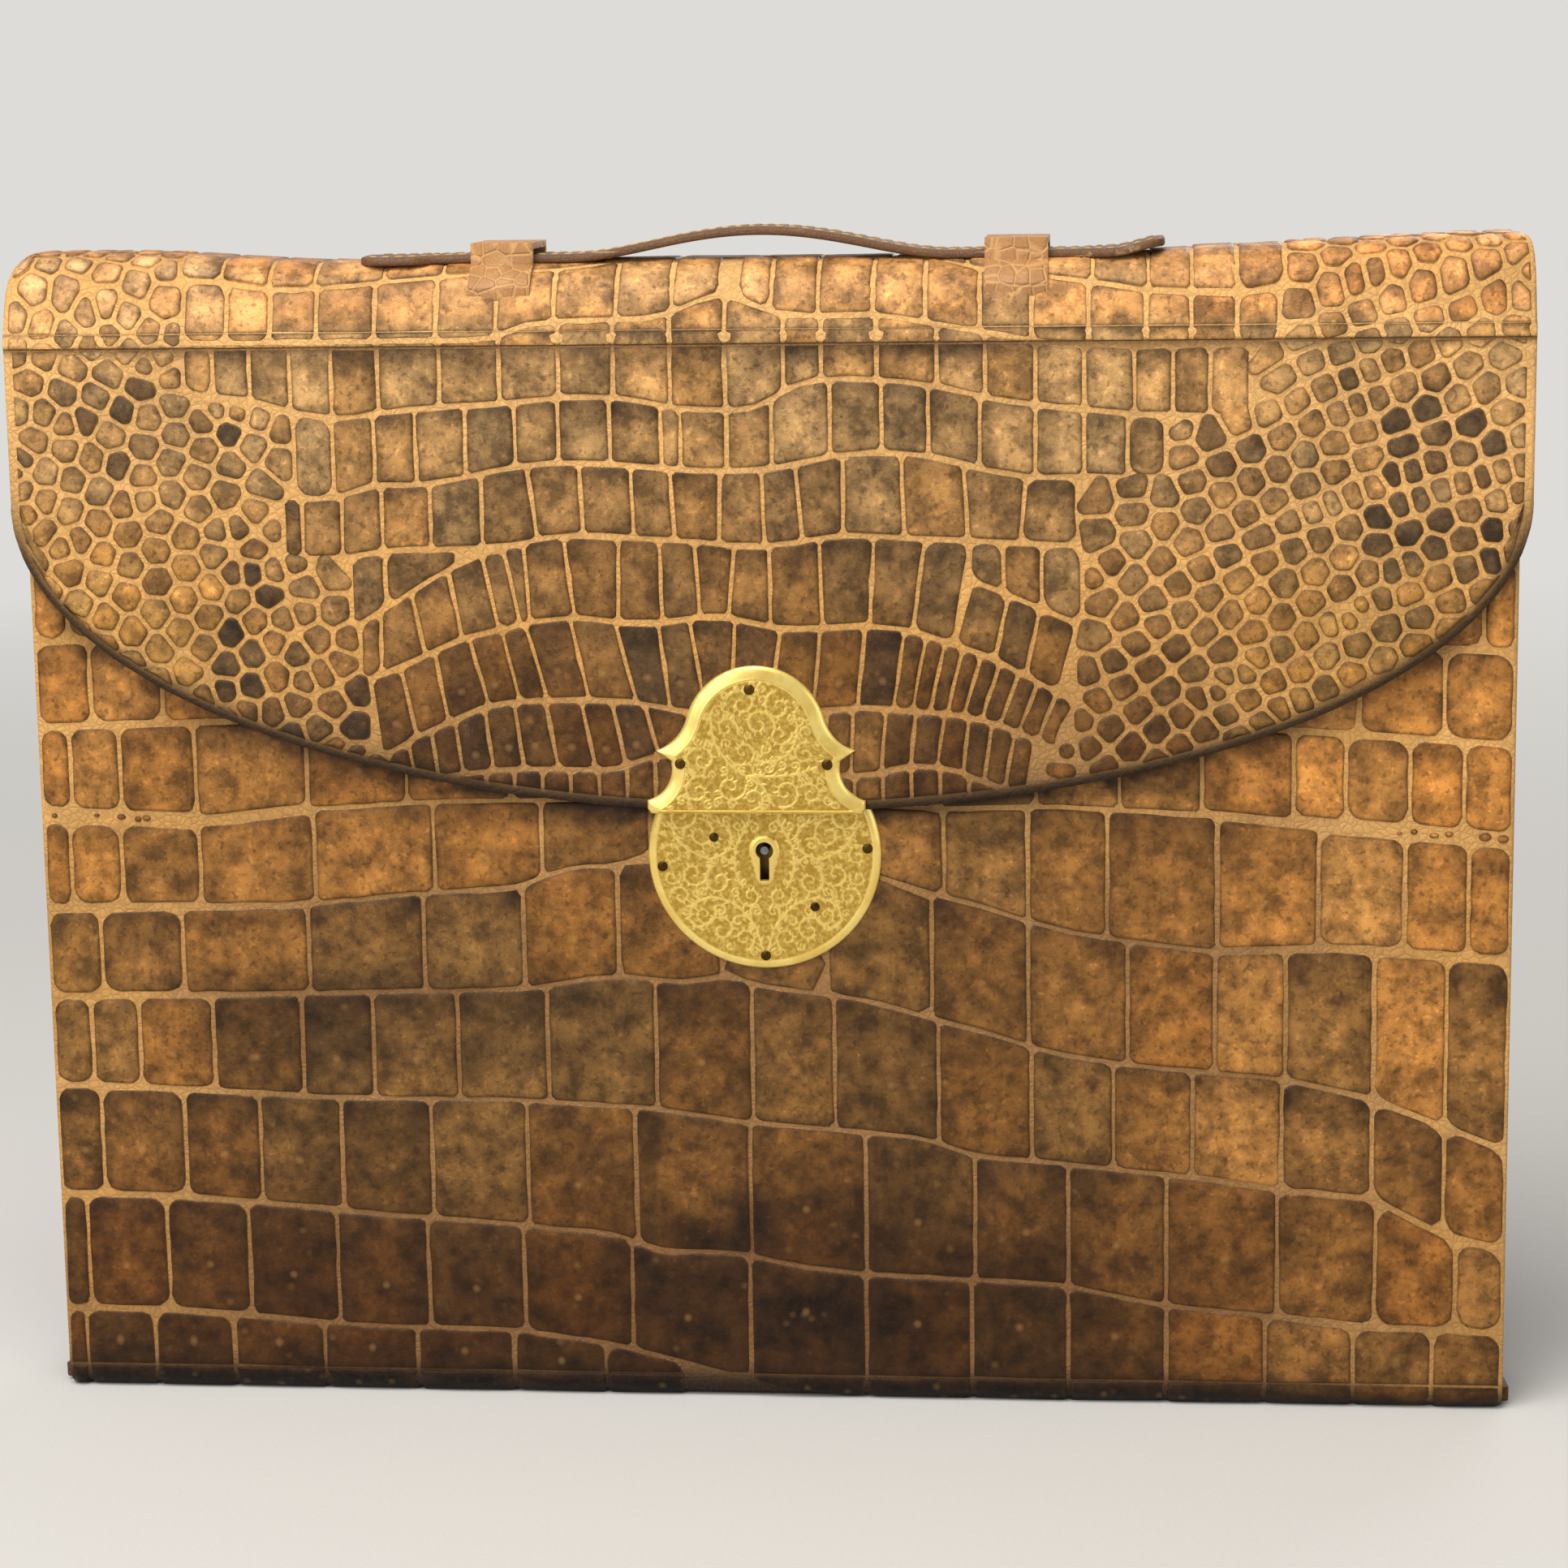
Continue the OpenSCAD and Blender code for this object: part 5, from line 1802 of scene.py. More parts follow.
WRAP_ROWS: tuple[Row, ...] = (
    Row(
        ((-150, BACK_START), (150, BACK_START)),
        LINE_T1,
        (
            -139.5, -129.3, -117.4, -106.4, -89.7, -75.5, -58, -38, -20, 0, 15, 32, 50, 66, 79.5, 92.5, 102.7, 113.3,
            124.3,
        ),
    ),
    Row(LINE_T1, LINE_T2, (-138, -127.5, -116.9, -105.6, -91.5, -76.6, -62.1, -48.2, -33.3, -20.1, -8.6)),
    Row(LINE_T1, LINE_T2, (-4.2, 3.7, 14.8, 27.9, 40.1, 53.1, 65.3, 78.7, 92.1, 102.6, 113.2, 123)),
    Row(
        LINE_T2,
        LINE_F1,
        (
            -138.3, -131, -122.1, -112.3, -102.2, -90.9, -76, -61.5, -47.3, -34.1, -20.5, -7.4, 6.6, 15.6, 28.7, 42.9,
            54.3, 66.1, 77.6, 89.3, 98.4, 107, 116.4,
        ),
    ),
    Row(
        LINE_F1,
        LINE_F2,
        (
            -111.8, -102.4, -92.3, -82.2, -70.1, -58.1, -47.7, -35.3, -22.9, -18.3, -7.2, 3.5, 17.5, 29.8, 40.8, 53,
            66.1, 77.6, 87.8, 96.8,
        ),
    ),
    Row(LINE_F2, LINE_F3, (
        -115, -110.4, -100.7, -90.9, -79.1, -66.6, (-55.4, -53.3), (-42.7, -42.2), (-30.4, -29.9), (-21, -20.1),
        (-8.8, -9.4), (1, 1.6), (9.1, 10.6), (20.5, 20.3), (34.3, 35), (49.2, 50), (63.8, 62.5), 76,
    )),
    Row(LINE_F3, LINE_WEDGE, (-99, -90.5, -73)),
    Row(
        LINE_WEDGE, LINE_F4, ((-97, -97.4), (-92, -92.3), (-84.3, -81.4), (-75.2, -72.3), (-66.9, -63.2), (-61.5, -58))
    ),
    Row(LINE_F3, LINE_F4, (
        (-61.5, -58), (-56.8, -55.6), (-46.9, -44.8), (-33.7, -34.1), (-23.9, -23.4), (-15.3, -14.3), (-5.9, -7.4),
        (2.7, 2.7), (14.6, 15.2), (27.6, 26.6), (39.8, 36.8), (50.5, 46.6),
    )),
    Row(LINE_F3, LINE_SPLIT, (50.6, 58.5, 67.5, 77)),
    Row(LINE_SPLIT, LINE_F4, ((51, 46.8), (59.5, 56.4), (67, 63.7), (76, 71.5))),
    Row(LINE_F4, LINE_F5, (
        (-95, -93), (-87.5, -84.1), (-79.1, -76.1), (-70.4, -66.2), (-62.5, -58.6), (-56.7, -51.8), (-45.7, -41.7),
        (-34.7, -30.2), (-24.4, -22.1), (-16.9, -13.4), (-5.9, -7.3), (5.1, 2.2), (14.5, 12.8), (25.4, 23.4),
        (34.8, 32), (40, 36.6), (44.4, 40.8), (48.6, 45), (53, 49), (57.4, 53.2), (62, 57.6), (66.4, 62), (71, 66.6),
        (75, 70.5),
    )),
    Row(LINE_F5, LINE_F6, (
        (-92, -90), (-86, -85), (-80.5, -79), (-74.6, -73), (-67.2, -65.5), (-59.9, -58), (-52.3, -49.5),
        (-43.5, -40.5), (-36, -33), (-28, -25), (-18, -16), (-6, -5), (6, 6), (16, 15), (22.2, 21.5), (30.1, 29),
        (37.3, 36), (44.1, 42.5), (50.1, 48.5), (55.5, 53.6), (61, 58.6), (66, 63.5),
    )),
    Row(LINE_F6, LINE_TIP, tuple(-88 + 6.9 * k for k in range(23))),
)
LEFT_LIMIT: Line = (
    (-116, -86), (-108, -91), (-100, -95), (-82, -99), (-69, -101), (-53.5, -103), (-52, -117), (-37.5, -117),
    (-36.5, -114), (-19, -114), (-17.5, -126), (-2, -141), (45, -142),
)
RIGHT_LIMIT: Line = (
    (-116, 66), (-108, 66), (-98, 74), (-88, 78), (-69, 79), (-34.5, 79), (-33.5, 99), (-20.5, 99), (-19.5, 118),
    (-2, 120), (0, 125), (45, 127),
)
DARK_PLACES: Line = (
    (-153.6, -31.8), (-126, -58), (-131, -63), (-129, -68), (-132, -77.6), (-131.7, -83), (-126.4, -85.5), (-122, -81),
    (-125, -76), (-113, -96), (-104.6, -84), (-96.3, -82.6), (-100.7, -91), (-96, -98), (-120, -63.7), (-162, -22),
    (-153, -23.5), (-128.5, -21.5), (-147, -12), (-156, -18), (106, -23), (99, -13), (151, -22), (158, -21), (86, -6.5),
    (-38, -9.5), (-27, -8),
)


def limit_at(limit: Line, along: float) -> float:
    """The x at which the large scales end, at a place along the wrap."""
    return float(np.interp(along, [p[0] for p in limit], [p[1] for p in limit]))


@dataclass
class HideLayout:
    """Draws every scale of the hide in its unrolled state.

    Attributes:
        seed: Which irregularities.
        back_pitch: Height of a row on the back, in mm.
    """

    seed: int = 11
    back_pitch: float = 24.5

    def front(self) -> list[Scale]:
        """The front's scales: rows of large squares.

        Returns:
            The scales.
        """
        rng = np.random.default_rng(self.seed)
        names = list(FRONT_LINES)
        scales: list[Scale] = []
        for upper, lower in zip(names, names[1:]):
            flare = {"ab": (0.3, 1.5), "bc": (1.5, 0.8)}.get(lower, (0.3, 0.3))
            row = Row(FRONT_LINES[upper], FRONT_LINES[lower], FRONT_CUTS[lower], 0.8, 0.95, 1.5, flare)
            scales += row.scales(rng)
        scales += [self.pebble(x, z, r, rng) for x, z, r in self.side_pebbles(rng)]
        return scales

    def side_pebbles(self, rng: np.random.Generator) -> list[tuple[float, float, float]]:
        """Small round scales in the broad skin between the rows near both sides.

        Args:
            rng: Source of the small irregularities.

        Returns:
            Their x, place along and radius.
        """
        made = []
        curve = bend(FRONT_LINES["ab"])
        for side in (-1, 1):
            for x in np.arange(152, 178, 4.3):
                px = side * (x + rng.uniform(-1.4, 1.4))
                made.append((px, float(curve(px)) + rng.uniform(-0.5, 0.5), rng.uniform(0.4, 1.25)))
        return made

    @staticmethod
    def pebble(x: float, along: float, r: float, rng: np.random.Generator) -> Scale:
        """One small oval scale.

        Args:
            x: Its place across.
            along: Its place along the hide, in mm.
            r: Half its height.
            rng: Source of the small irregularities.

        Returns:
            The scale.
        """
        turn = np.linspace(0, 2 * math.pi, 12, endpoint=False)
        rim = np.stack([x + r * rng.uniform(1.1, 1.6) * np.cos(turn), along + r * np.sin(turn)], -1)
        return Scale(rim, False, rng.uniform(0, 0.3))

    def wrap(self) -> list[Scale]:
        """The scales of the flap, crease, brow, top, back and base.

        Returns:
            The scales.
        """
        rng = np.random.default_rng(self.seed + 1)
        scales = [s for row in WRAP_ROWS for s in row.scales(rng)]
        low, high = FLAP_END, 41.0
        ends = {
            side: self.row_ends(scales, side, LEFT_LIMIT if side < 0 else RIGHT_LIMIT, low, high) for side in (-1, 1)
        }
        scales += Flank((-215, -170), -1, ends[-1], (-TOP_HALF + 0.6, low, -50, high), (6.9, 7.6)).scales(rng)
        scales += Flank((250, -300), 1, ends[1], (50, low, TOP_HALF - 0.6, high), (6.5, 7.5)).scales(rng)
        scales += self.back(rng)
        for scale in scales:
            self.darken(scale, rng)
        return scales

    @staticmethod
    def row_ends(scales: list[Scale], side: int, spare: Line, low: float, high: float) -> Line:
        """The line at which the rows of large scales end at one side, as pairs of along and x.

        Args:
            scales: The large scales.
            side: 1 for the right, -1 for the left.
            spare: The line where no row reaches.
            low: Where it starts along the wrap.
            high: Where it ends.

        Returns:
            The line.
        """
        places = np.arange(low, high + 1, 2.0)
        ends = []
        for a in places:
            over = [
                (side * s.outline[:, 0]).max()
                for s in scales
                if s.outline[:, 1].min() - 0.8 < a < s.outline[:, 1].max() + 0.8
            ]
            ends.append(side * max(over) if over else limit_at(spare, a))
        return tuple(zip(places.tolist(), ends))

    def darken(self, scale: Scale, rng: np.random.Generator) -> None:
        """Blackens the scales at the dark places and in the dark field at the right.

        Args:
            scale: The scale, which it changes.
            rng: Source of the small irregularities.
        """
        x, a = scale.middle()
        near = min(math.hypot(x - px, a - py) for px, py in DARK_PLACES)
        if near < 3.4 and not scale.large:
            scale.dark = rng.uniform(0.7, 1)
        elif 146 < x < 173 and -60 < a < -20:
            scale.dark = rng.uniform(0.35, 0.95)
        elif not scale.large and rng.random() < 0.09:
            scale.dark = rng.uniform(0.2, 0.5)
        if scale.large and a < -62 and rng.random() < 0.3:
            scale.dark = rng.uniform(0.25, 0.6)

    def back(self, rng: np.random.Generator) -> list[Scale]:
        """Rows of squares down the back and under the base, with round scales at both sides.

        Args:
            rng: Source of the small irregularities.

        Returns:
            The scales.
        """
        edges = [BACK_START + self.back_pitch * k for k in range(12)] + [330.0, 352.0]
        half = 118.0
        lines = [
            tuple((x, a + (0 if k == 0 else rng.uniform(-2.2, 2.2))) for x in np.arange(-130, 131, 26.0))
            for k, a in enumerate(edges)
        ]
        rows: list[Scale] = []
        for upper, lower in zip(lines[1:], lines):
            cuts = [-half + rng.uniform(0, 9)]
            while cuts[-1] < half - 12:
                cuts.append(cuts[-1] + rng.uniform(18, 27))
            rows += Row(upper, lower, tuple(cuts), corner=1.8).scales(rng)
        scales = list(rows)
        for side in (-1, 1):
            box = (-179.4, 41.8, -90, 351) if side < 0 else (90, 41.8, 179.4, 351)
            limit = self.row_ends(rows, side, ((0.0, side * half), (360.0, side * half)), 40, 352)
            scales += Flank((side * 320, 400), side, limit, box, (8.2, 8.6), 1.2).scales(rng)
        return scales


def scale_layer(
    name: str,
    scales: Iterable[Scale],
    contour: Contour,
    low: float,
    high: float,
    tint: Tint,
    seed: int,
    cuts: Sequence[float] = (),
    trim: Point = (PARTING, PARTING),
) -> bpy.types.Object:
    """One piece with every scale between two places along a contour.

    Args:
        name: The piece's name.
        scales: The scales of the whole hide.
        contour: What they lie on.
        low: Where the piece starts along the contour, in mm.
        high: Where it ends.
        tint: Colours for places in the unrolled hide.
        seed: Which irregularities.
        cuts: Where tooled lines part the scales.
        trim: How far they stay inside the piece's low and high end.

    Returns:
        The piece.
    """
    shell, rng = Shell(), np.random.default_rng(seed)
    skin = Tones.front_skin if contour is FRONT else Tones.wrap_skin
    bounds = [low + trim[0] - PARTING, *cuts, high - trim[1] + PARTING]
    for scale in scales:
        for a, b in zip(bounds, bounds[1:]):
            inside = scale.outline[:, 1].min() < b and scale.outline[:, 1].max() > a
            part = clipped(scale, a + PARTING, b - PARTING) if inside else None
            if part is not None:
                lay_scale(shell, part, contour, tint, skin, rng)
    return shell.make(name, Finish.SCALE.get(), 60)


def kept_on_flap(scale: Scale) -> Scale | None:
    """A scale held inside the flap's rolled edge, or None where nothing of it is left.

    Args:
        scale: The scale.

    Returns:
        The held scale or None.
    """
    rim = scale.outline.copy()
    inset = 2.3
    rim[:, 0] = np.clip(rim[:, 0], -TOP_HALF + inset, TOP_HALF - inset)
    below = rim[:, 1] < -2
    rim[below, 1] = np.maximum(rim[below, 1], flap_low(rim[below, 0], inset))
    part = Scale(rim, scale.large, scale.dark)
    keep = part.area() > 2.5 and np.ptp(rim[:, 1]) > 1.0 and np.ptp(rim[:, 0]) > 1.0
    return part if keep else None


# ---- The wrap, front and flap


@dataclass
class WrappedHide:
    """The hide of the base, back, top and brow, its crease band and their scales.

    Attributes:
        depth: Thickness of the hide with the board inside it, in mm.
        step: Grid step of the skin across, in mm.
        along_step: Grid step along it.
        roll: Radius of its rounded rim.
        bare: Thickness of the bare hide at the crease.
    """

    depth: float = 3.9
    step: float = 5.0
    along_step: float = 3.0
    roll: float = 0.9
    bare: float = 1.5

    def build(self, scales: list[Scale]) -> None:
        """Builds the pieces that ride with the case and the crease between case and flap.

        Args:
            scales: The scales of the whole hide.
        """
        along = edge_steps(CREASE_BAND, float(WRAP.along[-1]), self.along_step, self.roll)
        share = edge_steps(-1, 1, self.step / BODY_HALF, self.roll / BODY_HALF)
        half = wrap_half(along)
        x = share[None, :] * half[:, None]
        a = np.repeat(along[:, None], len(share), 1)
        rim = np.minimum(half[:, None] - np.abs(x), WRAP.along[-1] - a)
        outer = WRAP.grid(x, a, rounded(rim, self.roll))
        inner = WRAP.grid(x, a, -self.depth)
        inner[..., 2] -= top_lift(x, a) * MM
        skin = skin_piece("wrapped_skin", outer, inner, x, a, Tones.wrap_skin)
        seat(skin, "case", "crocodile_hide", "case_hide")
        end = float(WRAP.along[-1]) - 0.6
        spans = (
            ("brow_and_top_scales", CREASE_BAND, BACK_START),
            ("back_scales", BACK_START, BASE_START),
            ("base_scales", BASE_START, end),
        )
        for name, low, high in spans:
            piece = scale_layer(name, self.inside(scales), WRAP, low, high, Tones.wrap_scale, 5, trim=(0.04, PARTING))
            seat(piece, "case", "crocodile_hide")
        self.crease(scales)

    @staticmethod
    def inside(scales: list[Scale]) -> list[Scale]:
        """The scales held inside the wrap's side edges.

        Args:
            scales: The scales of the whole hide.

        Returns:
            The scales that are left.
        """
        kept = []
        for s in scales:
            limit = wrap_half(s.outline[:, 1]) - 1.3
            rim = s.outline.copy()
            rim[:, 0] = np.clip(rim[:, 0], -limit, limit)
            part = Scale(rim, s.large, s.dark)
            if part.area() > 2.5:
                kept.append(part)
        return kept

    def crease(self, scales: list[Scale]) -> None:
        """The bare band at the fold between the top and the flap, with its strips of scale.

        Args:
            scales: The scales of the whole hide.
        """
        along = np.linspace(-CREASE_BAND, CREASE_BAND, 13)
        x = edge_steps(-TOP_HALF, TOP_HALF, self.step, 0.7)
        a = np.repeat(along[:, None], len(x), 1)
        xs = np.repeat(x[None], len(along), 0)
        side = rounded(TOP_HALF - np.abs(xs), 0.7)
        pressed = np.where(a < 0, -0.24, -0.06) * smooth(1.1, 1.75, np.abs(a))
        outer, inner = WRAP.grid(xs, a, side + pressed), WRAP.grid(xs, a, -self.bare)
        band = skin_piece("crease_skin", outer, inner, xs, a, Tones.wrap_skin)
        strips = scale_layer(
            "crease_scales", self.inside(scales), WRAP, -CREASE_BAND, CREASE_BAND, Tones.wrap_scale, 6,
            trim=(PARTING, 0.04),
        )
        for piece in (band, strips):
            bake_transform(piece)
        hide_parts("flap_crease")
        log.info("crease band and strips")


@dataclass
class FrontPanel:
    """The front: its skin over the board, rolled under at the fold, and its scales.

    Attributes:
        depth: Thickness of the hide with its board, in mm.
        drum_r: Radius of the hole for the lock, in mm.
        lock_clear: How far from the lock's middle the scales stay.
        tooled: Height of the tooled line above the table.
        roll: Radius of its rounded rim.
    """

    depth: float = 3.9
    drum_r: float = 24.1
    lock_clear: float = 27.4
    tooled: float = 5.9
    roll: float = 0.8

    def build(self, scales: list[Scale]) -> None:
        """Builds the front's hide.

        Args:
            scales: The front's scales.
        """
        z = edge_steps(float(FRONT.along[0]), FRONT_TOP, 2.5, self.roll)
        z = np.unique(np.concatenate([z[z < 9], z[z >= 9][::2], z[-4:]]))
        x = edge_steps(-BODY_HALF, BODY_HALF, 5.0, self.roll)
        xs, zs = np.repeat(x[None], len(z), 0), np.repeat(z[:, None], len(x), 1)
        rim = np.minimum(BODY_HALF - np.abs(xs), FRONT_TOP - zs)
        outer, inner = FRONT.grid(xs, zs, rounded(rim, self.roll)), FRONT.grid(xs, zs, -self.depth)
        skin = skin_piece("front_skin", outer, inner, xs, zs, Tones.front_skin)
        turn = np.linspace(0, 2 * math.pi, 72, endpoint=False)
        circle = [(self.drum_r * math.cos(t), LOCK_Z + self.drum_r * math.sin(t)) for t in turn]
        carve(skin, [cutter("drum_cut", circle, FRONT_Y - MID_Y - 3, FOLD_Y - MID_Y + 3)])
        retint(skin, Tones.front_skin)
        seat(skin, "front", "crocodile_hide", "front_hide")
        kept = [part for part in (self.outside_lock(s) for s in scales) if part is not None]
        low, high = float(FRONT.along[0]) + 0.3, FRONT_TOP - 0.9
        piece = scale_layer("front_scales", kept, FRONT, low, high, Tones.front_scale, 7, (self.tooled,))
        seat(piece, "front", "crocodile_hide")

    def outside_lock(self, scale: Scale) -> Scale | None:
        """The part of a scale that lies outside the lock's drum, seen from the lock's middle.

        Args:
            scale: The scale.

        Returns:
            The part, or None where too little is left.
        """
        away = scale.outline - [0, LOCK_Z]
        far = np.hypot(away[:, 0], away[:, 1])
        limit = self.lock_clear
        if far.min() > limit:
            return scale
        middle = scale.middle() - [0, LOCK_Z]
        heading = math.atan2(middle[1], middle[0])
        turn = (np.arctan2(away[:, 1], away[:, 0]) - heading + math.pi) % (2 * math.pi) - math.pi
        if np.hypot(*middle) < 4 or np.ptp(turn) > math.pi:
            return None
        near, out = [], []
        after = np.roll(away, -1, 0)
        for angle in np.linspace(turn.min() + 1e-3, turn.max() - 1e-3, 18) + heading:
            ray = np.array([math.cos(angle), math.sin(angle)])
            side = after - away
            cross = ray[0] * side[:, 1] - ray[1] * side[:, 0]
            cross = np.where(np.abs(cross) < 1e-9, 1e-9, cross)
            reach = (away[:, 0] * side[:, 1] - away[:, 1] * side[:, 0]) / cross
            share = (away[:, 0] * ray[1] - away[:, 1] * ray[0]) / cross
            hits = reach[(share >= 0) & (share <= 1) & (reach > 0)]
            if len(hits) < 2 or hits.max() < limit + 0.7:
                continue
            near.append(ray * max(hits.min(), limit))
            out.append(ray * hits.max())
        if len(near) < 3:
            return None
        part = Scale(np.array(near[::-1] + out) + [0, LOCK_Z], scale.large, scale.dark)
        return part if part.area() > 4 else None


@dataclass
class Flap:
    """The flap: skin with a rolled edge, scales and lining.

    Attributes:
        thickness: Thickness of its hide and card, in mm.
        roll: Radius of its rolled edge, in mm.
        back_roll: Radius of the edge at its back.
    """

    thickness: float = 2.3
    roll: float = 1.1
    back_roll: float = 0.7

    def build(self, scales: list[Scale]) -> None:
        """Builds the flap's hide, which also stands for its card, its scales and a copy of its lining.

        Args:
            scales: The scales of the whole hide.
        """
        turn = np.sin(np.linspace(-math.pi / 2, math.pi / 2, 97))
        turn = np.unique(np.concatenate([turn, [-0.9999, -0.9985, -0.9965, 0.9965, 0.9985, 0.9999]]))
        down = np.concatenate([np.linspace(0, 0.97, 26), [0.985, 0.992, 0.997, 1.0]])
        x = np.repeat(turn[None] * TOP_HALF, len(down), 0)
        low = flap_low(x[0])[None]
        s = -CREASE_BAND + (low + CREASE_BAND) * down[::-1][:, None]
        rim = flap_rim(x, s)
        outer = WRAP.grid(x, s, rounded(rim, self.roll))
        inner = WRAP.grid(x, s, -self.thickness - rounded(rim, self.back_roll))
        skin = skin_piece("flap_skin", outer, inner, x, s, Tones.wrap_skin)
        seat(skin, "flap", "crocodile_hide", "flap_hide", "flap_card")
        kept = [
            k for k in (kept_on_flap(sc) for sc in scales if sc.outline[:, 1].min() < -CREASE_BAND) if k is not None
        ]
        seat(scale_layer("flap_scales", kept, WRAP, -130, -CREASE_BAND, Tones.wrap_scale, 8), "flap", "crocodile_hide")
        softened("flap_lining", 0, "flap_lining_leather", Finish.LINING.get(), "lining_leather")


# ---- Lock and hasp


@dataclass(frozen=True)
class Engraving:
    """Low relief of leafy scrolls that fills a plate.

    Attributes:
        seed: Which arrangement.
        sizes: Radii of the scrolls, from large to small, in mm.
        height: Height of the leaves over the ground, in mm.
        mirrored: Whether the right half is repeated on the left.
        stems: Long stems that the scrolls grow round, as lines of points.
        tries: How many places are tried for the scrolls of each size.
    """

    seed: int
    sizes: tuple[float, ...] = (3.9, 3.0, 2.3, 1.75, 1.35, 1.05, 0.8)
    height: float = 0.13
    mirrored: bool = False
    stems: tuple[Line, ...] = ()
    tries: int = 420

    def strokes(self, room: Callable[[float, float], float], box: Box) -> tuple[np.ndarray, np.ndarray]:
        """The stems', scrolls' and leaves' lines as points with half widths.

        Args:
            room: Distance from a place to the nearest border, in mm.
            box: Lowest x, lowest z, highest x, highest z.

        Returns:
            The points and their half widths.
        """
        rng = np.random.default_rng(self.seed)
        points: list[np.ndarray] = []
        widths: list[np.ndarray] = []
        for stem in self.stems:
            self.stem(np.array(stem, float), points, widths)
        stems = np.concatenate(points) if points else np.full((1, 2), 1e3)
        placed: list[tuple[float, float, float]] = []
        for size in self.sizes:
            for _ in range(self.tries):
                x, z = rng.uniform(0.4 if self.mirrored else box[0], box[2]), rng.uniform(box[1], box[3])
                if room(x, z) < size * 0.9 or (self.mirrored and x < size * 0.9):
                    continue
                if np.hypot(*(stems - [x, z]).T).min() < size * 0.75:
                    continue
                if all(math.hypot(x - a, z - b) > (size + c) * 0.8 for a, b, c in placed):
                    placed.append((x, z, size))
        for k, (x, z, size) in enumerate(placed):
            hand = 1 if k % 3 else -1
            self.scroll(np.array([x, z]), size, hand, rng.uniform(0, 2 * math.pi), points, widths, rng)
        if self.mirrored:
            points += [p * [-1, 1] for p in points]
            widths += widths
        return np.concatenate(points), np.concatenate(widths)

    @staticmethod
    def stem(line: np.ndarray, points: list[np.ndarray], widths: list[np.ndarray]) -> None:
        """Adds one long smooth stem with small leaves on both sides.

        Args:
            line: The stem's points.
            points: The strokes' points so far, which it adds to.
            widths: Their half widths so far.
        """
        way = np.concatenate([[0], np.cumsum(np.hypot(*np.diff(line, axis=0).T))])
        t = np.arange(0, way[-1], 0.16)
        curve = np.stack([np.interp(t, way, line[:, k]) for k in (0, 1)], -1)
        kernel = np.ones(15) / 15
        for _ in range(3):
            padded = np.pad(curve, ((7, 7), (0, 0)), mode="reflect", reflect_type="odd")
            curve = np.stack([np.convolve(padded[:, k], kernel, mode="valid") for k in (0, 1)], -1)
        points.append(curve)
        widths.append(np.full(len(curve), 0.3))
        for k in range(8, len(curve) - 8, 9):
            ahead = curve[k + 6] - curve[k - 6]
            ahead /= np.hypot(*ahead)
            side = np.array([-ahead[1], ahead[0]]) * (1 if (k // 9) % 2 else -1)
            u = np.linspace(0, 1, 9)[:, None]
            points.append(curve[k] + 1.5 * (ahead * u * 0.9 + side * (0.75 * u**1.4)))
            widths.append(0.26 * np.sin(np.pi * (u[:, 0] * 0.8 + 0.15)) + 0.05)

    def scroll(
        self, centre: np.ndarray, size: float, hand: int, start: float, points: list[np.ndarray],
        widths: list[np.ndarray], rng: np.random.Generator,
    ) -> None:
        """Adds one scroll with its leaves.

        Args:
            centre: Its middle.
            size: Its radius, in mm.
            hand: 1 to turn left, -1 to turn right.
            start: The angle at which it starts.
            points: The strokes' points so far, which it adds to.
            widths: Their half widths so far.
            rng: Source of the small irregularities.
        """
        t = np.linspace(0, 1, max(20, int(size * 22)))
        angle = start + hand * t * 2 * math.pi * 1.3
        radius = size * (1 - 0.86 * t**0.85)
        spine = centre + np.stack([radius * np.cos(angle), radius * np.sin(angle)], -1)
        points.append(spine)
        widths.append((0.2 + 0.03 * size) * (1 - 0.4 * t))
        leaves = max(4, int(size * 3))
        for share in np.linspace(0.02, 0.66, leaves):
            k = int(share * (len(t) - 1))
            outward = (spine[k] - centre) / max(radius[k], 1e-6)
            tangent = np.array([-outward[1], outward[0]]) * hand
            length = (0.3 if k % 2 else 0.46) * size * (1 - 0.5 * share) * rng.uniform(0.8, 1.1)
            side = 1 if k % 3 else -1
            u = np.linspace(0, 1, 10)
            curl = length * (
                tangent[None] * (0.9 * u - 0.35 * u**3)[:, None] + side * outward[None] * (0.85 * u**1.6)[:, None]
            )
            points.append(spine[k] + curl)
            widths.append(0.22 * np.sqrt(np.sin(np.pi * np.clip(u * 0.86 + 0.1, 0, 1))) + 0.04)

    def relief(self, places: np.ndarray, strokes: tuple[np.ndarray, np.ndarray]) -> np.ndarray:
        """How high the leaves stand at each place, from 0 to 1.

        Args:
            places: The places, in mm.
            strokes: The strokes' points and half widths.

        Returns:
            The heights.
        """
        points, widths = (v.astype(np.float32) for v in strokes)
        result = np.zeros(len(places), np.float32)
        for k in range(0, len(places), 1500):
            part = places[k : k + 1500].astype(np.float32)
            d = np.sqrt(((part[:, None] - points[None]) ** 2).sum(-1)) / widths[None]
            near = d.min(1)
            result[k : k + 1500] = np.clip(1.15 - near**2 * 0.8, 0, 1) * (1 - 0.35 * np.exp(-((near / 0.16) ** 2)))
        return result


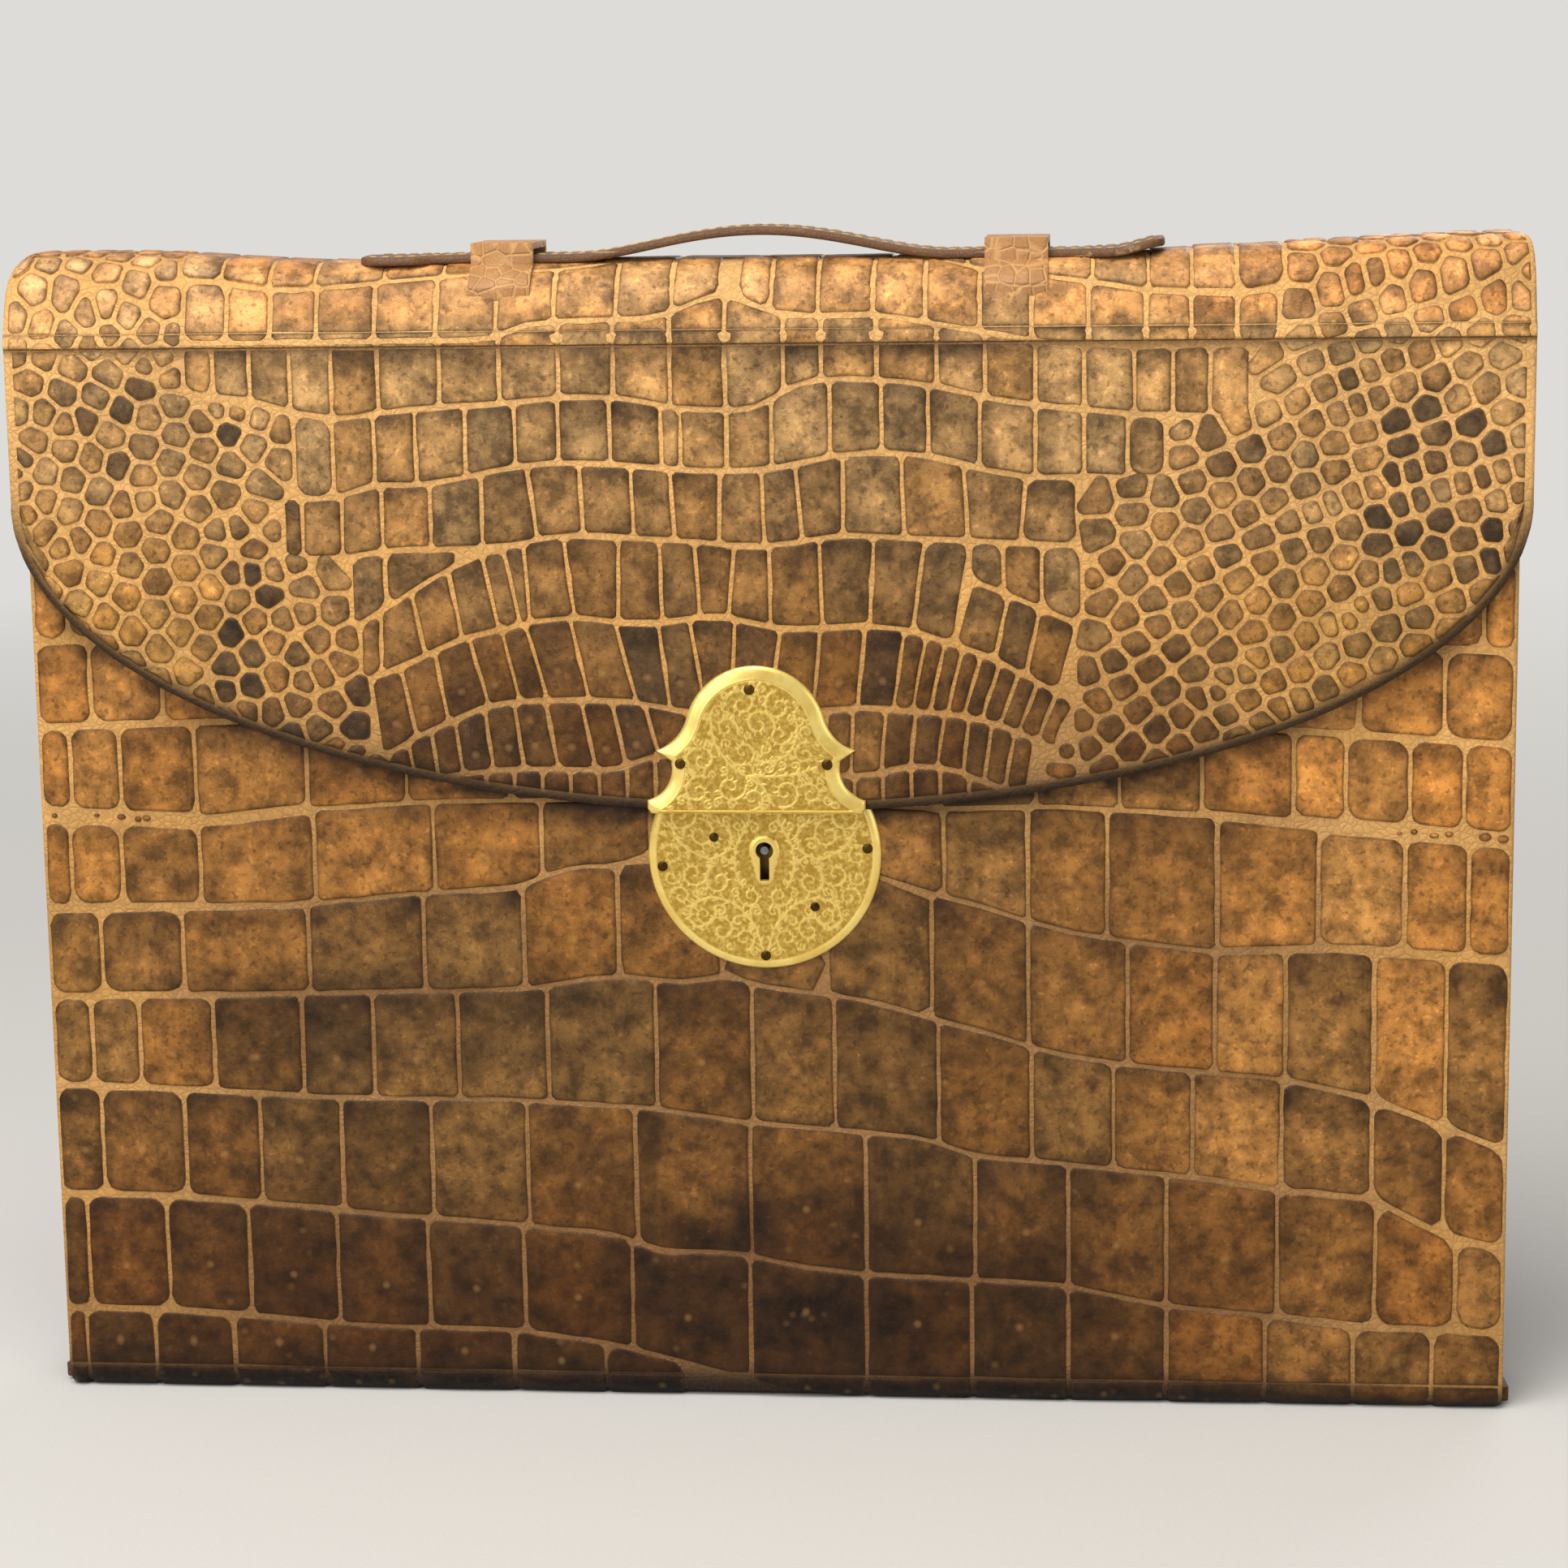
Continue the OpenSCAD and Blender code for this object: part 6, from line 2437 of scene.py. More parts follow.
HASP_STEMS: tuple[Line, ...] = (
    ((-10.4, 25), (-10.6, 21), (-9.2, 16), (-5, 11), (1.6, 7.4), (4.4, 2.2)),
    ((-1.6, 9.4), (4, 9.2), (10, 9.8), (15, 11.6)), ((9.6, 25), (10.6, 20), (8.6, 15), (4, 12.4), (0, 13.4)),
)
LOCK_STEMS: tuple[Line, ...] = (
    ((0.5, -24.5), (2.2, -18), (7, -12.4), (13, -10.4), (18, -12.6), (19, -17), (15, -19)),
    ((23.5, 8), (19.6, 1.5), (13.4, -1.6), (8.2, 1), (8, 6.4), (12, 8.4)),
    ((5.4, -8.2), (7.4, -4), (7, 2), (3.6, 8), (3, 14)),
)


def fine_counts(ring: np.ndarray, step: float) -> list[int]:
    """How many parts each side of a ring is divided into."""
    return [max(1, round(float(np.hypot(*(b - a))) / step)) for a, b in zip(ring, np.roll(ring, -1, 0))]


def divided(ring: np.ndarray, counts: Sequence[int]) -> np.ndarray:
    """A ring with its sides divided.

    Args:
        ring: The ring's points.
        counts: How many parts each side is divided into.

    Returns:
        The points of the finer ring.
    """
    return np.concatenate(
        [a + (b - a) * (np.arange(n) / n)[:, None] for a, b, n in zip(ring, np.roll(ring, -1, 0), counts)]
    )


def ring_faces(rings: int, count: int, closed: bool) -> list[list[int]]:
    """Faces between rings of points; closed also joins the last ring to the first.

    Args:
        rings: How many rings there are.
        count: Points in each.
        closed: Whether the last joins the first.

    Returns:
        The faces.
    """
    faces = []
    for ring in range(rings if closed else rings - 1):
        a, b = ring * count, ((ring + 1) % rings) * count
        faces += [[a + i, a + (i + 1) % count, b + (i + 1) % count, b + i] for i in range(count)]
    return faces


@dataclass
class HaspPlate:
    """The bell-shaped hasp plate with its polished bevel and engraved field.

    Attributes:
        height: Height of the plate, in mm.
        base_z: Height of its foot above the table.
        shift: How far it sits to the left.
        thick: Its thickness.
        bevel: Width of the polished bevel.
        head_r: Radius of its round head.
        shoulder: Tip of its right shoulder, as x and height over the foot.
        waist: Where its waist is narrowest.
        notch_z: Height of the notch under the shoulder.
        foot: Its right foot.
        hollow_r: Radius of its hollow side.
        pins: Places of its pins.
    """

    height: float = 36.2
    base_z: float = 149.8
    shift: float = 1.4
    thick: float = 1.8
    bevel: float = 3.2
    head_r: float = 17.3
    shoulder: Point = (24.1, 15.5)
    waist: Point = (20.4, 11.2)
    notch_z: float = 12.9
    foot: Point = (26.5, 1.2)
    hollow_r: float = 8.2
    pins: Line = ((-1.2, 30.5), (-18.2, 12.4), (17.4, 12.2))

    def half(self, b: float) -> list[Point]:
        """The right half of its outline, moved in by b.

        Args:
            b: How far, in mm.

        Returns:
            Its points, from the top down.
        """
        head_z = self.height - self.head_r
        turn = math.radians(75)
        n = np.array([math.sin(turn), math.cos(turn)])
        tip = np.array([self.shoulder[0], self.shoulder[1] - head_z])
        reach = (tip @ tip - self.head_r**2) / (2 * (tip @ n - self.head_r))
        centre = reach * n + [0, head_z]
        ogee_r = reach - self.head_r
        to_tip = np.array([tip[0], self.shoulder[1]]) - centre
        tip_a = 360 + math.degrees(math.atan2(to_tip[1], to_tip[0]))
        hollow = np.array([self.waist[0] + self.hollow_r, self.waist[1]])
        foot_a = 180 + math.degrees(math.acos((hollow[0] - self.foot[0]) / self.hollow_r))

        def sweep(c: Sequence[float], r: float, a0: float, a1: float, count: int) -> list[Point]:
            """Points along an arc.

            Args:
                c: Its centre.
                r: Its radius.
                a0: Where it starts, in degrees.
                a1: Where it ends.
                count: How many steps it has.

            Returns:
                The points.
            """
            return [
                (c[0] + r * math.cos(math.radians(a)), c[1] + r * math.sin(math.radians(a)))
                for a in np.linspace(a0, a1, count + 1)
            ]

        return [
            *sweep((0, head_z), self.head_r - b, 90, 15, 30),
            *sweep(centre, ogee_r + b, 195, tip_a - 4.9 * b, 20),
            (self.waist[0] + 0.2 - 0.55 * b, self.notch_z),
            *sweep(hollow, self.hollow_r + b, 180, foot_a - 3.6 * b, 14),
            (self.foot[0] - b, self.foot[1] - 0.1 * b),
            (self.foot[0] - 0.8 - 0.9 * b, 0.25 * b),
        ]

    def outline(self, b: float) -> np.ndarray:
        """The whole outline, turning left as seen from the front."""
        half = self.half(b)
        return np.array([(-x, z) for x, z in half[1:]] + [(x, z) for x, z in reversed(half)])

    def build(self) -> None:
        """Builds the plate."""
        bevel = (
            (0, 0), (0, -0.5), (0.12, -0.78), (0.45, -1.05), (0.95, -1.27), (1.55, -1.46), (2.2, -1.61), (2.8, -1.72),
            (3.15, -1.78),
        )
        counts = fine_counts(self.outline(0), 0.42)
        rings = [(divided(self.outline(b), counts), y, -1.0) for b, y in bevel]
        inner = divided(self.outline(self.bevel), counts)
        hub = np.array([0, self.foot[1] + 9.0])
        field_rings = [(inner, -self.thick, -1.0)]
        reach = float(np.hypot(*(inner - hub).T).max())
        for inset in (0.18, 0.4):
            field_rings.append((hub + (inner - hub) * (1 - inset / reach), -self.thick + 0.12, 0.0))
        steps = int(reach / 0.42)
        for k in range(2, steps):
            field_rings.append((hub + (inner - hub) * (1 - k / steps), -self.thick, 1.0))
        everything = rings + field_rings
        flat = np.concatenate([r for r, _, _ in everything])
        depth = np.concatenate([np.full(len(r), y) for r, y, _ in everything])
        carve_here = np.concatenate([np.full(len(r), c) for r, _, c in everything]) > 0.5
        engraving = Engraving(4, stems=HASP_STEMS)
        room = self.room(inner)
        strokes = engraving.strokes(room, (-22, 1, 22, 34))
        relief = np.where(carve_here, engraving.relief(flat, strokes), np.where(depth < -1.7, 0.12, 1.0))
        depth = np.where(carve_here, depth + 0.1 - engraving.height * relief, depth)
        points = np.stack([flat[:, 0] - self.shift, depth - MID_Y, flat[:, 1] + self.base_z], -1)
        count = len(rings[0][0])
        faces = ring_faces(len(everything), count, False)
        middle = np.array(
            [
                [hub[0] - self.shift, -self.thick - MID_Y, hub[1] + self.base_z],
                [hub[0] - self.shift, -MID_Y, hub[1] + self.base_z],
            ]
        )
        points = np.concatenate([points, middle]) * MM
        relief = np.concatenate([relief, [0.5, 1.0]])
        last, tip = (len(everything) - 1) * count, len(everything) * count
        faces += [[last + i, last + (i + 1) % count, tip] for i in range(count)]
        faces += [[(i + 1) % count, i, tip + 1] for i in range(count)]
        shell = Shell()
        shell.add(points, faces, relief=relief)
        plate = shell.make("hasp_plate_gilt", Finish.RIM.get(), 55)
        plate.data.materials.append(Finish.CARVED.get())
        part = np.zeros(len(plate.data.polygons), np.int32)
        part[len(rings) * count :] = 1
        part[-count:] = 0
        plate.data.polygons.foreach_set("material_index", part)
        seat(plate, "flap", "gilt_brass", "hasp_plate")

    @staticmethod
    def room(inner: np.ndarray) -> Callable[[float, float], float]:
        """Distance from a place in the engraved field to its border; negative outside it.

        Args:
            inner: The border's points.

        Returns:
            A function of x and z.
        """

        def distance(x: float, z: float) -> float:
            """The distance.

            Args:
                x: Place across, in mm.
                z: Height over the foot.

            Returns:
                The distance.
            """
            away = inner - [x, z]
            d = float(np.hypot(away[:, 0], away[:, 1]).min())
            nxt = np.roll(inner, -1, 0)
            crossing = ((inner[:, 1] > z) != (nxt[:, 1] > z)) & (
                x < (nxt[:, 0] - inner[:, 0]) * (z - inner[:, 1]) / (nxt[:, 1] - inner[:, 1] + 1e-12) + inner[:, 0]
            )
            return d if crossing.sum() % 2 else -d

        return distance


@dataclass
class LockPlate:
    """The round lock plate with its bevelled rim, keyhole lip and engraved field.

    Attributes:
        r: Its radius, in mm.
        thick: Its thickness.
        rim: Width of its polished rim; not used.
        lip_r: Radius of the lip over the round of the keyhole.
        lip_h: Height of the lip.
        hole_r: Radius of the round of the keyhole.
        slot: Width of its slot, and how far down it reaches.
        key_z: Height of its round over the lock's middle.
        groove: Where the groove inside the rim lies, from the edge.
        field_in: Where the engraved field starts, from the edge.
        staple_cut: Half the width and half the height of the slot for the staple.
        staple_z: Height of that slot's middle over the lock's.
    """

    r: float = 28.5
    thick: float = 1.5
    rim: float = 1.9
    lip_r: float = 3.6
    lip_h: float = 0.3
    hole_r: float = 2.15
    slot: Point = (2.3, 7.4)
    key_z: float = 0.9
    groove: Point = (2.05, 2.3)
    field_in: float = 2.4
    staple_cut: Point = (1.35, 4.0)
    staple_z: float = 16.5

    def hole_at(self, angle: float) -> float:
        """Distance from the keyhole's middle to its edge in a direction.

        Args:
            angle: The direction, in radians.

        Returns:
            The distance, in mm.
        """
        c, s = math.cos(angle), math.sin(angle)
        rise = self.key_z + 0.5
        b = rise * s
        radius = b + math.sqrt(max(self.hole_r**2 - rise**2 + b * b, 0)) if self.hole_r**2 - rise**2 + b * b > 0 else 0
        half, low = self.slot[0] / 2, self.slot[1] - self.key_z - 0.5
        side = half / abs(c) if abs(c) > 1e-6 else 1e9
        down = low / -s if s < -1e-6 else 1e9
        box = min(side, down) if s < 0.3 else 0
        return max(radius, box, 0.4)

    def build(self) -> None:
        """Builds the plate."""
        count = 420
        angle = np.linspace(0, 2 * math.pi, count, endpoint=False)
        centre = np.array([0, -0.5])
        direction = np.stack([np.cos(angle), np.sin(angle)], -1)
        b = direction @ centre
        outer = -b + np.sqrt(b * b + self.r**2 - centre @ centre)
        hole = np.array([self.hole_at(float(a)) for a in angle])
        profile = ((0, 0.0), (0, 0.5), (0.1, 0.74), (0.4, 0.98), (0.85, 1.2), (1.35, 1.38), (1.8, 1.49))
        rings = [(outer - inset, np.full(count, h), 0) for inset, h in profile]
        rings += [(outer - inset, np.full(count, self.thick - 0.1), 0) for inset in self.groove]
        start = outer - self.field_in
        steps = 62
        for k in range(steps + 1):
            t = k / steps
            rings.append((start + (hole - start) * t, np.full(count, self.thick), 1))
        rings.append((hole, np.zeros(count), 0))
        flat = np.concatenate([centre + direction * r[:, None] for r, _, _ in rings])
        height = np.concatenate([h for _, h, _ in rings])
        field_here = np.concatenate([np.full(count, c) for _, _, c in rings]) > 0.5
        engraving = Engraving(9, mirrored=True, stems=LOCK_STEMS)
        lip = self.lip_share(flat)
        limit = self.r - 2.6

        def room(x: float, z: float) -> float:
            """Distance to the rim or the lip."""
            return min(limit - math.hypot(x, z), math.hypot(x, z + 1.5) - 6.5)

        strokes = engraving.strokes(room, (-limit, -limit, limit, limit))
        relief = engraving.relief(flat, strokes)
        carved = field_here & (lip < 0.5)
        height = np.where(carved, height - 0.1 + engraving.height * relief, height)
        height = np.where(field_here, height + self.lip_h * smooth(0.5, 1.0, lip), height)
        relief = np.where(carved, relief, np.where(height < self.thick - 0.05, 0.2, 1.0))
        relief = np.where(field_here & (lip >= 0.5), 1.0, relief)
        points = np.stack([flat[:, 0], FRONT_Y - height - MID_Y, flat[:, 1] + LOCK_Z], -1) * MM
        shell = Shell()
        shell.add(points, ring_faces(len(rings), count, True), relief=relief)
        plate = shell.make("lock_plate_gilt", Finish.RIM.get(), 55)
        plate.data.materials.append(Finish.CARVED.get())
        part = np.zeros(len(plate.data.polygons), np.int32)
        part[len(profile) * count : (len(rings) - 2) * count] = 1
        plate.data.polygons.foreach_set("material_index", part)
        (wide, high), mid = self.staple_cut, LOCK_Z + self.staple_z
        box = [(-wide, mid - high), (wide, mid - high), (wide, mid + high), (-wide, mid + high)]
        carve(plate, [cutter("staple_cut", box, FRONT_Y - 4 - MID_Y, FRONT_Y + 2 - MID_Y)])
        seat(plate, "front", "gilt_brass", "lock_plate")

    def lip_share(self, flat: np.ndarray) -> np.ndarray:
        """1 well inside the drop-shaped lip, 0.5 at its edge and 0 outside.

        Args:
            flat: Places on the plate, in mm.

        Returns:
            A share for each place.
        """
        low_r = self.lip_r * 0.62
        low_z = self.key_z - self.slot[1] + low_r / 2
        t = np.clip((self.key_z - flat[:, 1]) / (self.key_z - low_z), 0, 1)
        centre_z = self.key_z + (low_z - self.key_z) * t
        radius = self.lip_r + (low_r - self.lip_r) * t
        d = radius - np.hypot(flat[:, 0], flat[:, 1] - centre_z)
        return np.clip(0.5 + d * 1.4, 0, 1)


# ---- Small things that repeat, by geometry nodes


class GeometryTree:
    """Builds one geometry node tree with named inputs."""

    def __init__(self, name: str, inputs: dict[str, tuple[str, object]]) -> None:
        """Starts a tree.

        Args:
            name: The tree's name.
            inputs: Socket type and default value by input name; the geometry comes first by itself.
        """
        self.tree = bpy.data.node_groups.new(name, "GeometryNodeTree")
        self.tree.interface.new_socket("Geometry", in_out="INPUT", socket_type="NodeSocketGeometry")
        self.ids: dict[str, str] = {}
        for key, (kind, value) in inputs.items():
            socket = self.tree.interface.new_socket(key, in_out="INPUT", socket_type=kind)
            if value is not None:
                socket.default_value = value
            self.ids[key] = socket.identifier
        self.tree.interface.new_socket("Geometry", in_out="OUTPUT", socket_type="NodeSocketGeometry")
        self.nodes = Nodes(self.tree)
        self.given = self.nodes.add("NodeGroupInput")

    def finish(self, geometry: bpy.types.NodeSocket) -> None:
        """Realises the instances, sets the material and ends the tree.

        Args:
            geometry: The instances.
        """
        real = self.nodes.add("GeometryNodeRealizeInstances", {0: geometry}).outputs[0]
        dressed = self.nodes.add(
            "GeometryNodeSetMaterial", {0: real, "Material": self.given.outputs["Finish"]}
        ).outputs[0]
        shaded = self.nodes.add("GeometryNodeSetShadeSmooth", {0: dressed, "Shade Smooth": True}).outputs[0]
        self.nodes.add("NodeGroupOutput", {0: shaded})

    def apply(self, obj: bpy.types.Object, values: dict[str, object], name: str) -> bpy.types.Object:
        """Runs the tree on an object and returns the plain mesh it makes.

        Args:
            obj: The object with the tree's path or points; it is removed.
            values: Values by input name.
            name: The new piece's name.

        Returns:
            The new object.
        """
        modifier = obj.modifiers.new("build", "NODES")
        modifier.node_group = self.tree
        for key, value in values.items():
            modifier[self.ids[key]] = value
        graph = bpy.context.evaluated_depsgraph_get()
        mesh = bpy.data.meshes.new_from_object(obj.evaluated_get(graph))
        mesh.name = name
        made = linked(name, mesh)
        obj.modifiers.clear()
        bpy.data.objects.remove(obj)
        return made


def path_object(name: str, runs: Sequence[Sequence[Sequence[float]]]) -> bpy.types.Object:
    """An object of plain lines through points in mm of the frame.

    Args:
        name: The object's name.
        runs: Lines of points.

    Returns:
        The object.
    """
    mesh = bpy.data.meshes.new(name)
    points, edges = [], []
    for run in runs:
        base = len(points)
        points += [[c * MM for c in p] for p in run]
        edges += [(base + i, base + i + 1) for i in range(len(run) - 1)]
    mesh.from_pydata(points, edges, [])
    return linked(name, mesh)


def stitch_tree() -> GeometryTree:
    """Stitches along lines: short rounded threads, each a little uneven.

    Returns:
        The tree.
    """
    tree = GeometryTree(
        "stitches",
        {
            "Pitch": ("NodeSocketFloat", 0.003),
            "Length": ("NodeSocketFloat", 0.0022),
            "Thread": ("NodeSocketFloat", 0.0003),
            "Seed": ("NodeSocketInt", 3),
            "Finish": ("NodeSocketMaterial", None),
        },
    )
    n, given = tree.nodes, tree.given.outputs
    curve = n.add("GeometryNodeMeshToCurve", {0: given["Geometry"]}).outputs[0]
    points = n.add("GeometryNodeCurveToPoints", {0: curve, "Length": given["Pitch"]}, mode="LENGTH")
    ball = n.add("GeometryNodeMeshIcoSphere", {"Radius": 1.0, "Subdivisions": 2}).outputs[0]
    half = n.times(given["Length"], 0.5)
    size = n.add("ShaderNodeCombineXYZ", {0: given["Thread"], 1: given["Thread"], 2: half}).outputs[0]
    uneven = n.add("FunctionNodeRandomValue", {2: 0.85, 3: 1.1, "Seed": given["Seed"]}, data_type="FLOAT").outputs[1]
    scale = n.add("ShaderNodeVectorMath", {0: size, "Scale": uneven}, operation="SCALE").outputs[0]
    placed = n.add(
        "GeometryNodeInstanceOnPoints",
        {"Points": points.outputs["Points"], "Instance": ball, "Rotation": points.outputs["Rotation"], "Scale": scale},
    ).outputs[0]
    tree.finish(placed)
    return tree


def pin_tree() -> GeometryTree:
    """Domed pin heads on points, facing the front.

    Returns:
        The tree.
    """
    tree = GeometryTree(
        "pin_heads",
        {
            "Radius": ("NodeSocketFloat", 0.0013),
            "Dome": ("NodeSocketFloat", 0.0005),
            "Seed": ("NodeSocketInt", 1),
            "Finish": ("NodeSocketMaterial", None),
        },
    )
    n, given = tree.nodes, tree.given.outputs
    points = n.add("GeometryNodeMeshToPoints", {0: given["Geometry"]}).outputs[0]
    ball = n.add("GeometryNodeMeshUVSphere", {"Segments": 20, "Rings": 12, "Radius": 1.0}).outputs[0]
    size = n.add("ShaderNodeCombineXYZ", {0: given["Radius"], 1: given["Dome"], 2: given["Radius"]}).outputs[0]
    turn = n.add(
        "FunctionNodeRandomValue", {
            0: (0.0, -3.1, 0.0), 1: (0.0, 3.1, 0.0), "Seed": given["Seed"]
        }, data_type="FLOAT_VECTOR"
    ).outputs[0]
    placed = n.add(
        "GeometryNodeInstanceOnPoints", {"Points": points, "Instance": ball, "Rotation": turn, "Scale": size}
    ).outputs[0]
    tree.finish(placed)
    return tree


class Repeats:
    """The trees, built once, and short calls that use them."""

    stitches: GeometryTree
    pins: GeometryTree

    @classmethod
    def prepare(cls) -> None:
        """Builds the trees."""
        cls.stitches = stitch_tree()
        cls.pins = pin_tree()

    @classmethod
    def sew(
        cls,
        name: str,
        body: str,
        slot: str,
        runs: Sequence[Sequence[Sequence[float]]],
        pitch: float = 3.0,
        length: float = 2.1,
        thread: float = 0.28,
    ) -> bpy.types.Object:
        """Sews along lines.

        Args:
            name: The piece's name.
            body: The body it rides on.
            slot: The record's material slot.
            runs: Lines of points in mm of the frame.
            pitch: Distance from stitch to stitch, in mm.
            length: Length of a stitch.
            thread: Half its width.

        Returns:
            The piece.
        """
        values = {
            "Pitch": pitch * MM, "Length": length * MM, "Thread": thread * MM, "Seed": 3, "Finish": Finish.THREAD.get()
        }
        return seat(cls.stitches.apply(path_object(name, runs), values, name), body, slot)

    @classmethod
    def pin(
        cls,
        name: str,
        body: str,
        slot: str,
        places: Sequence[Sequence[float]],
        radius: float,
        dome: float,
        finish: Finish,
        *nodes: str,
    ) -> bpy.types.Object:
        """Sets domed heads at places in mm of the frame.

        Args:
            name: The piece's name.
            body: The body it rides on.
            slot: The record's material slot.
            places: Where the heads sit.
            radius: Their radius, in mm.
            dome: How far they stand out.
            finish: The finish.
            *nodes: The CAD nodes it stands for.

        Returns:
            The piece.
        """
        holder = path_object(name, [[p] for p in places])
        values = {"Radius": radius * MM, "Dome": dome * MM, "Seed": 1, "Finish": finish.get()}
        return seat(cls.pins.apply(holder, values, name), body, slot, *nodes)


@dataclass
class LockWorks:
    """Pins, rivets and the works behind the lock plate.

    Attributes:
        pin_r: Distance of the plate's pins from its middle, in mm.
        pin_angles: Where they sit, in degrees.
    """

    pin_r: float = 25.2
    pin_angles: tuple[float, ...] = (3.5, 90, 187, 270)

    def build(self) -> None:
        """Dresses the lock's small pieces."""
        y = FRONT_Y - 1.5 - MID_Y
        places = [
            (self.pin_r * math.cos(math.radians(a)), y, LOCK_Z + self.pin_r * math.sin(math.radians(a)))
            for a in self.pin_angles
        ]
        Repeats.pin("lock_plate_pin_heads", "front", "gilt_brass", places, 1.25, 0.42, Finish.PIN, "lock_plate_pins")
        rivets = [(-12.3, y, LOCK_Z + 4.2), (12.2, y, LOCK_Z - 13)]
        Repeats.pin("lock_rivet_heads", "front", "gilt_brass", rivets, 1.15, 0.38, Finish.PIN, "lock_rivets")
        hasp = HaspPlate()
        heads = [(x - hasp.shift, -hasp.thick - MID_Y, hasp.base_z + z) for x, z in hasp.pins]
        Repeats.pin("hasp_pin_heads", "flap", "gilt_brass", heads, 1.3, 0.46, Finish.PIN, "hasp_pins")
        dress("lock_drum", Finish.DRUM)
        for node in ("key_pin", "lock_bolt", "bolt_spring"):
            dress(node, Finish.STEEL)
        softened("hasp_staple", 0.25, "hasp_staple_brass", Finish.STAPLE.get(), "gilt_brass")


# ---- Handle


@dataclass
class Handle:
    """The flat handle strap, its loops and their stitching.

    Attributes:
        length: Length of the strap, in mm.
        width: Its width between the spade ends.
        spade: Width of these ends.
        thick: Its thickness.
        bow: How far it bows up between the loops.
        bow_half: Half the length of the bow.
        shoulder: Where the spade ends begin, from the middle.
        base_z: Height of its underside over the table.
        loop_x: Distance of the loops from the middle.
        loop_rows: Y of the stitches at a loop's two ends.
        loop_row_half: Half the length of such a row.
    """

    length: float = 193.0
    width: float = 18.0
    spade: float = 24.5
    thick: float = 2.2
    bow: float = 5.6
    bow_half: float = 46.0
    shoulder: float = 78.0
    base_z: float = 281.8
    loop_x: float = 61.5
    loop_rows: Point = (10.0, 29.4)
    loop_row_half: float = 5.6

    def half_width(self, x: np.ndarray) -> np.ndarray:
        """Half the strap's width along it.

        Args:
            x: Places across, in mm.

        Returns:
            Half the width at each place.
        """
        side = np.abs(x)
        half = self.width / 2 + (self.spade - self.width) / 2 * smooth(self.shoulder, self.shoulder + 5, side)
        end = self.length / 2 - side
        corner = 6.0
        return np.where(
            end < corner,
            half - corner + np.sqrt(np.maximum(corner**2 - (corner - np.clip(end, 0, corner)) ** 2, 0)),
            half,
        )

    def line(self, x: np.ndarray) -> np.ndarray:
        """Height of the strap's underside along it; the right end has curled up a little.

        Args:
            x: Places across, in mm.

        Returns:
            The heights, in mm.
        """
        side = np.clip(np.abs(x) / self.bow_half, 0, 1)
        arch = (self.bow + 0.5) * (1 - side**2) ** 2
        return self.base_z + arch + 2.4 * smooth(84, 97, x) + 0.25 * np.sin(x / 6.3) * smooth(10, 60, np.abs(x) * 0.5)

    def build(self) -> None:
        """Builds the strap, the loops and their stitches."""
        end = self.length / 2
        x = np.unique(
            np.concatenate(
                [edge_steps(-end, end, 2.4, 0.8), end - np.array([1.6, 2.6, 4.0]), -end + np.array([1.6, 2.6, 4.0])]
            )
        )
        v = edge_steps(-1, 1, 0.16, 0.075)
        half = self.half_width(x)
        xs, vs = np.repeat(x[None], len(v), 0), np.repeat(v[:, None], len(x), 1)
        ys = STRAP_Y + vs * half[None]
        rim = np.minimum(half[None] * (1 - np.abs(vs)), end - np.abs(xs))
        fall = rounded(rim, 0.8)
        crown = 0.35 * np.cos(vs * math.pi / 2) ** 0.5
        low = self.line(xs)
        top = np.stack([xs, ys - MID_Y, low + self.thick - 0.35 + crown + fall], -1) * MM
        bottom = np.stack([xs, ys - MID_Y, low - fall * 0.8], -1) * MM
        points, faces = grid_shell(top, bottom)
        shell = Shell()
        shell.add(points, faces)
        strap = shell.make("handle_strap_leather", Finish.STRAP.get())
        strap.data.materials.append(Finish.STRAP_EDGE.get())
        wide = np.tile(rim.ravel(), 2)
        part = [int(all(wide[i] < 1.0 for i in p.vertices)) for p in strap.data.polygons]
        strap.data.polygons.foreach_set("material_index", part)
        seat(strap, "handle", "strap_leather", "handle_strap")
        runs = []
        for side in (-1, 1):
            xr = np.linspace(-end + 3.5, end - 3.5, 160)
            yr = STRAP_Y + side * (self.half_width(xr) - 2.3)
            zr = self.line(xr) + self.thick - 0.05
            runs.append(np.stack([xr, yr - MID_Y, zr], -1).tolist())
        Repeats.sew("handle_strap_stitches", "handle", "strap_leather", runs, 3.2, 2.2, 0.22)
        for side in ("left", "right"):
            softened(f"{side}_handle_loop", 0.35, f"{side}_loop_leather", Finish.LOOP.get(), "strap_leather")
        self.loop_stitches()

    def loop_stitches(self) -> None:
        """Stitches that hold the loops' tabs to the top."""
        runs = []
        brow_y, brow_r, tab_r = 15.3, 14, 15.6
        for middle in (-self.loop_x, self.loop_x):
            for y in self.loop_rows:
                round_z = CASE_H - brow_r + math.sqrt(max(tab_r**2 - (brow_y - y) ** 2, 0)) + 0.02
                z = CASE_H + 1.62 if y > brow_y else round_z
                runs.append([[middle + end, y - MID_Y, z] for end in (-self.loop_row_half, self.loop_row_half)])
        Repeats.sew("handle_loop_stitches", "case", "strap_leather", runs, 2.6, 1.8, 0.26)


# ---- Inside


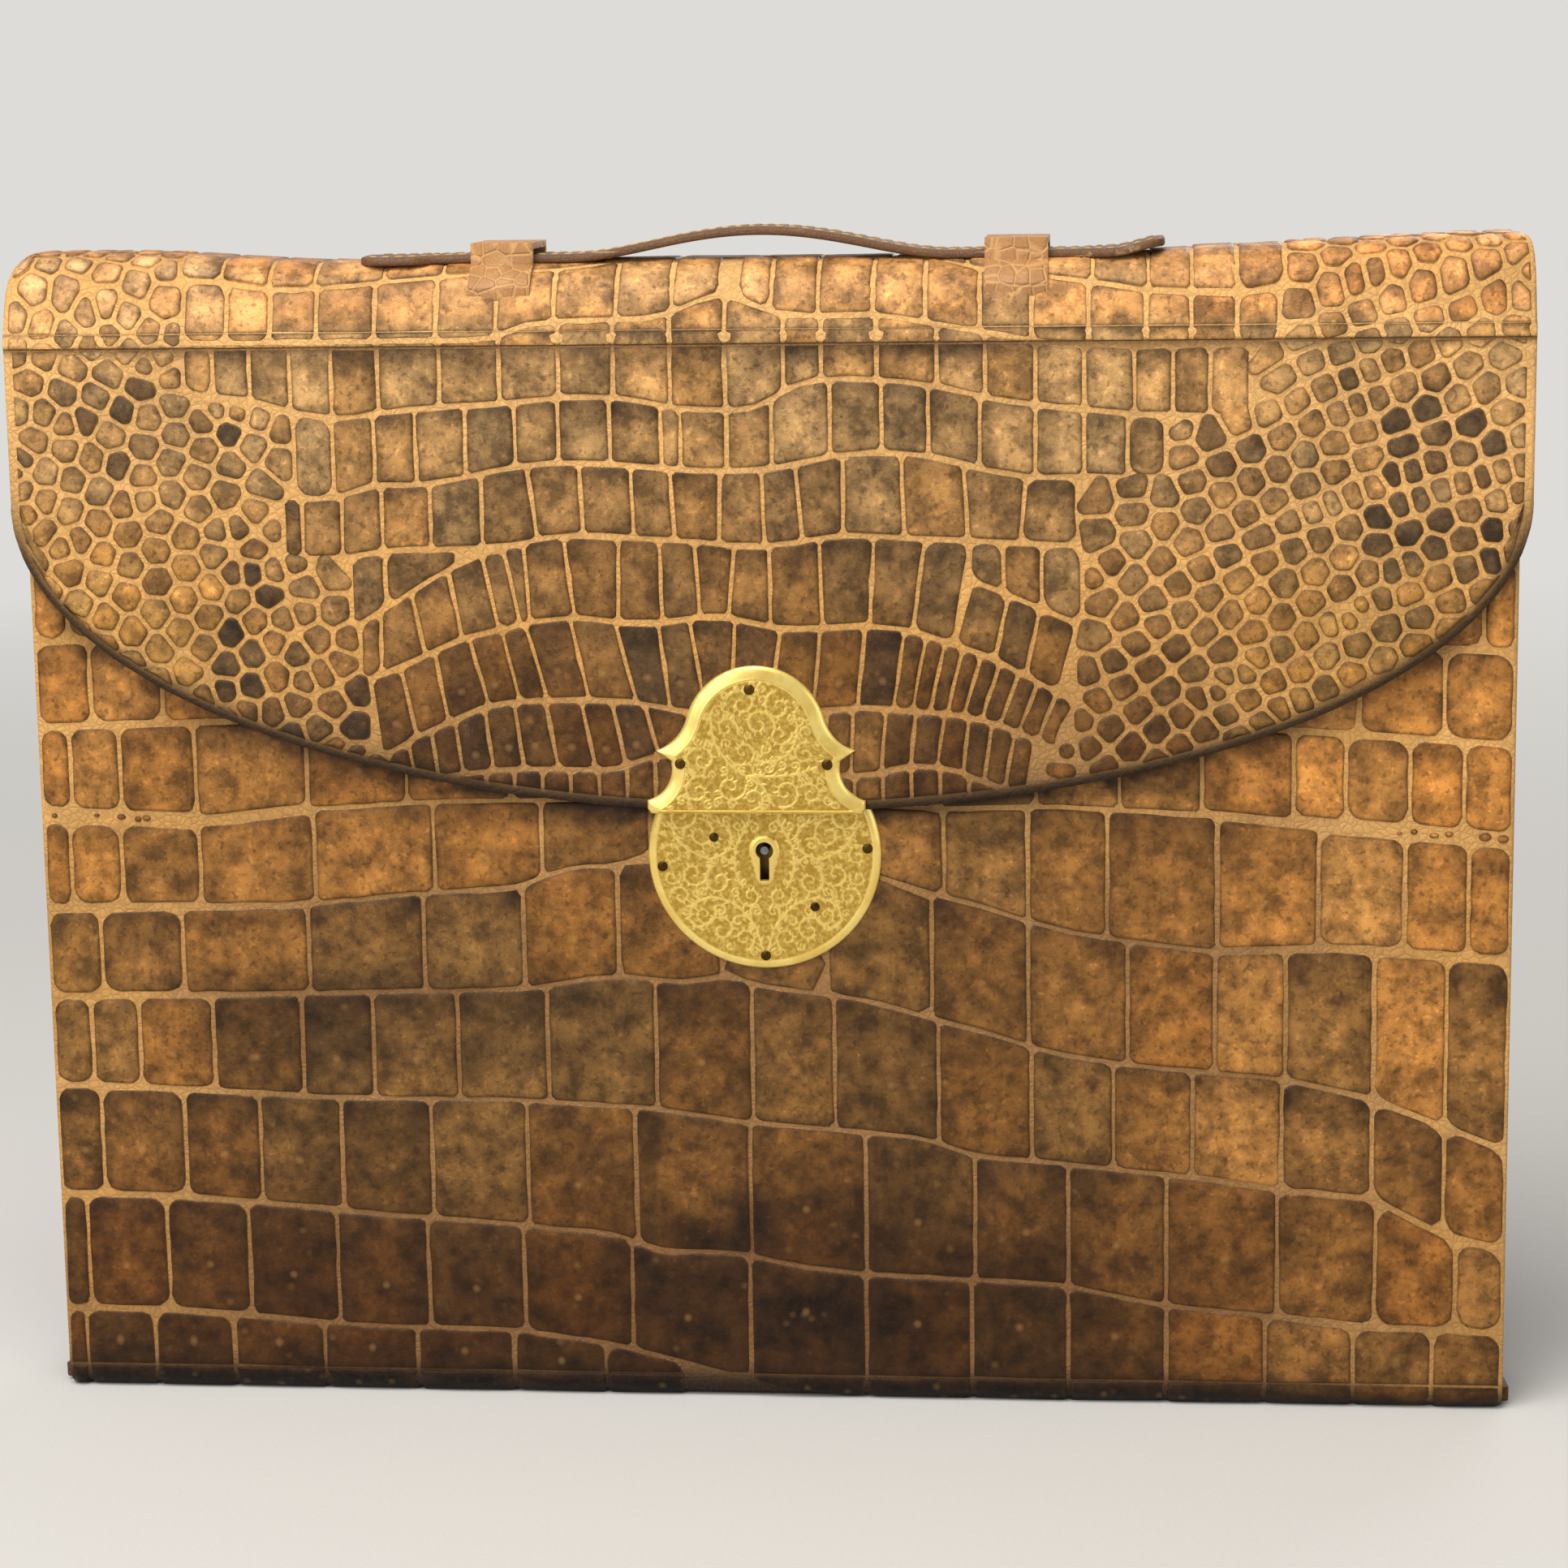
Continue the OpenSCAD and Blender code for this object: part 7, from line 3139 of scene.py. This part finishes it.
@dataclass
class Inside:
    """Linings, gussets, divider, pocket, pen loops, writing board and blotting paper.

    Attributes:
        gusset_out: Distance of the gussets' outer side from the middle, in mm.
        gusset_fold: How far they fold inwards.
        gusset_top: Their upper end.
        gusset_t: Their thickness.
        flange: Width of the flanges along the linings of front and back.
    """

    gusset_out: float = 177.0
    gusset_fold: float = 12.0
    gusset_top: float = 232.5
    gusset_t: float = 0.9
    flange: float = 8.0

    def build(self) -> None:
        """Dresses the inside."""
        lining, corner = Finish.LINING.get(), Finish.CORNER.get()
        softened("case_lining", 0.2, "case_lining_leather", lining, "lining_leather")
        softened("front_lining", 0.2, "front_lining_leather", lining, "lining_leather")
        softened("lock_pad", 0.3, "lock_pad_leather", lining, "lining_leather")
        softened("divider_cover", 0.5, "divider_leather", lining, "lining_leather")
        softened("back_pocket", 0.3, "back_pocket_leather", Finish.GUSSET.get(), "lining_leather")
        softened("pen_loops", 0.25, "pen_loop_leather", corner, "lining_leather")
        softened("writing_board", 0.4, "writing_board_leather", Finish.DESK.get(), "board_leather")
        softened("blotting_paper", 0.1, "blotting_paper_sheet", Finish.PAPER.get(), "blotting_paper")
        softened("board_corners", 0.18, "board_corner_leather", corner, "board_leather")
        for node in ("base_board", "back_board", "top_board", "front_board", "divider_board"):
            dress(node, Finish.BOARD)
        for name, side in (("left", -1), ("right", 1)):
            self.gusset(name, side)
        self.stitching()

    def gusset(self, name: str, side: int) -> None:
        """One gusset: soft leather folded inwards.

        Args:
            name: Left or right.
            side: 1 for the right, -1 for the left.
        """
        y0, y1, t = FOLD_Y, BACK_INSIDE, self.gusset_t
        out, fold = self.gusset_out, self.gusset_fold
        mid = (y0 + y1) / 2
        line = [(out - self.flange, y0 + t / 2), (out - 1.4, y0 + t / 2), (out - 0.7, y0 + t)]
        line += [
            (out - 0.7 - fold * math.sin(math.pi * k / 16), y0 + t + (y1 - y0 - 2 * t) * k / 16) for k in range(1, 16)
        ]
        line += [(out - 0.7, y1 - t), (out - 1.4, y1 - t / 2), (out - self.flange, y1 - t / 2)]
        path = np.array(line)
        path[3:18, 1] = mid + (path[3:18, 1] - mid) * (1 + 0.1 * np.abs(path[3:18, 1] - mid) / (y1 - mid))
        direction = np.gradient(path, axis=0)
        normal = np.stack([direction[:, 1], -direction[:, 0]], -1)
        normal /= np.hypot(normal[:, 0], normal[:, 1])[:, None]
        z = edge_steps(FOLD_Z + 0.2, self.gusset_top, 8.0, 0.5)
        half = 0.43

        def wall(sign: float) -> np.ndarray:
            """One face of the leather.

            Args:
                sign: 1 for the outer face, -1 for the inner.

            Returns:
                The face's grid.
            """
            grid = []
            for height in z:
                wave = 0.5 * math.sin(height / 23 + side) * np.sin(np.linspace(0, math.pi, len(path)))
                p = path + normal * (sign * half)
                grid.append(np.stack([side * (p[:, 0] - wave), p[:, 1] - MID_Y, np.full(len(p), height)], -1))
            return np.array(grid) * MM

        outer, inner = wall(1), wall(-1)
        points, faces = grid_shell(outer, inner) if side > 0 else grid_shell(outer[:, ::-1], inner[:, ::-1])
        shell = Shell()
        shell.add(points, faces)
        piece = shell.make(f"{name}_gusset_leather", Finish.GUSSET.get())
        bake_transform(piece)
        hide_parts(f"{name}_gusset")
        log.info("%s gusset", name)

    @staticmethod
    def stitching() -> None:
        """Seams of the pocket and of the divider's cover."""
        y = BACK_INSIDE - 1.4 - MID_Y - 0.05
        pocket = [[-148, y, 127.5], [-148, y, 9.4], [148, y, 9.4], [148, y, 127.5]]
        fine = [
            [np.array(a) + (np.array(b) - a) * k / 40 for k in range(41)]
            for a, b in zip(np.array(pocket)[:-1], np.array(pocket)[1:])
        ]
        Repeats.sew("pocket_stitches", "case", "lining_leather", fine, 3.4, 2.3, 0.28)
        runs = []
        for y in (22 - MID_Y - 0.05, 24.6 - MID_Y + 0.05):
            runs.append([[-158, y, 223.6], [158, y, 223.6]])
        Repeats.sew("divider_stitches", "case", "lining_leather", runs, 3.4, 2.3, 0.26)


# ---- Studio


@dataclass
class Studio:
    """Floor, lamps, world and camera.

    Attributes:
        distance: From the camera to its target, in metres.
        azimuth: To the right of the front, in degrees.
        elevation: Above the horizon.
        roll: The camera's lean.
        focal: Focal length in pixels of the 1932 pixel picture.
        target: What the camera looks at, in metres.
    """

    distance: float = 0.9
    azimuth: float = 5.4
    elevation: float = 10.25
    roll: float = -0.84
    focal: float = 4568.0
    target: tuple[float, float, float] = (0.0049, -0.01215, 0.15615)

    def build(self) -> None:
        """Sets the studio up."""
        self.camera()
        self.floor()
        self.world()
        self.lamp("overhead_softbox", (-0.25, -0.55, 1.3), (0, 0, 0.16), 0.9, 18.5)
        self.lamp("front_left_softbox", (-1.0, -1.6, 0.9), (0, 0, 0.15), 1.2, 14.0)
        self.lamp("front_right_softbox", (1.3, -1.1, 0.5), (0, 0, 0.15), 0.9, 4.0)
        self.lamp("rear_fill", (0.7, 1.7, 0.9), (0, 0, 0.15), 1.0, 8.0)
        scene = bpy.context.scene
        scene.view_settings.view_transform = "Standard"

    def camera(self) -> None:
        """The camera at the photograph's angle."""
        a, e, r = (math.radians(v) for v in (self.azimuth, self.elevation, self.roll))
        back = Vector((math.sin(a) * math.cos(e), -math.cos(a) * math.cos(e), math.sin(e)))
        right = Vector((math.cos(a), math.sin(a), 0))
        up = back.cross(right)
        right, up = right * math.cos(r) + up * math.sin(r), up * math.cos(r) - right * math.sin(r)
        data = bpy.data.cameras.new("camera")
        data.sensor_width = SENSOR
        data.lens = self.focal * SENSOR / PHOTO_PIXELS
        data.clip_start = 0.01
        cam = linked("camera", data)
        matrix = cam.matrix_world.copy()
        for k, axis in enumerate((right, up, back)):
            for j in range(3):
                matrix[j][k] = axis[j]
        place = Vector(self.target) + back * self.distance
        for j in range(3):
            matrix[j][3] = place[j]
        cam.matrix_world = matrix
        bpy.context.scene.camera = cam

    @staticmethod
    def floor() -> None:
        """A plain pale floor that rises softly into a backdrop."""
        material, n, shader = new_material("pale_floor")
        ray = n.add("ShaderNodeLightPath")
        seen = n.math("MAXIMUM", ray.outputs["Is Camera Ray"], ray.outputs["Is Glossy Ray"])
        cloth = n.noise(n.place(), 900.0, 2)
        n.join(n.tinted(cloth, srgb(202, 200, 196), srgb(210, 208, 204)), shader.inputs["Base Color"])
        far_off = n.add("ShaderNodeVectorMath", {0: n.place()}, operation="LENGTH").outputs["Value"]
        share = n.times(n.spread(far_off, 0.3, 1.7), seen)
        glow = n.add("ShaderNodeEmission", {"Color": (*srgb(222, 220, 216), 1), "Strength": 1.0})
        both = n.add("ShaderNodeMixShader", {0: share, 1: shader.outputs[0], 2: glow.outputs[0]})
        out = next(node for node in n.tree.nodes if node.type == "OUTPUT_MATERIAL")
        n.join(both.outputs[0], out.inputs["Surface"])
        shader.inputs["Roughness"].default_value = 0.9
        shader.inputs["Specular IOR Level"].default_value = 0.1
        radius, far, wide = 1.2, 2.2, 6.0
        profile = [(-5.0, 0.0), (far, 0.0)]
        profile += [
            (far + radius * math.sin(t), radius - radius * math.cos(t)) for t in np.linspace(0.1, math.pi / 2, 16)
        ]
        profile += [(far + radius, 4.5)]
        mesh = bpy.data.meshes.new("floor")
        points = [(x, y, z) for y, z in profile for x in (-wide, wide)]
        mesh.from_pydata(points, [], [[2 * i, 2 * i + 1, 2 * i + 3, 2 * i + 2] for i in range(len(profile) - 1)])
        mesh.polygons.foreach_set("use_smooth", np.ones(len(mesh.polygons), bool))
        mesh.materials.append(material)
        linked("floor", mesh)

    @staticmethod
    def world() -> None:
        """Even pale light from all round."""
        world = bpy.data.worlds.new("studio")
        bpy.context.scene.world = world
        world.use_nodes = True
        world.node_tree.nodes.clear()
        n = Nodes(world.node_tree)
        ray = n.add("ShaderNodeLightPath")
        strength = n.spread(ray.outputs["Is Camera Ray"], 0, 1, 0.32, 1.0)
        shade = n.tinted(ray.outputs["Is Camera Ray"], (0.97, 0.98, 1.0), srgb(222, 220, 216))
        sky = n.add("ShaderNodeBackground", {"Color": shade, "Strength": strength})
        n.add("ShaderNodeOutputWorld", {"Surface": sky.outputs[0]})

    @staticmethod
    def lamp(name: str, place: Sequence[float], target: Sequence[float], size: float, power: float) -> None:
        """One soft lamp.

        Args:
            name: The lamp's name.
            place: Where it stands, in metres.
            target: What it faces.
            size: Width of its square.
            power: Its power in watts.
        """
        data = bpy.data.lights.new(name, "AREA")
        data.shape = "SQUARE"
        data.size = size
        data.energy = power
        data.color = (1.0, 0.975, 0.94)
        obj = linked(name, data)
        obj.location = place
        obj.rotation_euler = (Vector(target) - Vector(place)).to_track_quat("-Z", "Y").to_euler()


def main() -> None:
    """Builds the studio and every piece in order."""
    logging.basicConfig(level=logging.INFO, format="%(message)s")
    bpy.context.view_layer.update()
    Studio().build()
    Effects.prepare()
    Repeats.prepare()
    layout = HideLayout()
    FrontPanel().build(layout.front())
    scales = layout.wrap()
    WrappedHide().build(scales)
    Flap().build(scales)
    LockPlate().build()
    HaspPlate().build()
    LockWorks().build()
    Handle().build()
    Inside().build()


if __name__ == "__main__":
    main()
